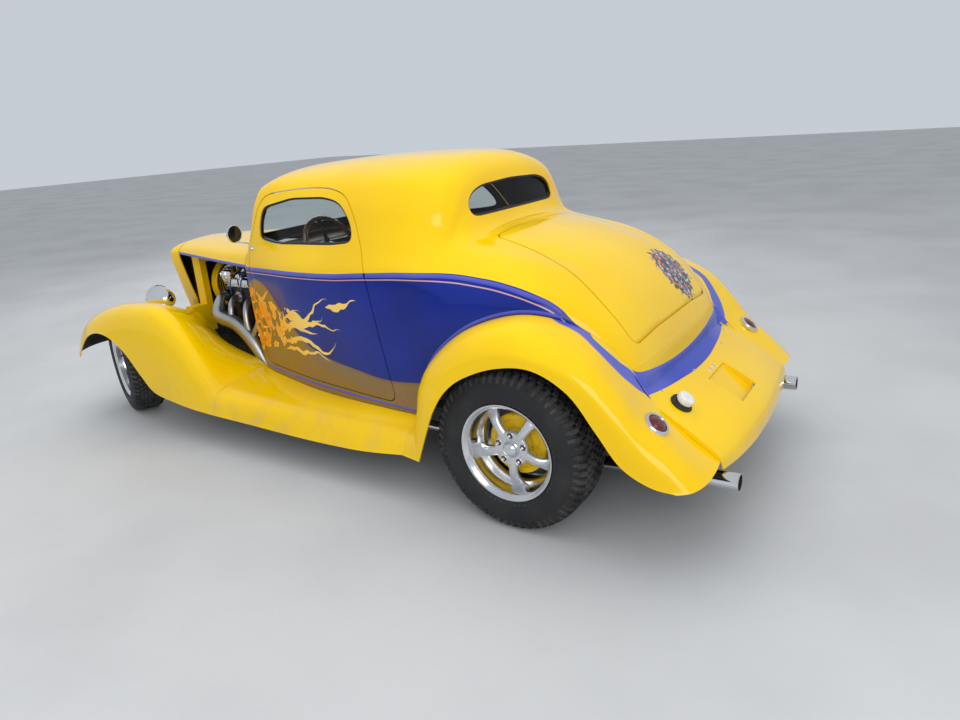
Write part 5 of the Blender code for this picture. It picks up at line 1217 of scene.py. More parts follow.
rear_rows = grid_of(REAR_FENDER_SHARES, FENDER_ROW_STEPS, FENDER_POINT_STEPS)
front_rows = eased(grid_of(FRONT_FENDER_SHARES, FENDER_ROW_STEPS, FENDER_POINT_STEPS), FENDER_EASE)
board_rows = grid_of(RUNNING_BOARD_SHARES, FENDER_ROW_STEPS, FENDER_POINT_STEPS)
joint_x = x_at(FRONT_FENDER_SHARES[-1][0][0])
for point in board_rows[0]:
    point[0] = joint_x - JOINT_GAP
longer = []
for row in body_rows:
    down, up = (edge * JOINT_CUT / np.linalg.norm(edge) for edge in (row[0] - row[1], row[-1] - row[-2]))
    longer.append([row[0] + down, *row, row[-1] + up])
body_block = carved(skin_of(longer), (-JOINT_GAP, WALL), ())
for word, side in SIDES:
    for name, rows, trimmed in (
        ("front_fender_", front_rows, False),
        ("running_board_", board_rows, True),
        ("rear_fender_", rear_rows, True),
    ):
        cuts = [("DIFFERENCE", body_block)] if trimmed else []
        if name == "rear_fender_":
            cuts.append(("DIFFERENCE", block_between((0, side * pan_side), *pan_reach)))
        outer = skin_of([row[::-1] for row in rows], side)
        sheet = carved(outer, (0, FENDER_SHEET), (fender_paint, black_coat), *cuts)
        drop_scraps(sheet)
        shown(name + "skin_" + word, sheet, (), "car_body", "yellow_paint", name + word)

# Board ends: short yellow gussets that carry each running board's end on to the fender
# behind it, welded under the fender's front edge.
GUSSET_STEPS = 6
GUSSET_UNDER = 0.0006
for word, side in SIDES:
    gusset_rows = [[] for _ in range(GUSSET_STEPS + 1)]
    for k, end in enumerate(board_rows[-1]):
        column = [row[k] for row in rear_rows[: FENDER_ROW_STEPS + 1]]
        levels = [point[2] for point in column]
        x, y = (np.interp(end[2], levels, [point[i] for point in column]) for i in (0, 1))
        for step, row in enumerate(gusset_rows):
            share = step / GUSSET_STEPS
            row.append(end + (np.array((x, y, end[2])) - end) * share - np.array((0, 0, GUSSET_UNDER)))
    outer = skin_of([row[::-1] for row in gusset_rows], side)
    gusset = carved(outer, (0, FENDER_SHEET), (fender_paint, black_coat))
    shown("board_end_" + word, gusset, (), "car_body", "yellow_paint")

# Rear pan: a sheet rolled under the tail between the fenders, with a flat recess for the
# number plate, left bare, and the lower half of the blue tail stripe along its top.
PLATE_SHARES = (-0.231, 0.3034)
PLATE_LENGTH = 0.160
PLATE_WIDTH = 0.235
PLATE_SLOPE = math.radians(36.4)
PAN_SHEET = 0.008
POCKET_OPEN = 0.05


def pan_colours(start, place, x, y, z):
    yellow = plain_yellow(start, place, x, y, z)
    across = y / pan_side
    edge = across * across * 0.030 + PAN_BAND_SHARES[0]
    over = z - edge * HEIGHT
    blue = place.noise(3, 2).mix(PERIWINKLE, DEEP_BLUE)
    return over.step(-0.001, 0.001).mix(yellow, blue)


pan_paint = painted("pan_paint", pan_colours)
pan_rows = both_halves(grid_of(PAN_SHARES, FENDER_ROW_STEPS, FENDER_POINT_STEPS))
plate = np.array((x_at(PLATE_SHARES[0]), PLATE_SHARES[1] * HEIGHT))
down = np.array((-math.cos(PLATE_SLOPE), -math.sin(PLATE_SLOPE)))
out = np.array((down[1], -down[0]))
pan_middle = sorted((row[len(row) // 2][0], row[len(row) // 2][2]) for row in pan_rows)


def pocket(margin, bottom, top, lean=0):
    """A box between the plate's plane and the pan, with its top this far from the pan."""
    ends = [plate + sign * down * (PLATE_LENGTH / 2 + margin) for sign in (-1, 0, 1)]
    outline = [ends[0] + out * bottom, ends[2] + out * bottom]
    for end, share in zip(reversed(ends), (lean, 0, 0)):
        level = np.interp(end[0], *zip(*pan_middle)) + top
        outline.append((end[0] - share * (level - end[1]), level))
    return prism_of(outline, 1, -PLATE_WIDTH / 2 - margin, PLATE_WIDTH / 2 + margin)


cuts = [
    ("DIFFERENCE", block_between((side * (pan_side - JOINT_GAP), side), pan_reach[0], REAR_AXLE_X))
    for _, side in SIDES
]
cuts.append(("UNION", pocket(PAN_SHEET, -PAN_SHEET, -PAN_SHEET / 2)))
cuts.append(("DIFFERENCE", pocket(0, 0, POCKET_OPEN, math.tan(PLATE_SLOPE))))
pan = carved(skin_of(pan_rows), (0, PAN_SHEET), (pan_paint, black_coat), *cuts)
shown("pan_skin", pan, (), "car_body", "yellow_paint", "rear_pan")

# Belt mouldings and welts: half-round beads that stand out of the skin, in the lighter blue,
# along the belt, down over the rear fender joints and along the sills.
body_tree = tree_of(body_rows)


def stripe_colours(start, place, x, y, z):
    return place.noise(4, 2).step(0.3, 0.7).mix(PERIWINKLE, rgb(0.065, 0.075, 0.47))


stripe_paint = painted("stripe_paint", stripe_colours)
BEAD_PROFILE_SHARES = (
    (-0.5, -0.25), (-0.42, 0.35), (-0.25, 0.85), (0, 1), (0.25, 0.85), (0.42, 0.35), (0.5, -0.25),
)


def bead(name, line, side, width, height, body):
    """A moulding that follows a line of (X, height) places over the body's side."""
    spots = []
    for x, z in line:
        hit, normal = met(body_tree, (x, OUTSIDE, z), (0, -1, 0))
        if hit:
            spots.append((hit, normal))
    bm = bmesh.new()
    rings = []
    for i, (spot, normal) in enumerate(spots):
        ahead = spots[min(i + 1, len(spots) - 1)][0] - spots[max(i - 1, 0)][0]
        across = normal.cross(ahead.normalized()).normalized()
        ring = []
        for over, up in BEAD_PROFILE_SHARES:
            point = spot + across * over * width + normal * up * height
            ring.append(bm.verts.new((point.x, side * point.y, point.z)))
        rings.append(ring)
    joined(bm, rings, capped=True)
    finished(name, bm, (stripe_paint,), body, "blue_paint", fold=ROUND_FOLD)


def line_through(shares, start, end, count):
    """Evenly spaced (X, height) places along a line of shares, between two X shares."""
    ordered = sorted(shares)
    smooth_line = between([np.array(point) for point in ordered], 8)
    xs = [point[0] for point in smooth_line]
    zs = [point[1] for point in smooth_line]
    found = []
    for i in range(count + 1):
        share = start + (end - start) * i / count
        found.append((x_at(share), np.interp(share, xs, zs) * HEIGHT))
    return found


BELT_BEAD = (0.021, 0.0045)
SILL_BEAD = (0.013, 0.003)
SILL_SHARE = 0.2565
SILL_RUN_SHARES = (0.631, 0.185)
SILL_STEPS = 44
JOINT_BEAD = (0.016, 0.005)
JOINT_BEAD_END = -0.066
JOINT_BEAD_LIFT = 0.010
JOINT_BEAD_LEAN = (1, 0.3)
BELT_RUNS = (
    ("cowl", 0.6325, 0.6160, 6, "car_body"),
    ("door", 0.6120, 0.2675, 60, "door_{}_body"),
    ("quarter", 0.2625, -0.060, 80, "car_body"),
)
for word, side in SIDES:
    for run, front, rear, count, body in BELT_RUNS:
        line = [(x, z - BELT_BEAD[0] / 2) for x, z in line_through(BELT_SHARES, front, rear, count)]
        bead(f"belt_{run}_{word}", line, side, *BELT_BEAD, body.format(word))
    front, rear = SILL_RUN_SHARES
    sill_x = [x_at(front + (rear - front) * i / SILL_STEPS) for i in range(SILL_STEPS + 1)]
    bead("sill_bead_" + word, [(x, SILL_SHARE * HEIGHT) for x in sill_x], side, *SILL_BEAD, "car_body")
    rows = rear_rows[FENDER_ROW_STEPS : -3 * FENDER_ROW_STEPS - 1]
    joint = [(row[0][0], row[0][2]) for row in rows if row[0][0] > x_at(JOINT_BEAD_END)]
    lift = []
    for i, (x, z) in enumerate(joint):
        ahead = Vector(joint[min(i + 1, len(joint) - 1)]) - Vector(joint[max(i - 1, 0)])
        off = Vector((-ahead.y, ahead.x)).normalized()
        off = off if off.y > 0 else -off
        if abs(ahead.y) > abs(ahead.x) * 2 and x > REAR_AXLE_X:
            off = Vector(JOINT_BEAD_LEAN).normalized()
        lift.append((x + off.x * JOINT_BEAD_LIFT, z + off.y * JOINT_BEAD_LIFT))
    bead("fender_bead_" + word, lift, side, *JOINT_BEAD, "car_body")

# Tail band: the blue stripe's raised run across the tail, formed over the joint between the
# body and the pan, and thin closing strips down the pan's sides to the fenders.
TAIL_BAND_HALF = 0.562
TAIL_BAND_STEPS = 90
TAIL_BAND_LEVELS = 10
TAIL_BAND_PROUD = 0.0035
TAIL_BAND_FRONT = -1.560
TAIL_BAND_OVER = 0.002
TAIL_BAND_SUNK = 0.0006
TAIL_BAND_ROLL = 1.5
PAN_BAND_RISE = 0.080
PAN_BAND_EDGE = 0.540


def band_colours(start, place, x, y, z):
    across = (y.size() * 2).step(0.9, 0.5)
    return across.mix(PERIWINKLE, rgb(0.030, 0.055, 0.42))


band_paint = painted("band_paint", band_colours)
pan_tree = tree_of(pan_rows)
fender_trees = [tree_of(rear_rows, side) for _, side in SIDES]
bm = bmesh.new()
rings = []
for i in range(TAIL_BAND_STEPS + 1):
    y = TAIL_BAND_HALF * (2 * i / TAIL_BAND_STEPS - 1)
    high = TAIL_EDGE + TAIL_RISE * y * y + TAIL_BAND_OVER
    low = PAN_BAND_EDGE + PAN_BAND_RISE * y * y
    spots = []
    for j in range(TAIL_BAND_LEVELS + 1):
        z = high + (low - high) * j / TAIL_BAND_LEVELS
        hits = [met(tree, (-OUTSIDE, y, z), (1, 0, 0))[0] for tree in (body_tree, pan_tree, *fender_trees)]
        found = [hit.x for hit in hits if hit and hit.x < TAIL_BAND_FRONT]
        if found:
            edge = min(1, j / TAIL_BAND_ROLL, (TAIL_BAND_LEVELS - j) / TAIL_BAND_ROLL)
            spots.append((min(found) - TAIL_BAND_PROUD * edge + TAIL_BAND_SUNK, y, z))
    if len(spots) == TAIL_BAND_LEVELS + 1:
        rings.append([bm.verts.new(spot) for spot in spots])
joined(bm, rings)
finished("tail_band", bm, (band_paint,), "car_body", "blue_paint", fold=50)
SIDE_STRIP_X = (-2.012, -1.700)
SIDE_STRIP_STEPS = 40
SIDE_STRIP = 0.0015
STRIP_IN = 0.0012
STRIP_BELOW = 0.0006
STRIP_PROBES = (-0.004, 0.003)
STRIP_SINK = 0.004
STRIP_LEAST = 0.002
for word, side in SIDES:
    bm = bmesh.new()
    rings = []
    for i in range(SIDE_STRIP_STEPS + 1):
        x = SIDE_STRIP_X[0] + (SIDE_STRIP_X[1] - SIDE_STRIP_X[0]) * i / SIDE_STRIP_STEPS
        top, _ = met(pan_tree, (x, pan_side + STRIP_PROBES[0], OUTSIDE), (0, 0, -1))
        foot, _ = met(fender_trees[0], (x, pan_side + STRIP_PROBES[1], OUTSIDE), (0, 0, -1))
        if top is None or foot is None or top.z < foot.z + STRIP_LEAST:
            if len(rings) > 1:
                break
            rings = []
            continue
        high, low = top.z - STRIP_BELOW, foot.z - STRIP_SINK
        ring = []
        for inward, z in ((0, high), (0, low), (SIDE_STRIP, low), (SIDE_STRIP, high)):
            ring.append(bm.verts.new((x, side * (pan_side - STRIP_IN - inward), z)))
        rings.append(ring)
    joined(bm, rings, around=True)
    finished("pan_side_" + word, bm, (yellow_paint,), "car_body", "yellow_paint")

# Window ledges: bright pressed strips along the foot of each door window, clipped over the
# outer edge of the opening.
LEDGE_RADIUS = 0.0032
LEDGE_SIDES = 10
LEDGE_STEPS = 30
LEDGE_REACH = 0.012
LEDGE_LIFT = 0.001
LEDGE_SINK = 0.002
foot_level = min(point[1] for point in window_line) + LEDGE_REACH
foot_line = sorted((point[0], point[1]) for point in window_line if point[1] < foot_level)


def round_turns(count, first=0):
    """Angles evenly spaced round a full turn."""
    return [2 * math.pi * (i + first) / count for i in range(count)]


for word, side in SIDES:
    bm = bmesh.new()
    rings = []
    for i in range(LEDGE_STEPS + 1):
        x = foot_line[0][0] + (foot_line[-1][0] - foot_line[0][0]) * i / LEDGE_STEPS
        z = np.interp(x, *zip(*foot_line)) + LEDGE_LIFT
        hit, normal = met(body_tree, (x, OUTSIDE, z), (0, -1, 0))
        spot = hit - normal * LEDGE_SINK
        ring = []
        for angle in round_turns(LEDGE_SIDES):
            out, up = LEDGE_RADIUS * math.cos(angle), LEDGE_RADIUS * math.sin(angle)
            ring.append(bm.verts.new((spot.x, side * (spot.y + out), spot.z + up)))
        rings.append(ring)
    joined(bm, rings, around=True, capped=True)
    finished("window_ledge_" + word, bm, (chrome,), f"door_{word}_body", "chrome", fold=ROUND_FOLD)

# Wheel houses: black pressed tubs inside the body over the rear tyres, ribbed for stiffness
# and flanged where they are welded behind the edge of each wheel opening.
HOUSE_CENTRE = (-1.1964, 0.348)
HOUSE_STEPS = 72
HOUSE_TURN = (12, 168)
HOUSE_RIBS = 9
HOUSE_RIB = 0.004
HOUSE_PROFILE = (
    (0.20, 0.562), (0.30, 0.562), (0.385, 0.562), (0.403, 0.568), (0.412, 0.585), (0.415, 0.625),
    (0.420, 0.636),
)
HOUSE_RIM = 0.500
HOUSE_BEHIND = 0.014
HOUSE_SIDE_LEAST = 0.45
HOUSE_SIDE_ELSE = 0.560
HOUSE_FLANGE_SHARES = (0.35, 0.7, 1.0)
HOUSE_SHEET = 0.0015
house_rows = []
for i in range(HOUSE_STEPS + 1):
    turn = math.radians(HOUSE_TURN[0] + (HOUSE_TURN[1] - HOUSE_TURN[0]) * i / HOUSE_STEPS)
    c, s = math.cos(turn), math.sin(turn)
    lift = HOUSE_RIB * max(0, math.cos(2 * math.pi * HOUSE_RIBS * i / HOUSE_STEPS)) ** 2
    row = [(HOUSE_CENTRE[0] + r * c, y - lift, HOUSE_CENTRE[1] + r * s) for r, y in HOUSE_PROFILE]
    x, z = HOUSE_CENTRE[0] + HOUSE_RIM * c, HOUSE_CENTRE[1] + HOUSE_RIM * s
    hit, _ = met(body_tree, (x, OUTSIDE, z), (0, -1, 0))
    rim = (x, hit.y - HOUSE_BEHIND if hit and hit.y > HOUSE_SIDE_LEAST else HOUSE_SIDE_ELSE, z)
    last = row[-1]
    row += [tuple(a + (b - a) * share for a, b in zip(last, rim)) for share in HOUSE_FLANGE_SHARES]
    house_rows.append(row)
for word, side in SIDES:
    house = carved(skin_of(house_rows, side), (0, HOUSE_SHEET), (black_coat, black_coat))
    shown("wheel_house_" + word, house, (), "car_body", "black_plastic")

# Brakes: cast drums with a machined ring round the rim, painted yellow, seen past the spokes.
# They, the wheels and the tyres are each turned about the wheel's own axis.
RIM_RADIUS = 0.2085
FACE_INSET = 0.050
STEER_REST = math.radians(-20)
FRONT_WHEEL = (1.6486, 0.553, 0.315)
SCRUB = 0.095
REAR_WHEEL_Y = 0.717
REAR_WHEEL_Z = 0.348
TURNS = 96
SAME_PLACE = 0.000001
REAR_TYRE = (0.348, 0.250, 0.225)
FRONT_TYRE = (0.315, 0.200, 0.176)


def spun(bm, profile, turns, at=Matrix(), finish=0, closed=False):
    """Turns a profile of (radius, height) places round the local upright axis."""
    rings = []
    for angle in round_turns(turns):
        way = Vector((math.cos(angle), math.sin(angle), 0))
        rings.append([bm.verts.new(at @ (way * r + Vector((0, 0, z)))) for r, z in profile])
    joined(bm, rings, finish, around=closed, loop=True)
    points = [point for ring in rings for point in ring]
    bmesh.ops.remove_doubles(bm, verts=points, dist=SAME_PLACE)


WHEELS = []
for word, side in SIDES:
    straight = Vector((0, side * SCRUB, 0))
    turned_out = Matrix.Rotation(STEER_REST, 3, "Z") @ straight
    kingpin = Vector((FRONT_WHEEL[0], side * FRONT_WHEEL[1], FRONT_WHEEL[2]))
    face_out = Matrix.Rotation(-side * math.pi / 2, 4, "X")
    steered = Matrix.Translation(kingpin + turned_out) @ Matrix.Rotation(STEER_REST, 4, "Z") @ face_out
    rear = Matrix.Translation((REAR_AXLE_X, side * REAR_WHEEL_Y, REAR_WHEEL_Z)) @ face_out
    WHEELS.append(("rear_" + word, rear, *REAR_TYRE))
    WHEELS.append(("front_" + word, steered, *FRONT_TYRE))

start, place, dress = finish_named("brake_yellow")
soot = place.noise(35, 4)
brake_yellow = dress(
    Base_Color=soot.step(0.50, 0.95).mix(rgb(0.86, 0.54, 0.0), rgb(0.35, 0.20, 0.03)),
    Roughness=soot * 0.4 + 0.35,
    Normal=bumped(start, place.noise(260, 3), 0.0008),
)
DRUM_SHARES = (
    (0.17, 0.00), (0.46, 0.00), (0.48, 0.16), (0.80, 0.16), (0.83, 0.02), (0.97, 0.02), (1.00, 0.10),
    (1.00, 0.28), (0.97, 0.34), (0.97, 0.46), (1.00, 0.52), (1.00, 0.92), (0.98, 1.00), (0.17, 1.00),
)
DRUM_RADIUS = 0.130
DRUM_DEPTH = 0.030
DRUM_BACK = 0.0525
DRUM_BOLTS = 10
DRUM_BOLT_PROFILE = ((0, 0.0035), (0.006, 0.0035), (0.006, -0.001))
DRUM_BOLT_SHARES = (0.64, 0.16)
for name, at, _, _, rim_width in WHEELS:
    bm = bmesh.new()
    back = rim_width / 2 - FACE_INSET - DRUM_BACK
    spun(bm, [(r * DRUM_RADIUS, back - z * DRUM_DEPTH) for r, z in DRUM_SHARES], TURNS, at, closed=True)
    out, sink = DRUM_BOLT_SHARES
    bolt = Matrix.Translation((DRUM_RADIUS * out, 0, back - sink * DRUM_DEPTH))
    for angle in round_turns(DRUM_BOLTS):
        spun(bm, DRUM_BOLT_PROFILE, 12, at @ (Matrix.Rotation(angle, 4, "Z") @ bolt))
    finished("drum_" + name, bm, (brake_yellow,), f"wheel_{name}_body", "yellow_paint", "brake_" + name)

# Wheels: cast alloy centres of five tapering spokes welded into deep spun rims, the lips
# polished bright and the spokes satin, with bullet caps, capped nuts and a valve in each.
LIP_SHARES = (
    (1.000, 0.500), (0.988, 0.500), (0.966, 0.494), (0.950, 0.478), (0.926, 0.452), (0.908, 0.440),
    (0.897, 0.425), (0.893, 0.300), (0.880, 0.180), (0.858, 0.145), (0.800, 0.080), (0.762, 0.010),
    (0.752, -0.180), (0.790, -0.260), (0.880, -0.320), (0.900, -0.440), (0.960, -0.492), (1.000, -0.500),
    (1.000, -0.467), (0.911, -0.436), (0.900, -0.310), (0.790, -0.180), (0.790, 0.000), (0.905, 0.130),
    (0.911, 0.436), (1.000, 0.467),
)
SPOKES = 5
SPOKE_START = 0.25
SPOKE_STATIONS = (
    (0.045, 0.0240, 0.0050), (0.085, 0.0205, 0.0060), (0.118, 0.0205, 0.0030), (0.142, 0.0240, -0.0055),
    (0.163, 0.0300, -0.0180), (0.1835, 0.0400, -0.0340),
)
SPOKE_SECTION_SHARES = (
    (-1.0, -1.0), (-1.0, -0.55), (-0.92, -0.30), (-0.70, -0.11), (-0.38, -0.01), (0.0, 0.03),
    (0.38, -0.01), (0.70, -0.11), (0.92, -0.30), (1.0, -0.55), (1.0, -1.0),
)
SPOKE_DEPTH = 0.030
HUB_PROFILE = (
    (0.036, 0.0035), (0.044, 0.0045), (0.066, 0.0045), (0.073, 0.0030), (0.077, -0.002), (0.078, -0.012),
    (0.074, -0.048), (0.021, -0.048),
)
CAP_PROFILE = (
    (0.0, 0.0300), (0.009, 0.0292), (0.018, 0.0262), (0.026, 0.0210), (0.0315, 0.0150), (0.0335, 0.0090),
    (0.0345, 0.0075), (0.0360, 0.0065), (0.0370, 0.0045), (0.0370, -0.002),
)
NUT_RING = 0.060
NUT_PROFILE = ((0, 0.0155), (0.003, 0.0150), (0.0062, 0.0125), (0.0078, 0.0085), (0.0078, -0.004))
POCKET_PROFILE = ((0.0125, 0.0050), (0.0135, 0.0058), (0.0145, 0.0050), (0.0145, 0.003))
POCKET_FLOOR = ((0, 0.0047), (0.0125, 0.0047))
VALVE_SHARES = (0.872, 0.36)
VALVE_LEAN = -0.35
VALVE_PROFILE = ((0, 0.026), (0.003, 0.025), (0.0035, 0.016), (0.0042, 0.015), (0.0045, -0.004))


def mottled(name, scale, detail, span, colours, rough_scale, rough_span, rough, **more):
    """A finish of two close colours in soft clouds, with a finer change of sheen."""
    start, place, dress = finish_named(name)
    clouds = place.noise(scale, detail).step(*span)
    sheen = place.noise(rough_scale, 2) * rough_span + rough
    return dress(Base_Color=clouds.mix(*(rgb(*colour) for colour in colours)), Roughness=sheen, **more)


GRIME = ((0.012, 0.011, 0.010), (0.05, 0.045, 0.04))
pocket_grime = mottled("pocket_grime", 90, 3, (0.3, 0.8), GRIME, 50, 0.3, 0.5)
satin_alloy = polished("satin_alloy", (0.76, 0.765, 0.78), 0.26, 90)
for name, at, _, _, rim_width in WHEELS:
    bm = bmesh.new()
    half = rim_width / 2
    face = half - FACE_INSET
    spun(bm, [(r * RIM_RADIUS, z * rim_width) for r, z in LIP_SHARES], TURNS, at, 3, closed=True)
    level = Matrix.Translation((0, 0, face))
    spun(bm, HUB_PROFILE, TURNS, at @ level, 1)
    spun(bm, CAP_PROFILE, 48, at @ level, 0)
    for angle in round_turns(SPOKES, SPOKE_START):
        way = Matrix.Rotation(angle, 4, "Z")
        stations = between([np.array(station) for station in SPOKE_STATIONS], 3)
        rings = []
        for r, wide, top in stations:
            ring = []
            for across, sink in SPOKE_SECTION_SHARES:
                spot = Vector((r, across * wide, face + top + sink * SPOKE_DEPTH))
                ring.append(bm.verts.new(at @ way @ spot))
            rings.append(ring)
        joined(bm, rings, 1, around=True, capped=True)
        half_way = Matrix.Rotation(angle + math.pi / SPOKES, 4, "Z")
        nut_at = at @ (half_way @ Matrix.Translation((NUT_RING, 0, face)))
        spun(bm, POCKET_PROFILE, 24, nut_at, 1)
        spun(bm, POCKET_FLOOR, 24, nut_at, 2)
        spun(bm, NUT_PROFILE, 6, nut_at, 0)
    out, up = VALVE_SHARES
    valve = Matrix.Translation((RIM_RADIUS * out, 0, half * up)) @ Matrix.Rotation(VALVE_LEAN, 4, "Y")
    spun(bm, VALVE_PROFILE, 12, at @ valve, 2)
    rim_finishes = (chrome, satin_alloy, pocket_grime, alloy)
    finished("rim_" + name, bm, rim_finishes, f"wheel_{name}_body", "polished_alloy", "wheel_" + name)

# Tyres: radial road tyres with plain ribbed sidewalls and a tread of staggered blocks split
# by sipes, worn pale with dust on the tread and dark and slightly shiny on the walls.
TYRE_SHARES = (
    (0.15, 0.452), (0.32, 0.490), (0.50, 0.500), (0.85, 0.430), (0.96, 0.365), (1.00, 0.200),
)
BEAD_SHARE = 0.911
SEAT_SHARES = (0.440, 0.4665)
GROOVE = 0.0075
SIDE_RIBS = ((0.045, 0.0012), (0.085, 0.0016), (0.30, 0.0008), (0.62, 0.0012), (0.70, 0.0012))
RIB_WIDTH = 0.018
PITCHES = 60
COLUMN_SHARES = (
    (-1.19, -0.86, 0.00, 0.62), (-0.80, -0.56, 0.35, 0.80), (-0.50, -0.28, 0.10, 0.78),
    (-0.22, -0.02, 0.60, 0.80), (0.02, 0.22, 0.20, 0.80), (0.28, 0.50, 0.70, 0.78),
    (0.56, 0.80, 0.45, 0.80), (0.86, 1.19, 0.85, 0.62),
)
HALF_TREAD_SHARE = 0.365
BLOCK_SKEW = 0.22
BLOCK_STEPS = 2
BLOCK_TRIM = 0.06
BLOCK_OUTER = 0.8
WALL_BARS = 60
WALL_BAR_HALF = 0.0085
WALL_BAR_TAPER = 0.8
WALL_BAR_SHARES = ((0.70, 0.86), (0.20, 0.235))
WALL_BAR_RISES = (0.0022, 0.0014)
SKIN_SINK = 0.002
MIDDLE_GAP = 0.002
TYRE_FIT = 0.0004
start, place, dress = finish_named("tyre_rubber")
smear = place.noise(6, 4)
fine = place.noise(300, 3)
tyre_rubber = dress(
    Base_Color=smear.step(0.42, 0.75).mix(rgb(0.007, 0.007, 0.0075), rgb(0.022, 0.021, 0.020)),
    Roughness=smear * 0.25 + fine * 0.1 + 0.46,
    Normal=bumped(start, fine, 0.0005, 0.7),
)
start, place, dress = finish_named("tread_rubber")
dirt = place.noise(14, 5)
tread_rubber = dress(
    Base_Color=dirt.step(0.35, 0.7).mix(rgb(0.012, 0.012, 0.012), rgb(0.060, 0.056, 0.052)),
    Roughness=dirt * 0.15 + 0.75,
    Normal=bumped(start, place.noise(500, 2), 0.0008, 0.8),
)
for name, at, radius, width, rim_width in WHEELS:
    bead_radius = RIM_RADIUS * BEAD_SHARE
    reach = radius - bead_radius
    knots = [np.array((z * width, bead_radius + r * reach)) for r, z in TYRE_SHARES]
    wall = between([np.array((rim_width * SEAT_SHARES[1], RIM_RADIUS + TYRE_FIT))] + knots[:4], 8)
    shoulder = between(knots[3:] + [np.array((0, radius))], 6)
    shoulder_zs, shoulder_rs = zip(*reversed(shoulder))
    wall_zs, wall_rs = zip(*wall)
    profile = [(bead_radius + TYRE_FIT, rim_width * SEAT_SHARES[0])]
    for z, r in wall:
        share = (r - bead_radius) / reach
        rib = sum(high * max(0, 1 - abs(share - middle) / RIB_WIDTH * 2) for middle, high in SIDE_RIBS)
        profile.append((r, z - SKIN_SINK + rib))
    for z, r in shoulder[1:]:
        profile.append((r - GROOVE, z - (GROOVE * 0.5 if z > width * 0.3 else 0)))
    profile = [point for point in profile if point[1] > MIDDLE_GAP]
    profile += [(r, -z) for r, z in reversed(profile)]
    bm = bmesh.new()
    spun(bm, profile, TURNS, at, 0, closed=True)
    for angle in round_turns(WALL_BARS, 0.5):
        way = at @ Matrix.Rotation(angle, 4, "Z")
        for (low, high), rise in zip(WALL_BAR_SHARES, WALL_BAR_RISES):
            feet, tops = [], []
            for share, across in ((low, -1), (high, -1), (high, 1), (low, 1)):
                r = bead_radius + share * reach
                z = np.interp(r, wall_rs, wall_zs) - SKIN_SINK
                half = across * WALL_BAR_HALF * r / radius
                feet.append(bm.verts.new(way @ Vector((r, half, z - SKIN_SINK))))
                tops.append(bm.verts.new(way @ Vector((r, half * WALL_BAR_TAPER, z + rise))))
            joined(bm, [feet, tops], 1, around=True)
            bm.faces.new(tops).material_index = 1
    for low, high, shift, share in COLUMN_SHARES:
        for i in range(PITCHES):
            rings = []
            for step in range(BLOCK_STEPS + 1):
                along = low + (high - low) * step / BLOCK_STEPS
                z = along * width * HALF_TREAD_SHARE
                top = np.interp(abs(z), shoulder_zs, shoulder_rs) - TYRE_FIT
                foot = top - GROOVE - SKIN_SINK
                skew = along * BLOCK_SKEW * (1 if abs(along) > BLOCK_OUTER else -1)
                ring = []
                for r, trim in ((foot, 0), (top, BLOCK_TRIM), (top, share - BLOCK_TRIM), (foot, share)):
                    angle = 2 * math.pi * (i + shift + skew + trim) / PITCHES
                    ring.append(bm.verts.new(at @ Vector((r * math.cos(angle), r * math.sin(angle), z))))
                rings.append(ring)
            joined(bm, rings, 1, capped=True)
    rubbers = (tyre_rubber, tread_rubber)
    finished("rubber_" + name, bm, rubbers, f"wheel_{name}_body", "tyre_rubber", "tyre_" + name, fold=30)

# Exhausts: steel tubes bent and welded into one header and pipe a side, coated silver near
# the engine, polished further back and ending in bright slash tips beside the pan.
SWEEP_STEPS = 6
EXHAUST_SHARES = (
    (0.822, 0.360, 0.4650), (0.810, 0.425, 0.400), (0.755, 0.428, 0.370),
    (0.710, 0.4285, 0.305), (0.675, 0.4335, 0.200), (0.635, 0.470, 0.150), (0.560, 0.525, 0.143),
    (0.220, 0.545, 0.143), (0.100, 0.555, 0.143), (-0.120, 0.575, 0.155), (-0.210, 0.632, 0.190),
    (-0.296, 0.639, 0.194),
)
PIPE_RADIUS = 0.026
COLLECTOR_RADIUS = 0.042
TIP_RADIUS = 0.034
TIP_INSIDE = 0.031
TIP_DEPTH_SHARE = 0.9
COLLAR_OUT = 0.006
COLLAR_PROFILE = ((0.024, 0.006), (0.038, 0.006), (0.038, -0.002))
PORT_OUT = 0.004
PORT_PROFILE = ((0.018, 0.005), (0.033, 0.005), (0.033, -0.003))
PRIMARY_RADIUS = 0.019
PORTS = (1.040, 0.905, 0.790)
HEAD_SIDE = 0.255


def swept(bm, places, radii, sides, finish=0, steps=SWEEP_STEPS, capped=True):
    """A round tube through the places, with a radius at each of them."""
    spots = [np.array((*place, radius)) for place, radius in zip(places, radii)]
    line = between(spots, steps) if steps > 1 else spots
    points = [Vector(spot[:3]) for spot in line]
    across = None
    rings = []
    for i, point in enumerate(points):
        ahead = (points[min(i + 1, len(points) - 1)] - points[max(i - 1, 0)]).normalized()
        if across is None:
            across = ahead.orthogonal().normalized()
        across = (across - ahead * across.dot(ahead)).normalized()
        other = ahead.cross(across)
        ring = []
        for angle in round_turns(sides):
            way = across * math.cos(angle) + other * math.sin(angle)
            ring.append(bm.verts.new(point + way * line[i][3]))
        rings.append(ring)
    joined(bm, rings, finish, around=True, capped=capped)


def side_on(x, y, z, side):
    """A place whose local +Z points out of the car's side."""
    return Matrix.Translation((x, y, z)) @ Matrix.Rotation(-side * math.pi / 2, 4, "X")


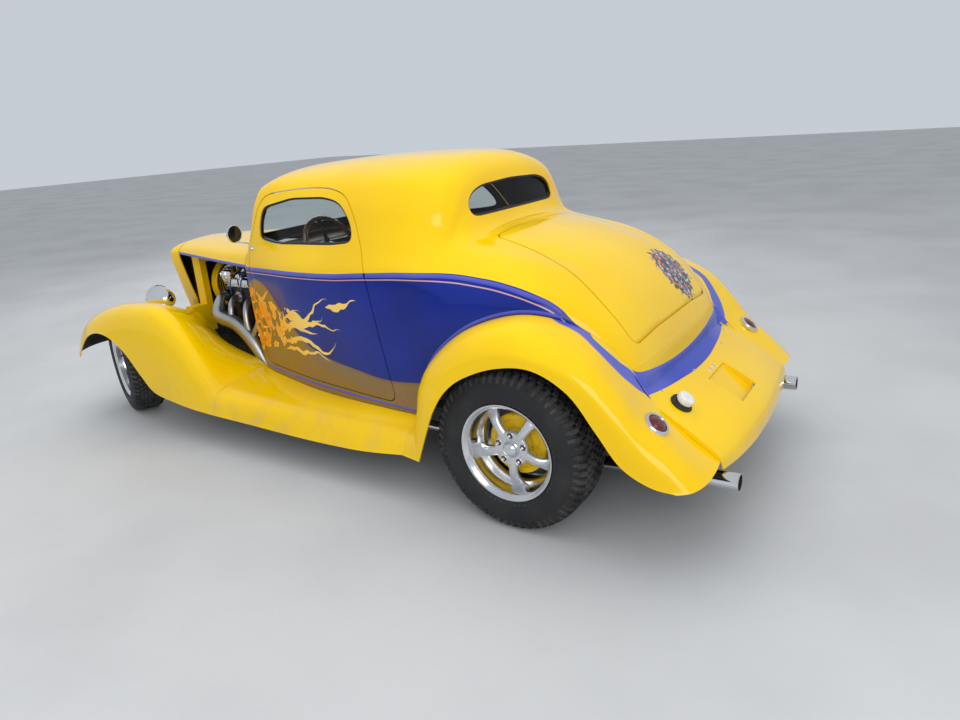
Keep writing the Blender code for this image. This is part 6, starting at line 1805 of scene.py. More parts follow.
SOOT = ((0.006, 0.006, 0.006), (0.030, 0.026, 0.022))
pipe_soot = mottled("pipe_soot", 120, 3, (0.3, 0.8), SOOT, 60, 0.2, 0.75)
for word, side in SIDES:
    bm = bmesh.new()
    places = [(x_at(x), side * y * HALF_WIDTH, z * HEIGHT) for x, y, z in EXHAUST_SHARES]
    places.insert(0, (places[0][0], side * HEAD_SIDE, places[0][2]))
    radii = [PIPE_RADIUS] * 2 + [COLLECTOR_RADIUS] * 3 + [PIPE_RADIUS] * 6 + [TIP_RADIUS] * 2
    swept(bm, places[:6], radii[:6], 32)
    swept(bm, places[5:12], radii[5:12], 32, 1)
    start, end = (Vector(place) for place in places[11:])
    swept(bm, [start, end], [TIP_RADIUS] * 2, 40, 1, steps=1, capped=False)
    swept(bm, [end, end.lerp(start, TIP_DEPTH_SHARE)], [TIP_INSIDE] * 2, 40, 2, steps=1, capped=False)
    way = (end - start).to_track_quat("Z", "Y").to_matrix().to_4x4()
    spun(bm, [(TIP_INSIDE, 0), (TIP_RADIUS, 0)], 40, Matrix.Translation(end) @ way, 1)
    for x, _, z in places[1::-1]:
        spun(bm, COLLAR_PROFILE, 24, side_on(x, side * (HEAD_SIDE + COLLAR_OUT), z, side))
    for i, port in enumerate(PORTS):
        top = 0.690 - 0.004 * i
        line = [
            (port, side * HEAD_SIDE, top),
            (port - 0.004, side * (HEAD_SIDE + 0.050), top - 0.004),
            (port - 0.022, side * (HEAD_SIDE + 0.092), top - 0.045),
            (port - 0.050 + 0.012 * i, side * (HEAD_SIDE + 0.112), top - 0.110),
            (0.870 - 0.020 * i, side * 0.372, 0.535 - 0.030 * i),
            (0.842 - 0.018 * i, side * 0.374, 0.480 - 0.020 * i),
        ]
        swept(bm, line, [PRIMARY_RADIUS] * len(line), 20)
        spun(bm, PORT_PROFILE, 24, side_on(port, side * (HEAD_SIDE + PORT_OUT), top, side))
    pipe_finishes = (coated_steel, chrome, pipe_soot)
    finished("exhaust_pipes_" + word, bm, pipe_finishes, "car_body", "chrome", "exhaust_" + word)

# Engine: a cast iron block and heads with bolts and ribs, oily and dark, with its timing
# cover, mounts and oil filters on it; seen through both open sides.
ENGINE_X = (0.696, 1.222)
ENGINE_Z = (0.402, 0.729)
BLOCK_SIDE = 0.170
HEAD_Z = (0.640, 0.744)
COVER_X = (0.746, 1.172)


def blocked(bm, low, high, bevel, finish=0, at=Matrix()):
    """A box between two corners with its edges rounded off."""
    middle = (Vector(low) + Vector(high)) / 2
    size = Vector(high) - Vector(low)
    made = bmesh.ops.create_cube(bm, size=1)
    for vert in made["verts"]:
        vert.co = at @ (middle + Vector(a * b for a, b in zip(vert.co, size)))
    edges = list({edge for vert in made["verts"] for edge in vert.link_edges})
    faces = list({face for vert in made["verts"] for face in vert.link_faces})
    for face in faces:
        face.material_index = finish
    if bevel:
        how = {"segments": 3, "profile": 0.5, "affect": "EDGES"}
        bmesh.ops.bevel(bm, geom=edges, offset=bevel, material=finish, **how)


start, place, dress = finish_named("engine_iron")
grime = place.noise(16, 5)
engine_iron = dress(
    Base_Color=grime.step(0.35, 0.7).mix(rgb(0.045, 0.045, 0.047), rgb(0.014, 0.012, 0.011)),
    Metallic=0.5,
    Roughness=grime * 0.35 + 0.30,
    Normal=bumped(start, place.noise(320, 3), 0.0012, 0.8),
)
ENGINE_BLOCKS = (
    ((ENGINE_X[0], -BLOCK_SIDE, ENGINE_Z[0] + 0.04), (ENGINE_X[1], BLOCK_SIDE, ENGINE_Z[1]), 0.012),
    ((ENGINE_X[0] + 0.02, -0.120, ENGINE_Z[0]), (ENGINE_X[1] - 0.03, 0.120, ENGINE_Z[0] + 0.06), 0.016),
    ((0.796, -0.286, 0.345), (0.846, 0.286, ENGINE_Z[0] + 0.05), 0.008),
    ((ENGINE_X[1] - 0.012, -0.110, 0.45), (ENGINE_X[1] + 0.010, 0.110, 0.70), 0.010),
)
HEAD_INNER = 0.095
HEAD_BOLTS = 9
HEAD_BOLT_PROFILE = ((0, 0.018), (0.008, 0.018), (0.008, 0.004))
OIL_FILTER = (0.93, 0.002, 0.50)
OIL_FILTER_PROFILE = ((0, 0.030), (0.020, 0.030), (0.024, 0.026), (0.024, -0.004))
bm = bmesh.new()
for low, high, edge in ENGINE_BLOCKS:
    blocked(bm, low, high, edge)
for side in (-1, 1):
    low, high = sorted((side * HEAD_INNER, side * HEAD_SIDE))
    blocked(bm, (COVER_X[0], low, HEAD_Z[0]), (COVER_X[1], high, HEAD_Z[1]), 0.008)
    for i in range(HEAD_BOLTS):
        x = COVER_X[0] + 0.028 + i * (COVER_X[1] - COVER_X[0] - 0.056) / (HEAD_BOLTS - 1)
        spun(bm, HEAD_BOLT_PROFILE, 6, side_on(x, side * (HEAD_SIDE - 0.010), HEAD_Z[0] + 0.018, side))
    for i in range(5):
        x = ENGINE_X[0] + 0.06 + i * 0.10
        low, high = sorted((side * (BLOCK_SIDE - 0.01), side * (BLOCK_SIDE + 0.008)))
        blocked(bm, (x, low, 0.47), (x + 0.014, high, 0.63), 0.004)
    x, out, z = OIL_FILTER
    spun(bm, OIL_FILTER_PROFILE, 24, side_on(x, side * (BLOCK_SIDE + out), z, side))
finished("engine_casting", bm, (engine_iron,), "car_body", "iron", "engine_block")

# Valve covers: pressed and chromed, with rounded shoulders and a raised rib along each,
# bolted down along their flanges, with an oil filler cap at the front.
COVER_Y = 0.185
COVER_HALF = 0.055
COVER_SECTION_SHARES = (
    (-1.0, 0.0), (-1.0, 0.10), (-0.90, 0.12), (-0.88, 0.60), (-0.80, 0.80), (-0.62, 0.90), (-0.24, 0.93),
    (-0.20, 1.0), (0.20, 1.0), (0.24, 0.93), (0.62, 0.90), (0.80, 0.80), (0.88, 0.60), (0.90, 0.12),
    (1.0, 0.10), (1.0, 0.0),
)
COVER_BOLT_SHARES = [0.12 + 0.2533 * i for i in range(4)]
COVER_BOLT_PROFILE = ((0, 0.010), (0.004, 0.010), (0.006, 0.004), (0.008, 0.003), (0.008, 0))
FILLER_SHARES = (0.14, 0.98)
FILLER_PROFILE = (
    (0, 0.020), (0.016, 0.020), (0.020, 0.016), (0.020, 0.006), (0.014, 0.004), (0.014, -0.01),
)
COVER_END_SHARES = ((0.0, 0.90, 0.12), (0.012, 0.90, 0.60), (0.030, 0.97, 0.86), (0.055, 1.0, 1.0))
for word, side in SIDES:
    bm = bmesh.new()
    long = COVER_X[1] - COVER_X[0]
    stations = [(COVER_X[0] + share * long, wide, tall) for share, wide, tall in COVER_END_SHARES]
    stations += [(COVER_X[1] - share * long, wide, tall) for share, wide, tall in reversed(COVER_END_SHARES)]
    rings = []
    for x, wide, tall in stations:
        ring = []
        for across, up in COVER_SECTION_SHARES:
            flange = abs(across) > 0.99
            y = side * COVER_Y + across * COVER_HALF * (1 if flange else wide)
            z = HEAD_Z[1] + up * COVER_HALF * (1 if flange else tall)
            ring.append(bm.verts.new((x, y, z)))
        rings.append(ring)
    joined(bm, rings, capped=True)
    for share in COVER_BOLT_SHARES:
        x = COVER_X[0] + long * share
        for edge in (-0.95, 0.95):
            up = Matrix.Translation((x, side * COVER_Y + edge * COVER_HALF, HEAD_Z[1] + 0.1 * COVER_HALF))
            spun(bm, COVER_BOLT_PROFILE, 12, up)
    x, z = COVER_X[1] - long * FILLER_SHARES[0], HEAD_Z[1] + COVER_HALF * FILLER_SHARES[1]
    spun(bm, FILLER_PROFILE, 28, Matrix.Translation((x, side * COVER_Y, z)))
    finished("cover_" + word, bm, (chrome,), "car_body", "chrome", "valve_cover_" + word)

# Intake: a cast alloy manifold with eight runners under a carburettor and a round chromed
# air cleaner, its paper element showing between the base and the lid.
CLEANER_X = 0.959
CLEANER_Z = 0.849
start, place, dress = finish_named("filter_paper")
bands = {"wave_type": "BANDS", "bands_direction": "X"}
folds_and_shade = start.node("TexWave", bands, {"Vector": place, "Scale": 60.0})
# the paper's colour runs in light and dark bands with its pleats: painted light and shade across the folds
filter_paper = dress(
    Base_Color=folds_and_shade.mix(rgb(0.50, 0.40, 0.26), rgb(0.16, 0.12, 0.07)),
    Roughness=place.noise(40, 2) * 0.1 + 0.8,
    Normal=bumped(start, folds_and_shade, 0.003),
)
cast_alloy = polished("cast_alloy", (0.52, 0.52, 0.53), 0.42, 260)
CLEANER_BASE = (
    (0.040, -0.012), (0.120, -0.006), (0.146, 0.004), (0.150, 0.008), (0.150, 0.011), (0.140, 0.012),
)
CLEANER_PAPER = ((0.1385, 0.010), (0.1385, 0.049))
CLEANER_LID = (
    (0.140, 0.047), (0.1485, 0.048), (0.150, 0.051), (0.147, 0.0545), (0.120, 0.0570), (0.062, 0.0580),
    (0.058, 0.0555), (0.030, 0.0555), (0.027, 0.0575), (0.0, 0.0580),
)
CLEANER_NUT = ((0, 0.0600), (0.005, 0.0600), (0.008, 0.0585), (0.009, 0.055))
INTAKE_BLOCKS = (
    ((0.900, -0.060, 0.770), (1.020, 0.060, 0.842), 0.010),
    ((0.882, -0.075, 0.758), (1.040, 0.075, 0.772), 0.004),
    ((0.800, -0.088, 0.744), (1.118, 0.088, 0.762), 0.006),
    ((1.085, -0.036, 0.744), (1.135, 0.036, 0.800), 0.012),
)
RUNNERS = 4
RUNNER_RADIUS = 0.017
bm = bmesh.new()
cleaner = Matrix.Translation((CLEANER_X, 0, CLEANER_Z))
for profile, turns, finish in (
    (CLEANER_BASE, TURNS, 0), (CLEANER_PAPER, TURNS, 2), (CLEANER_LID, TURNS, 0), (CLEANER_NUT, 16, 0),
):
    spun(bm, profile, turns, cleaner, finish)
for low, high, edge in INTAKE_BLOCKS:
    blocked(bm, low, high, edge, 1)
for side in (-1, 1):
    for i in range(RUNNERS):
        x = 0.815 + i * 0.096
        inner = (0.900 + i * 0.038, side * 0.030, 0.762)
        line = [inner, (x + 0.004, side * 0.062, 0.766), (x, side * 0.100, 0.745)]
        swept(bm, line, [RUNNER_RADIUS] * len(line), 16, 1)
finished("intake_set", bm, (chrome, cast_alloy, filter_paper), "car_body", "polished_alloy", "intake")

# Ignition and drive: distributor with its plug leads, a chromed alternator on its bracket,
# turned pulleys under one ribbed belt, and the top hose, all bolted to the engine.
start, place, dress = finish_named("black_rubber")
bloom = place.noise(30, 3)
black_rubber = dress(
    Base_Color=bloom.step(0.4, 0.8).mix(rgb(0.010, 0.010, 0.011), rgb(0.040, 0.038, 0.036)),
    Roughness=bloom * 0.3 + 0.40,
    Normal=bumped(start, place.noise(200, 2), 0.0006),
)
LEAD = ((0.02, 0.06, 0.42), (0.015, 0.04, 0.26))
lead_blue = mottled("lead_blue", 50, 2, (0.3, 0.7), LEAD, 80, 0.2, 0.30)
PULLEY_PROFILE_SHARES = (
    (0.0, 0.70), (0.25, 0.70), (0.32, 0.52), (0.80, 0.52), (0.86, 1.0), (1.0, 1.0), (1.0, 0.88),
    (0.93, 0.80), (0.93, 0.20), (1.0, 0.12), (1.0, 0.0), (0.0, 0.0),
)
PULLEY_BOLT_PROFILE = ((0, 0.006), (0.004, 0.006), (0.004, -0.002))
PULLEY_SHAFT = ((0.020, 0), (0.020, -0.03))
PULLEYS = ((0.0, 0.500, 0.080), (0.0, 0.690, 0.062), (0.170, 0.800, 0.036), (-0.165, 0.770, 0.050))
PULLEY_X = 1.240
PULLEY_WIDE = 0.026
BELT_PLACES = (
    (0.170, 0.8365), (-0.150, 0.8190), (-0.2150, 0.7600), (-0.0795, 0.4800), (0.0, 0.4185),
    (0.0805, 0.4900), (0.2060, 0.7930),
)
BELT_MIDDLE = 0.63
BELT_SECTION = ((0.004, 1.0), (0.022, 1.0), (0.022, 0.975), (0.004, 0.975))
ALTERNATOR = (1.130, 0.170, 0.800)
ALTERNATOR_PROFILE = (
    (0.0, -0.004), (0.030, -0.004), (0.036, 0.0), (0.058, 0.008), (0.062, 0.018), (0.062, 0.046),
    (0.058, 0.050), (0.062, 0.054), (0.062, 0.084), (0.056, 0.094), (0.028, 0.100), (0.0, 0.100),
)
ALTERNATOR_FINS = 18
BRACKET = ((1.18, 0.10, 0.748), (1.18, 0.135, 0.760), (1.18, 0.155, 0.775))
BRACKET_RADIUS = 0.010
DISTRIBUTOR = (0.752, 0, 0.744)
DISTRIBUTOR_PROFILE = (
    (0.0, 0.094), (0.030, 0.092), (0.042, 0.082), (0.046, 0.060), (0.046, 0.048), (0.030, 0.044),
    (0.022, 0.0),
)
LEADS = 8
LEAD_RADIUS = 0.0042
TOWER_RING = 0.030
BOOT_PROFILE = ((0, 0.034), (0.006, 0.032), (0.0085, 0.004), (0.0085, 0))
HOSE_PLACES = (
    (1.110, 0.0, 0.790), (1.150, -0.010, 0.815), (1.230, -0.040, 0.842), (1.330, -0.080, 0.872),
    (1.425, -0.110, 0.880),
)
HOSE_RADIUS = 0.020
CLAMP_RADIUS = 0.0218
CLAMP_ENDS = (-0.004, 0.008)
forward = Matrix.Rotation(math.pi / 2, 4, "Y")
bm = bmesh.new()
for y, z, radius in PULLEYS:
    at = Matrix.Translation((PULLEY_X, y, z)) @ forward
    spun(bm, [(r * radius, share * PULLEY_WIDE) for r, share in PULLEY_PROFILE_SHARES], 64, at, 0)
    for angle in round_turns(4):
        bolt = Matrix.Translation((radius * 0.28, 0, PULLEY_WIDE * 0.5))
        spun(bm, PULLEY_BOLT_PROFILE, 6, at @ Matrix.Rotation(angle, 4, "Z") @ bolt, 0)
    spun(bm, PULLEY_SHAFT, 20, at, 1)
rings = []
for y, z in BELT_PLACES:
    ring = []
    for x, stretch in BELT_SECTION:
        spot = (PULLEY_X + x, y * stretch, BELT_MIDDLE + (z - BELT_MIDDLE) * stretch)
        ring.append(bm.verts.new(spot))
    rings.append(ring)
joined(bm, rings, 2, around=True, loop=True)
alternator = Matrix.Translation(ALTERNATOR) @ forward
spun(bm, ALTERNATOR_PROFILE, 64, alternator, 0)
for angle in round_turns(ALTERNATOR_FINS):
    fin = alternator @ Matrix.Rotation(angle, 4, "Z")
    blocked(bm, (0.054, -0.002, 0.012), (0.0635, 0.002, 0.092), 0, 0, fin)
swept(bm, BRACKET, [BRACKET_RADIUS] * len(BRACKET), 12, 0)
spun(bm, DISTRIBUTOR_PROFILE, 32, Matrix.Translation(DISTRIBUTOR), 3)
for i, angle in enumerate(round_turns(LEADS, 0.5)):
    side = 1 if i % 2 else -1
    around = Vector((TOWER_RING * math.cos(angle), TOWER_RING * math.sin(angle), 0.088))
    top = Vector(DISTRIBUTOR) + around
    port = COVER_X[0] + 0.060 + (i // 2) * 0.100
    line = [
        top,
        top + Vector((0, 0, 0.022)),
        Vector((0.780, side * 0.100, 0.838)),
        Vector((port - 0.030, side * 0.150, 0.812 + 0.004 * (i // 2))),
        Vector((port - 0.004, side * 0.238, 0.806)),
        Vector((port, side * 0.262, 0.760)),
        Vector((port, side * 0.262, 0.715)),
    ]
    swept(bm, line, [LEAD_RADIUS] * len(line), 8, 4)
    spun(bm, BOOT_PROFILE, 12, Matrix.Translation((port, side * 0.262, 0.700)), 2)
swept(bm, HOSE_PLACES, [HOSE_RADIUS] * len(HOSE_PLACES), 20, 2)
for at in (HOSE_PLACES[0], HOSE_PLACES[-1]):
    clamp = [Vector(at) + Vector((shift, 0, 0)) for shift in CLAMP_ENDS]
    swept(bm, clamp, [CLAMP_RADIUS] * 2, 20, 0, steps=1)
dressing_finishes = (chrome, cast_alloy, black_rubber, black_coat, lead_blue)
finished("engine_dressing", bm, dressing_finishes, "car_body", "chrome")

# Radiator and fan: a dark finned core between painted posts, with an electric fan whose
# ring is painted to match behind a guard of concentric wires.
start, place, dress = finish_named("radiator_fins")
_, y, z = place.parts()
rows = (z * 900).wave() * 0.5 + 0.5
tubes = (y * 420).wave() * 0.5 + 0.5
# the core is lighter where fin rows and tubes cross and darker between them: painted light and shade of the
# fins
radiator_fins = dress(
    Base_Color=(rows * tubes).mix(rgb(0.012, 0.012, 0.013), rgb(0.070, 0.070, 0.072)),
    Metallic=0.4,
    Roughness=place.noise(30, 3) * 0.3 + 0.45,
    Normal=bumped(start, rows * 0.5 + tubes * 0.5, 0.004),
)
FAN_X = 1.396
FAN_Z = 0.714
GUARD_RINGS = 8
GUARD_SPOKES = 6
BLADES = 7
FAN_RING = (
    (0.158, -0.025), (0.158, 0.018), (0.160, 0.024), (0.1665, 0.025), (0.170, 0.022), (0.170, 0.016),
    (0.1665, 0.014), (0.1665, -0.014), (0.170, -0.016), (0.170, -0.025),
)
GUARD_WIRE = 0.0014
GUARD_TURNS = (0, 1.26, 2.51, 3.77, 5.03)
GUARD_INNER = 0.040
GUARD_PITCH = 0.016
GUARD_OUT = 0.0165
SPOKE_WIRE = 0.0026
SPOKE_OUT = 0.0190
SPOKE_RADII = (0.030, 0.100, 0.161)
MOTOR_PROFILE = ((0, 0.023), (0.026, 0.023), (0.033, 0.018), (0.034, -0.02), (0, -0.02))
BLADE_RADII = (0.030, 0.070, 0.110, 0.150)
BLADE_SWEEP = 2.2
BLADE_SECTION = ((-0.026, -0.012), (0.026, 0.006), (0.026, 0.0085), (-0.026, -0.0095))
BLADE_SPREAD = (0.6, 5)
rearward = Matrix.Translation((FAN_X, 0, FAN_Z)) @ Matrix.Rotation(-math.pi / 2, 4, "Y")
bm = bmesh.new()
spun(bm, FAN_RING, TURNS, rearward, 0, closed=True)
for i in range(GUARD_RINGS):
    r = GUARD_INNER + i * GUARD_PITCH
    wire = [(r + GUARD_WIRE * math.cos(a), GUARD_OUT + GUARD_WIRE * math.sin(a)) for a in GUARD_TURNS]
    spun(bm, wire, 72, rearward, 0, closed=True)
for angle in round_turns(GUARD_SPOKES):
    way = Vector((math.cos(angle), math.sin(angle), 0))
    line = [rearward @ (way * r + Vector((0, 0, SPOKE_OUT))) for r in SPOKE_RADII]
    swept(bm, line, [SPOKE_WIRE] * len(line), 8, 0)
spun(bm, MOTOR_PROFILE, 40, rearward, 1)
for start_angle in round_turns(BLADES):
    rings = []
    for r in BLADE_RADII:
        sweep = start_angle + (r - BLADE_RADII[0]) * BLADE_SWEEP
        ring = []
        for across, up in BLADE_SECTION:
            angle = sweep + across * (BLADE_SPREAD[0] + r * BLADE_SPREAD[1]) / r
            ring.append(bm.verts.new(rearward @ Vector((r * math.cos(angle), r * math.sin(angle), up))))
        rings.append(ring)
    joined(bm, rings, 1, around=True)
finished("fan_set", bm, (yellow_paint, black_coat), "car_body", "yellow_paint", "fan_shroud")

# Chassis and running gear below: black coated rails, beam and axle housing, dusty where
# the wheels throw dirt, with bare steel hinge rod and painted radiator posts.
start, place, dress = finish_named("chassis_black")
dust = place.noise(8, 5)
chassis_black = dress(
    Base_Color=dust.step(0.45, 0.8).mix(rgb(0.014, 0.014, 0.015), rgb(0.085, 0.075, 0.062)),
    Roughness=dust * 0.5 + 0.25,
    Normal=bumped(start, place.noise(220, 3), 0.0008, 0.7),
)
UNDER_FINISHES = (
    ("frame", chassis_black), ("floor_pan", chassis_black), ("firewall", yellow_paint),
    ("rear_axle", chassis_black), ("front_axle", chassis_black), ("knuckle_left", chassis_black),
    ("knuckle_right", chassis_black),
    ("hood_hinge", chrome), ("radiator", radiator_fins), ("radiator_support", yellow_paint),
    ("grille_insert", black_coat),
)
for name, finish in UNDER_FINISHES:
    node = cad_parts[name]
    node.data.materials.clear()
    node.data.materials.append(finish)

# Small fittings outside: tail lamps with bright bezels round ribbed dark red lenses, a white
# filler cap on a black grommet, plate clips and screws, each seated on the sheet it is on.
TAIL_LAMP_SHARES = (-0.200, 0.797, 0.3530)
TAIL_LAMP_FACING = (-0.62, 0.05, 0.78)
BEZEL_PROFILE = (
    (0.0505, -0.006), (0.0520, 0.002), (0.0518, 0.007), (0.0490, 0.0125), (0.0450, 0.0150),
    (0.0400, 0.0140), (0.0375, 0.0100), (0.0370, 0.0060),
)
LENS_PROFILE = (
    (0.0372, 0.0085), (0.0345, 0.0125), (0.0325, 0.0130), (0.0315, 0.0145), (0.0285, 0.0160),
    (0.0270, 0.0160), (0.0255, 0.0178), (0.0200, 0.0196), (0.0130, 0.0208), (0.0115, 0.0200),
    (0.0100, 0.0212), (0.0, 0.0218),
)
start, place, dress = finish_named("red_lens")
ribs = (place.parts()[1] * 900).wave() * 0.5 + 0.5
red_lens = dress(
    Base_Color=place.noise(60, 2).step(0.3, 0.7).mix(rgb(0.15, 0.003, 0.007), rgb(0.07, 0.001, 0.004)),
    Roughness=place.noise(40, 2) * 0.06 + 0.06,
    Coat_Weight=0.5,
    Normal=bumped(start, ribs, 0.0010, 0.5),
)
WHITE = ((0.80, 0.80, 0.78), (0.66, 0.65, 0.62))
white_plastic = mottled("white_plastic", 30, 3, (0.3, 0.8), WHITE, 60, 0.15, 0.22)


def aimed(spot, facing):
    """A place on a sheet with local +Z along the way it faces."""
    turn = Vector(facing).to_track_quat("Z", "Y").to_matrix().to_4x4()
    return Matrix.Translation(spot) @ turn


for word, side in SIDES:
    x, y, z = TAIL_LAMP_SHARES
    spot = (x_at(x), side * y * HALF_WIDTH, z * HEIGHT)
    at = aimed(spot, (TAIL_LAMP_FACING[0], side * TAIL_LAMP_FACING[1], TAIL_LAMP_FACING[2]))
    bm = bmesh.new()
    spun(bm, BEZEL_PROFILE, 64, at, 0)
    spun(bm, LENS_PROFILE, 64, at, 1)
    finished("tail_lamp_" + word, bm, (chrome, red_lens), "car_body", "red_lens", "tail_light_" + word)
FUEL_CAP_SHARES = (-0.2035, 0.500, 0.3440)
FUEL_CAP_FACING = (-0.60, 0.0, 0.80)
GROMMET_PROFILE = (
    (0.0455, -0.006), (0.0460, 0.004), (0.0440, 0.009), (0.0390, 0.0115), (0.0330, 0.0125),
    (0.0270, 0.0120),
)
FUEL_CAP_PROFILE = (
    (0.0250, 0.008), (0.0260, 0.016), (0.0330, 0.0185), (0.0340, 0.0215), (0.0340, 0.0370),
    (0.0325, 0.0410), (0.0290, 0.0435), (0.0180, 0.0448), (0.0, 0.0450),
)
CLIP_SCREW_PROFILE = ((0, 0.002), (0.003, 0.0015), (0.0045, 0))
PAN_SCREWS = ((-1.698, 0.438), (-1.732, -0.297), (-1.729, 0.122), (-1.698, -0.470))
PAN_SCREW_PROFILE = ((0, 0.0035), (0.003, 0.003), (0.0055, 0.0015), (0.006, -0.001))
x, y, z = FUEL_CAP_SHARES
at = aimed((x_at(x), y * HALF_WIDTH, z * HEIGHT), FUEL_CAP_FACING)
bm = bmesh.new()
spun(bm, GROMMET_PROFILE, 64, at, 0)
spun(bm, FUEL_CAP_PROFILE, 64, at, 1)
finished("filler_cap", bm, (black_rubber, white_plastic), "car_body", "black_plastic", "fuel_cap")
bm = bmesh.new()
plate_at = aimed((plate[0], 0, plate[1]), (down[1], 0, -down[0]))
for side in (-1, 1):
    low, high = (-0.036, side * 0.105 - 0.010, -0.001), (0.036, side * 0.105 + 0.010, 0.003)
    blocked(bm, low, high, 0.001, 1, plate_at)
    for end in (-1, 1):
        low = (end * 0.026 - 0.008, side * 0.103 - 0.011, 0.002)
        high = (end * 0.026 + 0.008, side * 0.103 + 0.011, 0.008)
        blocked(bm, low, high, 0.001, 0, plate_at)
        screw = plate_at @ Matrix.Translation((end * 0.026, side * 0.100, 0.008))
        spun(bm, CLIP_SCREW_PROFILE, 16, screw, 0)
finished("plate_clips", bm, (chrome, black_rubber), "car_body", "chrome")
bm = bmesh.new()
for x, y in PAN_SCREWS:
    hit, normal = met(pan_tree, (x, y, OUTSIDE), (0, 0, -1))
    if hit:
        spun(bm, PAN_SCREW_PROFILE, 20, aimed(hit, normal))
finished("pan_screws", bm, (chrome,), "car_body", "chrome")

# Headlights: spun and chromed bowls on short posts, each with a rim ring, a clear ribbed
# lens and a bright reflector with its bulb.
HEADLAMP_SHARES = (0.966, 0.505, 0.4575)
LAMP_BACK = 0.075
BOWL_PROFILE = (
    (0.0, 0.0), (0.018, 0.002), (0.036, 0.010), (0.0500, 0.026), (0.0620, 0.050), (0.0715, 0.080),
    (0.0780, 0.110), (0.0805, 0.128), (0.0845, 0.130), (0.0850, 0.137), (0.0835, 0.146),
    (0.0790, 0.1485), (0.0765, 0.145),
)
REFLECTOR_PROFILE = (
    (0.0770, 0.140), (0.0640, 0.110), (0.0480, 0.084), (0.0280, 0.066), (0.010, 0.060), (0.0, 0.060),
)
BULB_PROFILE = ((0, 0.096), (0.007, 0.092), (0.010, 0.084), (0.010, 0.062))
POST_LEVELS = (-0.095, -0.085, -0.055)
POST_RADII = (0.019, 0.015, 0.013)
LENS_FRONT = ((0.0780, 0.1430), (0.0600, 0.1470), (0.0380, 0.1490), (0.0180, 0.1497), (0.0, 0.1500))
start, place, dress = finish_named("lamp_glass")
flutes = (place.parts()[1] * 700).wave() * 0.5 + 0.5
lamp_glass = dress(
    Base_Color=rgb(0.93, 0.96, 0.97),
    Roughness=place.noise(20, 2) * 0.03,
    Transmission_Weight=1.0,
    IOR=1.3,
    Normal=bumped(start, flutes, 0.0008, 0.4),
)
for word, side in SIDES:
    x, y, z = HEADLAMP_SHARES
    middle = Vector((x_at(x), side * y * HALF_WIDTH, z * HEIGHT))
    at = Matrix.Translation(middle - Vector((LAMP_BACK, 0, 0))) @ forward
    bm = bmesh.new()
    spun(bm, BOWL_PROFILE, 72, at, 0)
    spun(bm, REFLECTOR_PROFILE, 48, at, 0)
    spun(bm, BULB_PROFILE, 24, at, 2)
    spun(bm, LENS_FRONT, 64, at, 1)
    swept(bm, [middle + Vector((0, 0, level)) for level in POST_LEVELS], POST_RADII, 24, 0)
    lamp_finishes = (chrome, lamp_glass, white_plastic)
    finished("headlamp_" + word, bm, lamp_finishes, "car_body", "chrome", "headlight_" + word)

# Door mirrors: round chromed heads on slim bent arms screwed to the doors, their dark
# silvered glass facing back.
MIRROR_SHARES = (0.611, 0.690, 0.768)
MIRROR_FOOT_SHARES = (0.5975, 0.590, 0.7075)
MIRROR_BACK_PROFILE = (
    (0.0, 0.0145), (0.016, 0.0135), (0.030, 0.0095), (0.040, 0.0035), (0.0455, -0.005), (0.0460, -0.011),
    (0.0450, -0.0145), (0.0430, -0.0150), (0.0415, -0.0130),
)
MIRROR_FACE = ((0.0420, -0.0132), (0.0, -0.0132))
MIRROR_ARM_RADII = (0.0042, 0.0040, 0.0040, 0.0045)
MIRROR_BASE_PROFILE = ((0, 0.012), (0.007, 0.0105), (0.0105, 0.006), (0.0115, 0.001), (0.0115, -0.003))
SILVERED = ((0.010, 0.011, 0.012), (0.020, 0.021, 0.023))
mirror_glass = mottled("mirror_glass", 40, 2, (0.3, 0.8), SILVERED, 60, 0.04, 0.03, Metallic=0.1)
for word, side in SIDES:
    spots = (MIRROR_SHARES, MIRROR_FOOT_SHARES)
    head, foot = (Vector((x_at(x), side * y * HALF_WIDTH, z * HEIGHT)) for x, y, z in spots)
    bm = bmesh.new()
    at = Matrix.Translation(head) @ forward
    spun(bm, MIRROR_BACK_PROFILE, 56, at, 0)
    spun(bm, MIRROR_FACE, 56, at, 1)
    bend = head.lerp(foot, 0.72) + Vector((0, 0, 0.006))
    arm = [foot, bend, head + Vector((0.006, 0, -0.040)), head + Vector((0.010, 0, -0.018))]
    swept(bm, arm, MIRROR_ARM_RADII, 14, 0)
    hit, normal, _, _ = body_tree.find_nearest(foot)
    spun(bm, MIRROR_BASE_PROFILE, 28, aimed(hit, normal), 0)
    swept(bm, [hit + normal * 0.006, foot], MIRROR_ARM_RADII[:1] * 2, 14, 0, steps=1)
    mirror_finishes = (chrome, mirror_glass)
    finished("mirror_set_" + word, bm, mirror_finishes, f"door_{word}_body", "chrome", "mirror_" + word)

# Splash aprons: black sheets between the rails and the fenders that close the engine bay below,
# bent up along their edges. Their inner part, reaching in nearly to the block, is painted shade:
# a dark sheet where the bay below is only in shadow.
APRON_X = (0.620, 1.290)
APRON_STEPS = 12
APRON_CLIMB = 0.02
APRON_SHEET = 0.0015
# the places from the rail inwards carry the sheet on as painted shade under the engine
APRON_LEVELS = (
    (0.185, 0.398), (0.300, 0.403), (0.344, 0.400), (0.352, 0.340), (0.395, 0.285), (0.436, 0.258),
)
for word, side in SIDES:
    bm = bmesh.new()
    rings = []
    for i in range(APRON_STEPS + 1):
        share = i / APRON_STEPS
        x = APRON_X[0] + (APRON_X[1] - APRON_X[0]) * share
        rings.append([bm.verts.new((x, side * y, z + APRON_CLIMB * share)) for y, z in APRON_LEVELS])
    joined(bm, rings)
    bmesh.ops.solidify(bm, geom=list(bm.faces), thickness=APRON_SHEET)
    finished("splash_apron_shade_" + word, bm, (chassis_black,), "car_body", "black_plastic")

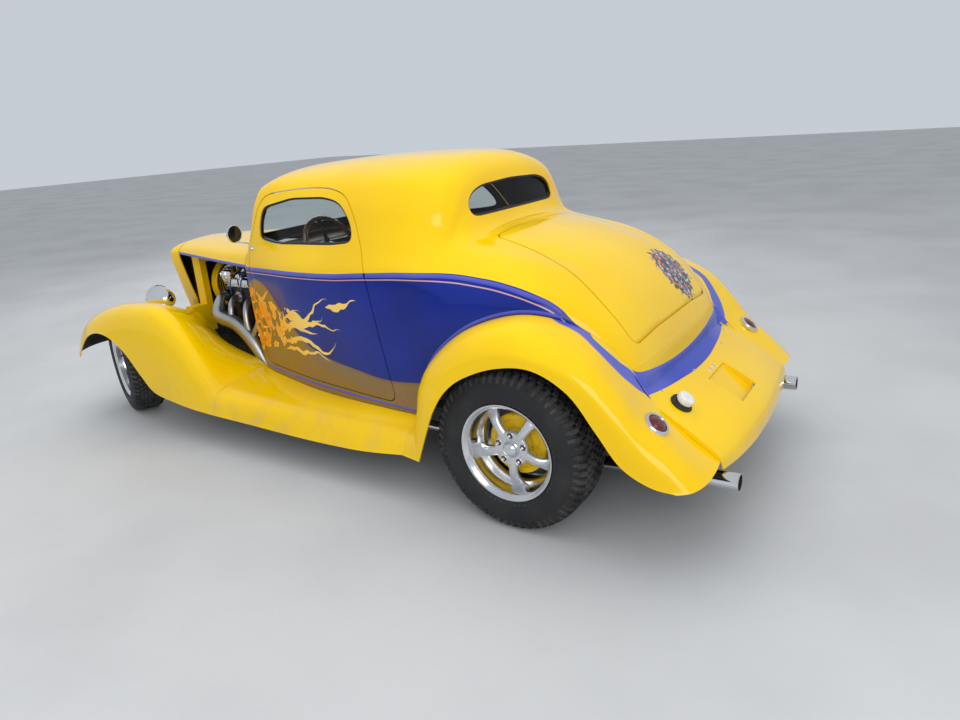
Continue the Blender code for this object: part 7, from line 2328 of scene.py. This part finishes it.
# Front valance: a black air dam under the radiator, folded over along its top and stiffened
# by a row of upright ribs.
VALANCE_EDGE = 0.0015
VALANCE_BLOCKS = (
    ((1.494, -0.255, 0.300), (1.498, 0.255, 0.442)),
    ((1.494, -0.255, 0.436), (1.512, 0.255, 0.442)),
)
VALANCE_RIBS = 7
VALANCE_PITCH = 0.075
bm = bmesh.new()
for low, high in VALANCE_BLOCKS:
    blocked(bm, low, high, VALANCE_EDGE)
for i in range(VALANCE_RIBS):
    y = (i - (VALANCE_RIBS - 1) / 2) * VALANCE_PITCH
    blocked(bm, (1.490, y - 0.010, 0.318), (1.495, y + 0.010, 0.420), 2 * VALANCE_EDGE)
finished("front_valance", bm, (chassis_black,), "car_body", "black_plastic")

# Bench seat: two foam cushions under brown grained hide on a low black base, sewn in wide
# upright channels that swell between their seams.
SEAT_LOW = (-0.556, -0.500, 0.349)
SEAT_HIGH = (-0.044, 0.500, 0.549)
BACK_LOW = (-0.642, -0.500, 0.449)
BACK_HIGH = (-0.471, 0.500, 1.027)
SEAT_SHRINK = 0.012
CHANNEL = 0.125
SEAM_HALF = 0.0065
SEAM_SINK = 0.010
SEAM_FACE = 0.3
SEAM_EASE = 0.4
HIDDEN_DEPTH = 0.03
CUSHION_CORNER = 0.045
CUSHION_GRAIN = 0.010
SWELL_MOST = 0.024
PRESSURE = 4.0
PUFF_FRAMES = 20
CUSHIONS = (
    ("seat_cushion", (SEAT_LOW[0] + 0.02, SEAT_LOW[1], 0.420), SEAT_HIGH, 2, ()),
    ("seat_back", (BACK_LOW[0], BACK_LOW[1], 0.470), BACK_HIGH, 0, ("seat",)),
)
HIDE_DARK = rgb(0.060, 0.026, 0.012)
HIDE_BROWN = rgb(0.130, 0.062, 0.030)
start, place, dress = finish_named("seat_hide")
hide = start.node("TexVoronoi", {}, {"Vector": place, "Scale": 260.0})
wear = place.noise(7, 4)
seat_hide = dress(
    Base_Color=(wear * 0.8 + hide * 0.4).step(0.3, 0.8).mix(HIDE_DARK, HIDE_BROWN),
    Roughness=wear * 0.25 + 0.38,
    Coat_Weight=0.15,
    Normal=bumped(start, hide, 0.0008, 0.6),
)


def settled(item):
    """The item's shape as its modifiers leave it, put into the item in their place."""
    bpy.context.view_layer.update()
    graph = bpy.context.evaluated_depsgraph_get()
    mesh = bpy.data.meshes.new_from_object(item.evaluated_get(graph))
    item.modifiers.clear()
    item.data = mesh
    return mesh


def to_seam(spot):
    """How far a place on a cushion is from its nearest seam."""
    return abs(spot.y / CHANNEL - round(spot.y / CHANNEL)) * CHANNEL


for name, low, high, front_axis, stands_for in CUSHIONS:
    inner_low = [value + SEAT_SHRINK for value in low]
    inner_high = [value - SEAT_SHRINK for value in high]
    bm = bmesh.new()
    blocked(bm, inner_low, inner_high, CUSHION_CORNER)
    cushion = finished(name, bm, (seat_hide,), "car_body", "seat_leather", *stands_for, fold=80)
    grain = cushion.modifiers.new("grain", "REMESH")
    grain.mode = "VOXEL"
    grain.voxel_size = CUSHION_GRAIN
    mesh = settled(cushion)
    cushion.modifiers.new("even", "SMOOTH").iterations = 4
    mesh = settled(cushion)
    pins = cushion.vertex_groups.new(name="seams")
    for vert in mesh.vertices:
        hidden = vert.co[front_axis] < inner_low[front_axis] + HIDDEN_DEPTH
        if to_seam(vert.co) < SEAM_HALF or hidden:
            pins.add([vert.index], 1.0, "REPLACE")
    rest = [vert.co.copy() for vert in mesh.vertices]
    puff = cushion.modifiers.new("puff", "CLOTH")
    puff.settings.use_pressure = True
    puff.settings.uniform_pressure_force = PRESSURE
    puff.settings.effector_weights.gravity = 0
    puff.settings.vertex_group_mass = "seams"
    puff.settings.quality = 4
    puff.collision_settings.use_collision = False
    for step in range(1, PUFF_FRAMES + 1):
        bpy.context.scene.frame_set(step)
    mesh = settled(cushion)
    bpy.context.scene.frame_set(1)
    for vert, was in zip(mesh.vertices, rest):
        moved = vert.co - was
        if moved.length > SWELL_MOST:
            vert.co = was + moved.normalized() * SWELL_MOST
    middle = (Vector(inner_low) + Vector(inner_high)) / 2
    for vert in mesh.vertices:
        way = vert.co - middle
        face = way[front_axis] / ((inner_high[front_axis] - inner_low[front_axis]) / 2)
        if face > SEAM_FACE:
            near = max(0, 1 - to_seam(vert.co) / (2 * SEAM_HALF))
            vert.co[front_axis] -= SEAM_SINK * near * min(1, (face - SEAM_FACE) / SEAM_EASE)
    mesh.shade_smooth()
    round_off = cushion.modifiers.new("round_off", "SUBSURF")
    round_off.levels = 1
    round_off.render_levels = 1
bm = bmesh.new()
blocked(bm, (SEAT_LOW[0] + 0.03, -0.47, 0.3495), (SEAT_HIGH[0] - 0.04, 0.47, 0.430), 0.012)
finished("seat_base", bm, (black_coat,), "car_body", "black_plastic")

# Dash: a moulded brown panel with a bright lower edge, holding a row of round dials with
# bright rims, plain ticks and orange needles.
DASH_LOW = (0.354, -0.455, 0.923)
DASH_HIGH = (0.592, 0.455, 1.042)
DASH_SECTION_SHARES = (
    (1.00, 0.00), (0.30, 0.00), (0.06, 0.06), (0.00, 0.20), (0.04, 0.50), (0.10, 0.78), (0.16, 0.93),
    (0.30, 1.00), (1.00, 0.97),
)
DIALS = ((0.375, 0.036), (0.295, 0.047), (0.205, 0.047), (0.125, 0.036), (-0.105, 0.026), (-0.170, 0.026))
DIAL_TICKS = 24
DIAL_RIM_SHARES = ((1.0, -0.004), (1.0, 0.006), (0.95, 0.009), (0.88, 0.008), (0.86, 0.003))
DIAL_BLACK = ((0.010, 0.010, 0.012), (0.020, 0.020, 0.022))
NEEDLE = ((0.90, 0.22, 0.02), (0.75, 0.16, 0.02))
DASH_STEPS = 24
TRIMS = (
    (DASH_LOW[0] + 0.004, DASH_LOW[2] + 0.012, 0.0045),
    (DASH_LOW[0] + 0.022, DASH_HIGH[2] - 0.014, 0.0035),
)
TRIM_ENDS = (-0.448, 0.0, 0.448)
dial_face = mottled("dial_face", 90, 2, (0.3, 0.8), DIAL_BLACK, 60, 0.15, 0.4)
needle_orange = mottled("needle_orange", 90, 2, (0.3, 0.8), NEEDLE, 60, 0.1, 0.4)
bm = bmesh.new()
size = [b - a for a, b in zip(DASH_LOW, DASH_HIGH)]
section = between([np.array(point) for point in DASH_SECTION_SHARES], 4)
rings = []
for i in range(DASH_STEPS + 1):
    y = DASH_LOW[1] + size[1] * i / DASH_STEPS
    ring = [bm.verts.new((DASH_LOW[0] + a * size[0], y, DASH_LOW[2] + b * size[2])) for a, b in section]
    rings.append(ring)
joined(bm, rings, capped=True)
for x, z, radius in TRIMS:
    swept(bm, [(x, y, z) for y in TRIM_ENDS], [radius] * len(TRIM_ENDS), 12, 1)
for y, radius in DIALS:
    at = aimed((DASH_LOW[0] + 0.006, y, DASH_LOW[2] + 0.062), (-1, 0, 0.12))
    spun(bm, [(radius * share, level) for share, level in DIAL_RIM_SHARES], 48, at, 1)
    spun(bm, [(radius * 0.87, 0.0032), (0, 0.0032)], 48, at, 2)
    for i in range(DIAL_TICKS):
        if i % DIAL_TICKS > DIAL_TICKS * 0.8:
            continue
        tick = at @ Matrix.Rotation(2 * math.pi * i / DIAL_TICKS - 0.6, 4, "Z")
        long = 0.10 if i % 4 == 0 else 0.05
        blocked(bm, (radius * (0.80 - long), -0.0006, 0.0034), (radius * 0.80, 0.0006, 0.0040), 0, 4, tick)
    needle = at @ Matrix.Rotation(2.2 + y * 3, 4, "Z")
    blocked(bm, (-radius * 0.12, -0.0010, 0.0044), (radius * 0.66, 0.0010, 0.0054), 0, 3, needle)
    spun(bm, [(0, 0.0066), (radius * 0.09, 0.0062), (radius * 0.10, 0.0040)], 20, at, 2)
low = (DASH_LOW[0] - 0.001, -0.360, DASH_LOW[2] + 0.030)
high = (DASH_LOW[0] + 0.016, -0.215, DASH_LOW[2] + 0.092)
blocked(bm, low, high, 0.004)
dash_finishes = (brown_vinyl, chrome, dial_face, needle_orange, white_plastic)
finished("dash_panel", bm, dash_finishes, "car_body", "black_plastic", "dash")

# Steering wheel: a varnished wood rim with finger grips on three drilled bright spokes,
# on a tilted column with a stalk each side.
WHEEL_CENTRE = Vector((0.1408, 0.3012, 1.0416))
WHEEL_TILT = math.radians(28)
RIM_MIDDLE = 0.1625
RIM_THICK = 0.0125
GRIPS = 36
GRIP_DEPTH = 0.0009
RIM_SIDES = 14
ARM_HALF = 0.002
ARM_STATIONS = (
    (0.020, 0.020, -0.016), (0.060, 0.013, -0.013), (0.110, 0.012, -0.006), (0.155, 0.017, -0.001),
)
ARM_HOLES = ((0.070, -0.0095), (0.092, -0.0060), (0.114, -0.0035))
HOLE_PROFILE = ((0.0052, 0.0005), (0, 0.0005))
BOSS_PROFILE = (
    (0, 0.010), (0.012, 0.009), (0.024, 0.004), (0.031, -0.006), (0.033, -0.020), (0.026, -0.026),
    (0.0, -0.026),
)
HORN_PROFILE = ((0.0, 0.0115), (0.010, 0.0105), (0.0115, 0.0085))
STALK_RADII = (0.003, 0.003, 0.0055)
start, place, dress = finish_named("varnished_wood")
rings_of_wood = place.noise(22, 5, (1, 0.25, 1))
varnished_wood = dress(
    Base_Color=rings_of_wood.step(0.35, 0.7).mix(rgb(0.20, 0.085, 0.030), rgb(0.085, 0.030, 0.010)),
    Roughness=rings_of_wood * 0.1 + 0.14,
    Coat_Weight=0.8,
    Normal=bumped(start, rings_of_wood, 0.0003, 0.3),
)
axis = Vector((-math.cos(WHEEL_TILT), 0, math.sin(WHEEL_TILT)))
at = aimed(WHEEL_CENTRE, axis)
bm = bmesh.new()
rings = []
for angle in round_turns(TURNS * 2):
    thick = RIM_THICK - GRIP_DEPTH * max(0, math.cos(angle * GRIPS)) ** 2
    ring = []
    for turn in round_turns(RIM_SIDES):
        r = RIM_MIDDLE + thick * math.cos(turn)
        spot = Vector((r * math.cos(angle), r * math.sin(angle), thick * math.sin(turn)))
        ring.append(bm.verts.new(at @ spot))
    rings.append(ring)
joined(bm, rings, around=True, loop=True)
for angle in round_turns(3):
    way = at @ Matrix.Rotation(angle + math.pi / 2, 4, "Z")
    rings = []
    for r, wide, sink in ARM_STATIONS:
        corners = ((-wide, -ARM_HALF), (wide, -ARM_HALF), (wide, ARM_HALF), (-wide, ARM_HALF))
        rings.append([bm.verts.new(way @ Vector((r, across, up + sink))) for across, up in corners])
    joined(bm, rings, 1, around=True)
    for r, sink in ARM_HOLES:
        spun(bm, HOLE_PROFILE, 20, way @ Matrix.Translation((r, 0, sink)), 2)
spun(bm, BOSS_PROFILE, 48, at, 1)
spun(bm, HORN_PROFILE, 32, at, 2)
low_end = WHEEL_CENTRE - axis * 0.2410
swept(bm, [WHEEL_CENTRE - axis * 0.020, low_end], [0.022, 0.022], 28, 2, steps=1)
swept(bm, [WHEEL_CENTRE - axis * 0.060, WHEEL_CENTRE - axis * 0.120], [0.0265, 0.0265], 28, 1, steps=1)
for side in (-1, 1):
    foot = WHEEL_CENTRE - axis * 0.085
    stalk = [foot, foot + Vector((0, side * 0.07, 0.004)), foot + Vector((0, side * 0.115, 0.012))]
    swept(bm, stalk, STALK_RADII, 12, 1)
wood_finishes = (varnished_wood, chrome, black_coat)
finished("wood_wheel", bm, wood_finishes, "car_body", "black_plastic", "steering_wheel")

# Cabin fittings: a bound carpet over the floor, a bent bright shift lever with a round knob,
# and a small mirror hung on an arm from the roof's front edge.
CARPET_DARK = rgb(0.030, 0.015, 0.008)
CARPET_BROWN = rgb(0.085, 0.045, 0.025)
LEVER_PLACES = ((0.230, 0.0, 0.430), (0.215, 0.0, 0.520), (0.150, 0.004, 0.620), (0.120, 0.006, 0.720))
LEVER_RADII = (0.008, 0.0065, 0.006, 0.006)
KNOB_PROFILE = ((0, 0.046), (0.012, 0.044), (0.021, 0.035), (0.024, 0.022), (0.020, 0.008), (0.010, 0))
GAITER_PLACE = (0.230, 0, 0.438)
GAITER_PROFILE = ((0.045, 0.0), (0.036, 0.018), (0.020, 0.034), (0.012, 0.046), (0.008, 0.060))
MIRROR_ARM = (0.007, 0.005, 0.005)
start, place, dress = finish_named("brown_carpet")
loop = place.noise(600, 3)
brown_carpet = dress(
    Base_Color=(loop * 0.6 + place.noise(9, 3) * 0.4).step(0.35, 0.65).mix(CARPET_DARK, CARPET_BROWN),
    Roughness=0.95,
    Sheen_Weight=0.5,
    Normal=bumped(start, loop, 0.0030),
)
bm = bmesh.new()
blocked(bm, (-0.060, -0.450, 0.3495), (0.560, 0.450, 0.3585), 0.003)
blocked(bm, (-0.040, -0.110, 0.355), (0.560, 0.110, 0.440), 0.040)
finished("carpet", bm, (brown_carpet,), "car_body", "seat_leather")
bm = bmesh.new()
swept(bm, LEVER_PLACES, LEVER_RADII, 16, 0)
spun(bm, KNOB_PROFILE, 32, aimed(LEVER_PLACES[-1], (-0.2, 0, 1)), 1)
spun(bm, GAITER_PROFILE, 32, Matrix.Translation(GAITER_PLACE), 2)
finished("shift_lever", bm, (chrome, white_plastic, black_rubber), "car_body", "chrome")
hit = body_tree.ray_cast(Vector((0.10, 0, 1.0)), Vector((0.35, 0, 0.94)).normalized())[0]
mount = hit + Vector((-0.024, 0, -0.026))
bm = bmesh.new()
glass_middle = mount + Vector((-0.060, 0, -0.055))
arm = [mount, mount + Vector((-0.020, 0, -0.012)), glass_middle + Vector((0.012, 0, 0))]
swept(bm, arm, MIRROR_ARM, 14, 0)
turn = Matrix.Translation(glass_middle) @ Matrix.Rotation(0.15, 4, "Z") @ Matrix.Rotation(-0.1, 4, "Y")
blocked(bm, (-0.006, -0.105, -0.026), (0.010, 0.105, 0.026), 0.006, 1, turn)
blocked(bm, (-0.0068, -0.100, -0.022), (-0.0055, 0.100, 0.022), 0, 2, turn)
finished("cabin_mirror", bm, (chrome, black_coat, mirror_glass), "car_body", "chrome")
